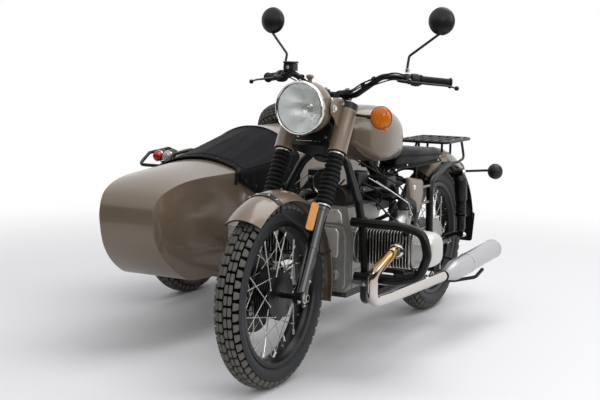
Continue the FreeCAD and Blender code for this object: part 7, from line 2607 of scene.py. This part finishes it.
@dataclass
class Chassis:
    """Tube ladder under the tub, its clamps and struts to the bike, and the fender's hoop."""

    rails: tuple[float, float] = (-565, -875)
    z: float = 247.7
    radius: float = 20.0
    front: float = 620.0
    rear: float = 1780.0
    hoop: tuple[tuple[float, float], ...] = ((1279, 668), (1135, 716), (975, 706), (893, 656))
    hoop_half: float = 68.0

    def ladder(self) -> None:
        """Rails, cross tubes, clamps to the bike's cradle and the two upper struts."""
        piece = Sculpt("sidecar_chassis", Coat.TUBE)
        inner, outer = self.rails
        z = self.z
        piece.tube([(inner, self.rear, z), (inner, self.front, z), (outer, self.front, z),
                    (outer, self.rear, z)], self.radius, 70, sides=24)
        for y in (1120, 1700):
            piece.tube([(inner, y, z), (outer, y, z)], self.radius * 0.9, sides=20)
        for y, end in ((470, self.front + 40), (1120, 1120)):
            piece.tube([(inner, end, z), (-168, y, 230)], 14, sides=20)
            piece.lathe([(-13, 16.2), (-13, 21), (-11, 23), (11, 23), (13, 21), (13, 16.2)],
                        (-154, y, 250), BACK, 28, looped=True)
        piece.tube([(inner + 6, self.front + 40, z + 6), (-420, 470, 480), (-158, 374, 690)], 12,
                   80, sides=18)
        piece.tube([(inner + 110, 1120, 243), (-147, 1143, 592)], 11, sides=18)
        piece.use(Coat.BOLT)
        for y in (470, 1120):
            piece.bolt((-154, y, 273), UP, 7, 7)
        for at, way in (((-163, 350, 668), AHEAD), ((-170, 1126, 570), AHEAD)):
            piece.use(Coat.TUBE).collar((-12, 12), (10, 18), Vector(at) + Vector((0, 20, 0)), UP,
                                        20)
            piece.use(Coat.BOLT).bolt(at, way, 7, 6)
        piece.use(Coat.RUBBER)
        for x in self.rails:
            piece.lathe([(0, 19.6), (2, 19.6), (4, 16), (4.6, 0)], (x, self.rear, z), BACK, 24)
        piece.build("outfit", "frame_black", ("sidecar_frame",), smooth=40)

    def guard(self) -> None:
        """The hoop round the marker lamp, with its feet bolted to the mudguard."""
        piece = Sculpt("marker_lamp_hoop", Coat.TUBE)
        left = [(SIDE_X - self.hoop_half, y, z) for y, z in self.hoop]
        right = [(SIDE_X + self.hoop_half, y, z) for y, z in self.hoop[::-1]]
        piece.tube(left + right, 8, 30, sides=18)
        for x in (SIDE_X - self.hoop_half, SIDE_X + self.hoop_half):
            piece.use(Coat.BOLT).bolt((x, self.hoop[0][0] - 6, self.hoop[0][1] + 4), UP, 5, 6)
        piece.build("outfit", "bar_black", ("fender_guard",))

    def make(self) -> None:
        """Builds the chassis and the hoop."""
        self.ladder()
        self.guard()


@dataclass
class Sidecar:
    """Trim of the tub and its luggage lid, the stretched cockpit cover, fender and marker lamp."""

    guard: Mudguard = field(default_factory=lambda: Mudguard(
        "sidecar_mudguard", (SIDE_X, SIDE_Y, AXLE_Z), 79.6, 372, 46, 20, 152))
    rim: float = RIM_Z
    cowl_y: float = COWL_Y
    wall_y: float = WALL_Y
    cowl_top: float = 742.5
    wall_top: float = 851.0
    wall_shoulder: float = SHOULDER_Z
    front_half: float = 203.0
    wall_half: float = WALL_HALF
    skirt: float = 150.0
    sag: float = 5.0
    overlap: float = 26.0
    clearance: float = 3.4
    turn_at: float = 0.80
    across: int = 72
    along: int = 46

    def cover_at(self, u: float, v: float, lift: float = 0.0) -> Vector:
        """A place on the stretched cover.

        Args:
            u: its place across as a share, from -1 at the right hem to 1 at the left hem.
            v: its place along as a share, from 0 at the cowl to 1 at the luggage wall.
            lift: its height off the cloth's outer face.

        Returns:
            The place in the bike's frame.
        """
        y = self.cowl_y - self.overlap + (self.wall_y - 1 - self.cowl_y + self.overlap) * v
        half = self.front_half + (self.wall_half - self.front_half) * min(v * 1.04, 1)
        half += self.clearance
        crown = self.cowl_top + (self.wall_top - self.cowl_top) * max(v, 0) ** 0.92
        crown -= self.sag * math.sin(math.pi * v)
        shoulder = self.rim + 15 + (self.wall_shoulder - self.rim - 13) * v
        if abs(u) <= self.turn_at:
            t = abs(u) / self.turn_at
            x = math.copysign((half - 6) * t, u)
            z = crown - (crown - shoulder) * t ** 2.1
        else:
            t = (abs(u) - self.turn_at) / (1 - self.turn_at)
            bottom = self.rim - self.skirt * min(1, 0.2 + 1.5 * max(v, 0))
            x = math.copysign(half - 6 + 7 * min(t * 6, 1), u)
            z = shoulder + (bottom - shoulder) * t
        return Vector((TUB_X + x, y, z + lift)) + self.crease(u, v)

    def crease(self, u: float, v: float) -> Vector:
        """Tension folds that run lengthwise from the corners, and ripples in the hanging hem."""
        fade = math.sin(math.pi * min(max(v, 0), 1)) ** 0.6
        folds = 0.0
        for centre, slope, wide, height in ((-0.58, 0.34, 0.05, 5), (-0.30, 0.22, 0.07, -4),
                                            (-0.06, 0.10, 0.05, 4), (0.22, -0.16, 0.06, -5),
                                            (0.42, -0.26, 0.045, 5.5), (0.62, -0.34, 0.05, -4.5),
                                            (0.70, -0.10, 0.04, 4)):
            reach = (u - centre - slope * (v - 0.5)) / wide
            folds += height * math.exp(-reach * reach)
        if abs(u) > 0.82:
            hem = 3.0 * math.sin(v * 31 + 2 * math.sin(v * 9)) * (abs(u) - 0.82) / 0.18
            return Vector((math.copysign(abs(hem), u), 0, 0))
        return Vector((0, 0, folds * fade))

    def cover(self) -> None:
        """The cloth cover with its bound hem, the snaps and the corner strap."""
        piece = Sculpt("tonneau_cloth", Coat.CANVAS)
        rows = []
        for i in range(self.along + 1):
            rows.append([self.cover_at(2 * j / self.across - 1, i / self.along)
                         for j in range(self.across + 1)])
        piece.skin(rows, closed=False, caps=False)
        held = piece.build("outfit", "cover_cloth", ("tonneau_cover",), thick=1.6, smooth=70)
        trim = Sculpt("tonneau_binding", Coat.BINDING)
        hem = [self.cover_at(1, i / 40) for i in range(41)]
        back = [self.cover_at(1 - i / 30, 1, 1) for i in range(1, 61)]
        other = [self.cover_at(-1, 1 - i / 40) for i in range(1, 41)]
        front = [self.cover_at(-1 + i / 30, 0, 1) for i in range(1, 61)]
        trim.tube(hem + back + other + front, 3.4, sides=8, flat=0.6)
        seam = [self.cover_at(-0.8 + 1.6 * i / 40, 0.10, 1.2) for i in range(41)]
        trim.tube(seam, 2, sides=8, flat=0.5)
        for u in (-0.80, 0.80):
            trim.tube([self.cover_at(u, i / 30, 1) for i in range(31)], 2, sides=8)
        trim.use(Coat.ABS)
        for side in (-1, 1):
            for i in range(6):
                v = 0.08 + 0.17 * i
                spot = self.cover_at(side * 0.95, v)
                trim.lathe([(0, 7), (1.6, 6.6), (3, 4.6), (3.4, 0)],
                           spot + Vector((side * 0.6, 0, 0)), (side, 0, 0), 18)
        for i in range(5):
            spot = self.cover_at(-0.64 + 0.32 * i, 0.045, 0.6)
            trim.lathe([(0, 7), (1.6, 6.6), (3, 4.6), (3.4, 0)], spot, (0, -0.1, 1), 18)
        trim.use(Coat.BINDING)
        for side in (-1, 1):
            strap = [self.cover_at(side * 0.74, 0.04, 1.5), self.cover_at(side * 0.80, -0.03, 0)
                     + Vector((side * 4, 0, -2)), Vector((TUB_X + side * 206, 600, 672)),
                     Vector((TUB_X + side * 203, 588, 640))]
            trim.tube(spline(strap, 5), 9, sides=10, flat=0.22)
        bound = trim.build("outfit", "cover_cloth")

    def lid_trim(self) -> None:
        """Edge seal, latch and handle on the luggage lid."""
        piece = Sculpt("lid_trim", Coat.RUBBER)
        edge = rounded([on_lid(x, a, 6) for x, a in ((-195, 2), (195, 2), (195, 503), (-195, 503))],
                       16)
        piece.tube(edge + edge[:1], 4, sides=8)
        piece.use(Coat.CHROME).tube([on_lid(-34, 478, 12), on_lid(-30, 478, 30),
                                     on_lid(30, 478, 30), on_lid(34, 478, 12)], 4, 9, sides=14)
        piece.lathe([(0, 11), (4, 10), (6, 6), (6, 0)], on_lid(72, 478, 12), LID_OFF, 24)
        for x in (-120, 120):
            piece.use(Coat.TUBE).slab([on_lid(x - 20, 4, 12), on_lid(x + 20, 4, 12),
                                       on_lid(x + 20, 60, 12), on_lid(x - 20, 60, 12)], LID_OFF * 3,
                                      1)
            piece.use(Coat.BOLT)
            for a in (20, 46):
                piece.bolt(on_lid(x, a, 15), LID_OFF, 5, 4)
        piece.build("luggage_lid", "body_paint")

    def fender(self) -> None:
        """The painted mudguard with its rib and stays."""
        piece = Sculpt(self.guard.name, Coat.BODY)
        self.guard.sheet(piece)
        self.guard.crease(piece.use(Coat.BODY))
        edge = self.guard.crown - self.guard.drop
        piece.use(Coat.TUBE)
        for back in (-200, 150):
            y, z = SIDE_Y + back, AXLE_Z + math.sqrt(edge * edge - back * back) + 6
            piece.tube([(SIDE_X + 76, y, z), (-969, y, z - 20)], 8.6, sides=18)
            rounded_box(piece, (-970.2, y - 26, z - 46), (-966.4, y + 26, z + 6), 1.6)
            piece.bolt((SIDE_X + 80, y, z + 8), UP, 5, 4)
        piece.build("outfit", "body_paint", ("sidecar_fender",), smooth=40)

    def lamp(self) -> None:
        """The double marker lamp inside the hoop: a red and a clear lens in one black base."""
        piece = Sculpt("sidecar_marker_lamp", Coat.NYLON)
        angle = math.radians(126)
        y = SIDE_Y + self.guard.crown * math.cos(angle)
        z = AXLE_Z + self.guard.crown * math.sin(angle)
        piece.lathe([(-20, 15), (20, 15), (26, 22)], (SIDE_X, y + 6, z), UP, 28)
        for side, coat in ((-1, Coat.RED), (1, Coat.CLEAR)):
            centre = (SIDE_X + side * 27, y - 30, z + 44)
            axis = (0, 1, 0.3)
            piece.use(Coat.NYLON).lathe([(30, 25), (34, 27), (50, 27), (70, 21), (80, 10), (82, 0)],
                                        centre, axis, 36)
            piece.use(Coat.CHROME).collar((28, 33), (22, 27.4), centre, axis, 36)
            piece.use(coat).lathe([(31, 26), (20, 25.5), (8, 22), (1, 14), (-2, 0)], centre, axis,
                                  20)
        piece.build("outfit", "red_lens", ("sidecar_lamps",), smooth=30)

    def arm_bolts(self) -> None:
        """Pivot and axle nuts of the sidecar's swing arm."""
        piece = Sculpt("sidecar_arm_fittings", Coat.BOLT)
        piece.bolt((SIDE_X + 139.4, SIDE_Y, AXLE_Z), ACROSS, 15, 10)
        piece.bolt((SIDE_X + 139.4, 900, 247.7), ACROSS, 13, 9)
        piece.build("outfit", "frame_black")

    def make(self) -> None:
        """Builds the sidecar's pieces."""
        self.cover()
        self.lid_trim()
        self.fender()
        self.lamp()
        self.arm_bolts()


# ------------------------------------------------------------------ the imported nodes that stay

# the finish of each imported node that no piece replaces
KEPT = {"fork_legs": Coat.SLIDER, "fork_gaiters": Coat.RUBBER, "fork_yokes": Coat.TUBE,
        "fork_shrouds": Coat.BODY, "headlamp_shell": Coat.BODY, "headlamp_glass": Coat.GLASS,
        "handlebar": Coat.TUBE, "hand_controls": Coat.ABS, "mirrors": Coat.NYLON,
        "front_fender": Coat.BODY, "front_indicators": Coat.AMBER, "brake_caliper": Coat.CAST,
        "main_frame": Coat.TUBE, "engine_guard": Coat.TUBE, "swingarm": Coat.TUBE,
        "rear_shocks": Coat.TUBE, "engine_block": Coat.CAST, "cylinders": Coat.BARREL,
        "rocker_covers": Coat.BLASTED, "carburettors": Coat.CAST, "exhaust": Coat.SATIN,
        "fuel_tank": Coat.BODY, "seat": Coat.VINYL, "luggage_rack": Coat.TUBE,
        "rear_fender": Coat.BODY, "side_panels": Coat.BODY, "rear_lamps": Coat.NYLON,
        "footrests": Coat.RUBBER, "centre_stand": Coat.TUBE, "sidecar_tub": Coat.BODY,
        "trunk_lid": Coat.BODY, "tonneau_cover": Coat.CANVAS, "sidecar_frame": Coat.TUBE,
        "sidecar_arm": Coat.TUBE, "sidecar_fender": Coat.BODY, "sidecar_lamps": Coat.RED,
        "fender_guard": Coat.TUBE}


# the eased edges of the kept nodes that are cast or pressed, in mm
EASED = {"sidecar_tub": 2.6, "trunk_lid": 2, "engine_block": 2.4, "fork_yokes": 1.4,
         "brake_caliper": 1.6, "swingarm": 0.8}


def dress_kept_nodes() -> None:
    """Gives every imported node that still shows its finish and, where it needs them, eased edges."""
    for name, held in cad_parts.items():
        if held.hide_render or name not in KEPT:
            continue
        held.data.materials.clear()
        held.data.materials.append(KEPT[name].get())
        held.data.polygons.foreach_set("use_smooth", [True] * len(held.data.polygons))
        held.data.set_sharp_from_angle(angle=math.radians(34))
        if name in EASED:
            edge = held.modifiers.new("edge", "BEVEL")
            edge.width, edge.segments, edge.angle_limit = EASED[name] * 0.001, 3, math.radians(40)
            edge.harden_normals = True
        LOG.info("%s dressed as %s", name, KEPT[name].value.name)


def main() -> None:
    """Builds the room and every sub-assembly in order."""
    logging.basicConfig(level=logging.INFO, format="%(message)s")
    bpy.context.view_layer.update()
    Studio().make()
    spare = on_lid(0, SPARE_ALONG, SPARE_RISE)
    for wheel in (Wheel("front", "front_wheel", (0, 0, AXLE_Z), disc=True),
                  Wheel("rear", "rear_wheel", (0, REAR_Y, AXLE_Z)),
                  Wheel("sidecar", "sidecar_wheel", (SIDE_X, SIDE_Y, AXLE_Z)),
                  Wheel("spare", "luggage_lid", tuple(spare), drum=False, lean=30, flat=True)):
        wheel.make()
    for assembly in (Fork(), Headlamp(), Bars(), FrontTrim(), EngineGuard(), Engine(), Exhaust(),
                     Tank(), Saddle(), Rear(), Tub(), Chassis(), Sidecar()):
        assembly.make()
    dress_kept_nodes()


if __name__ == "__main__":
    main()
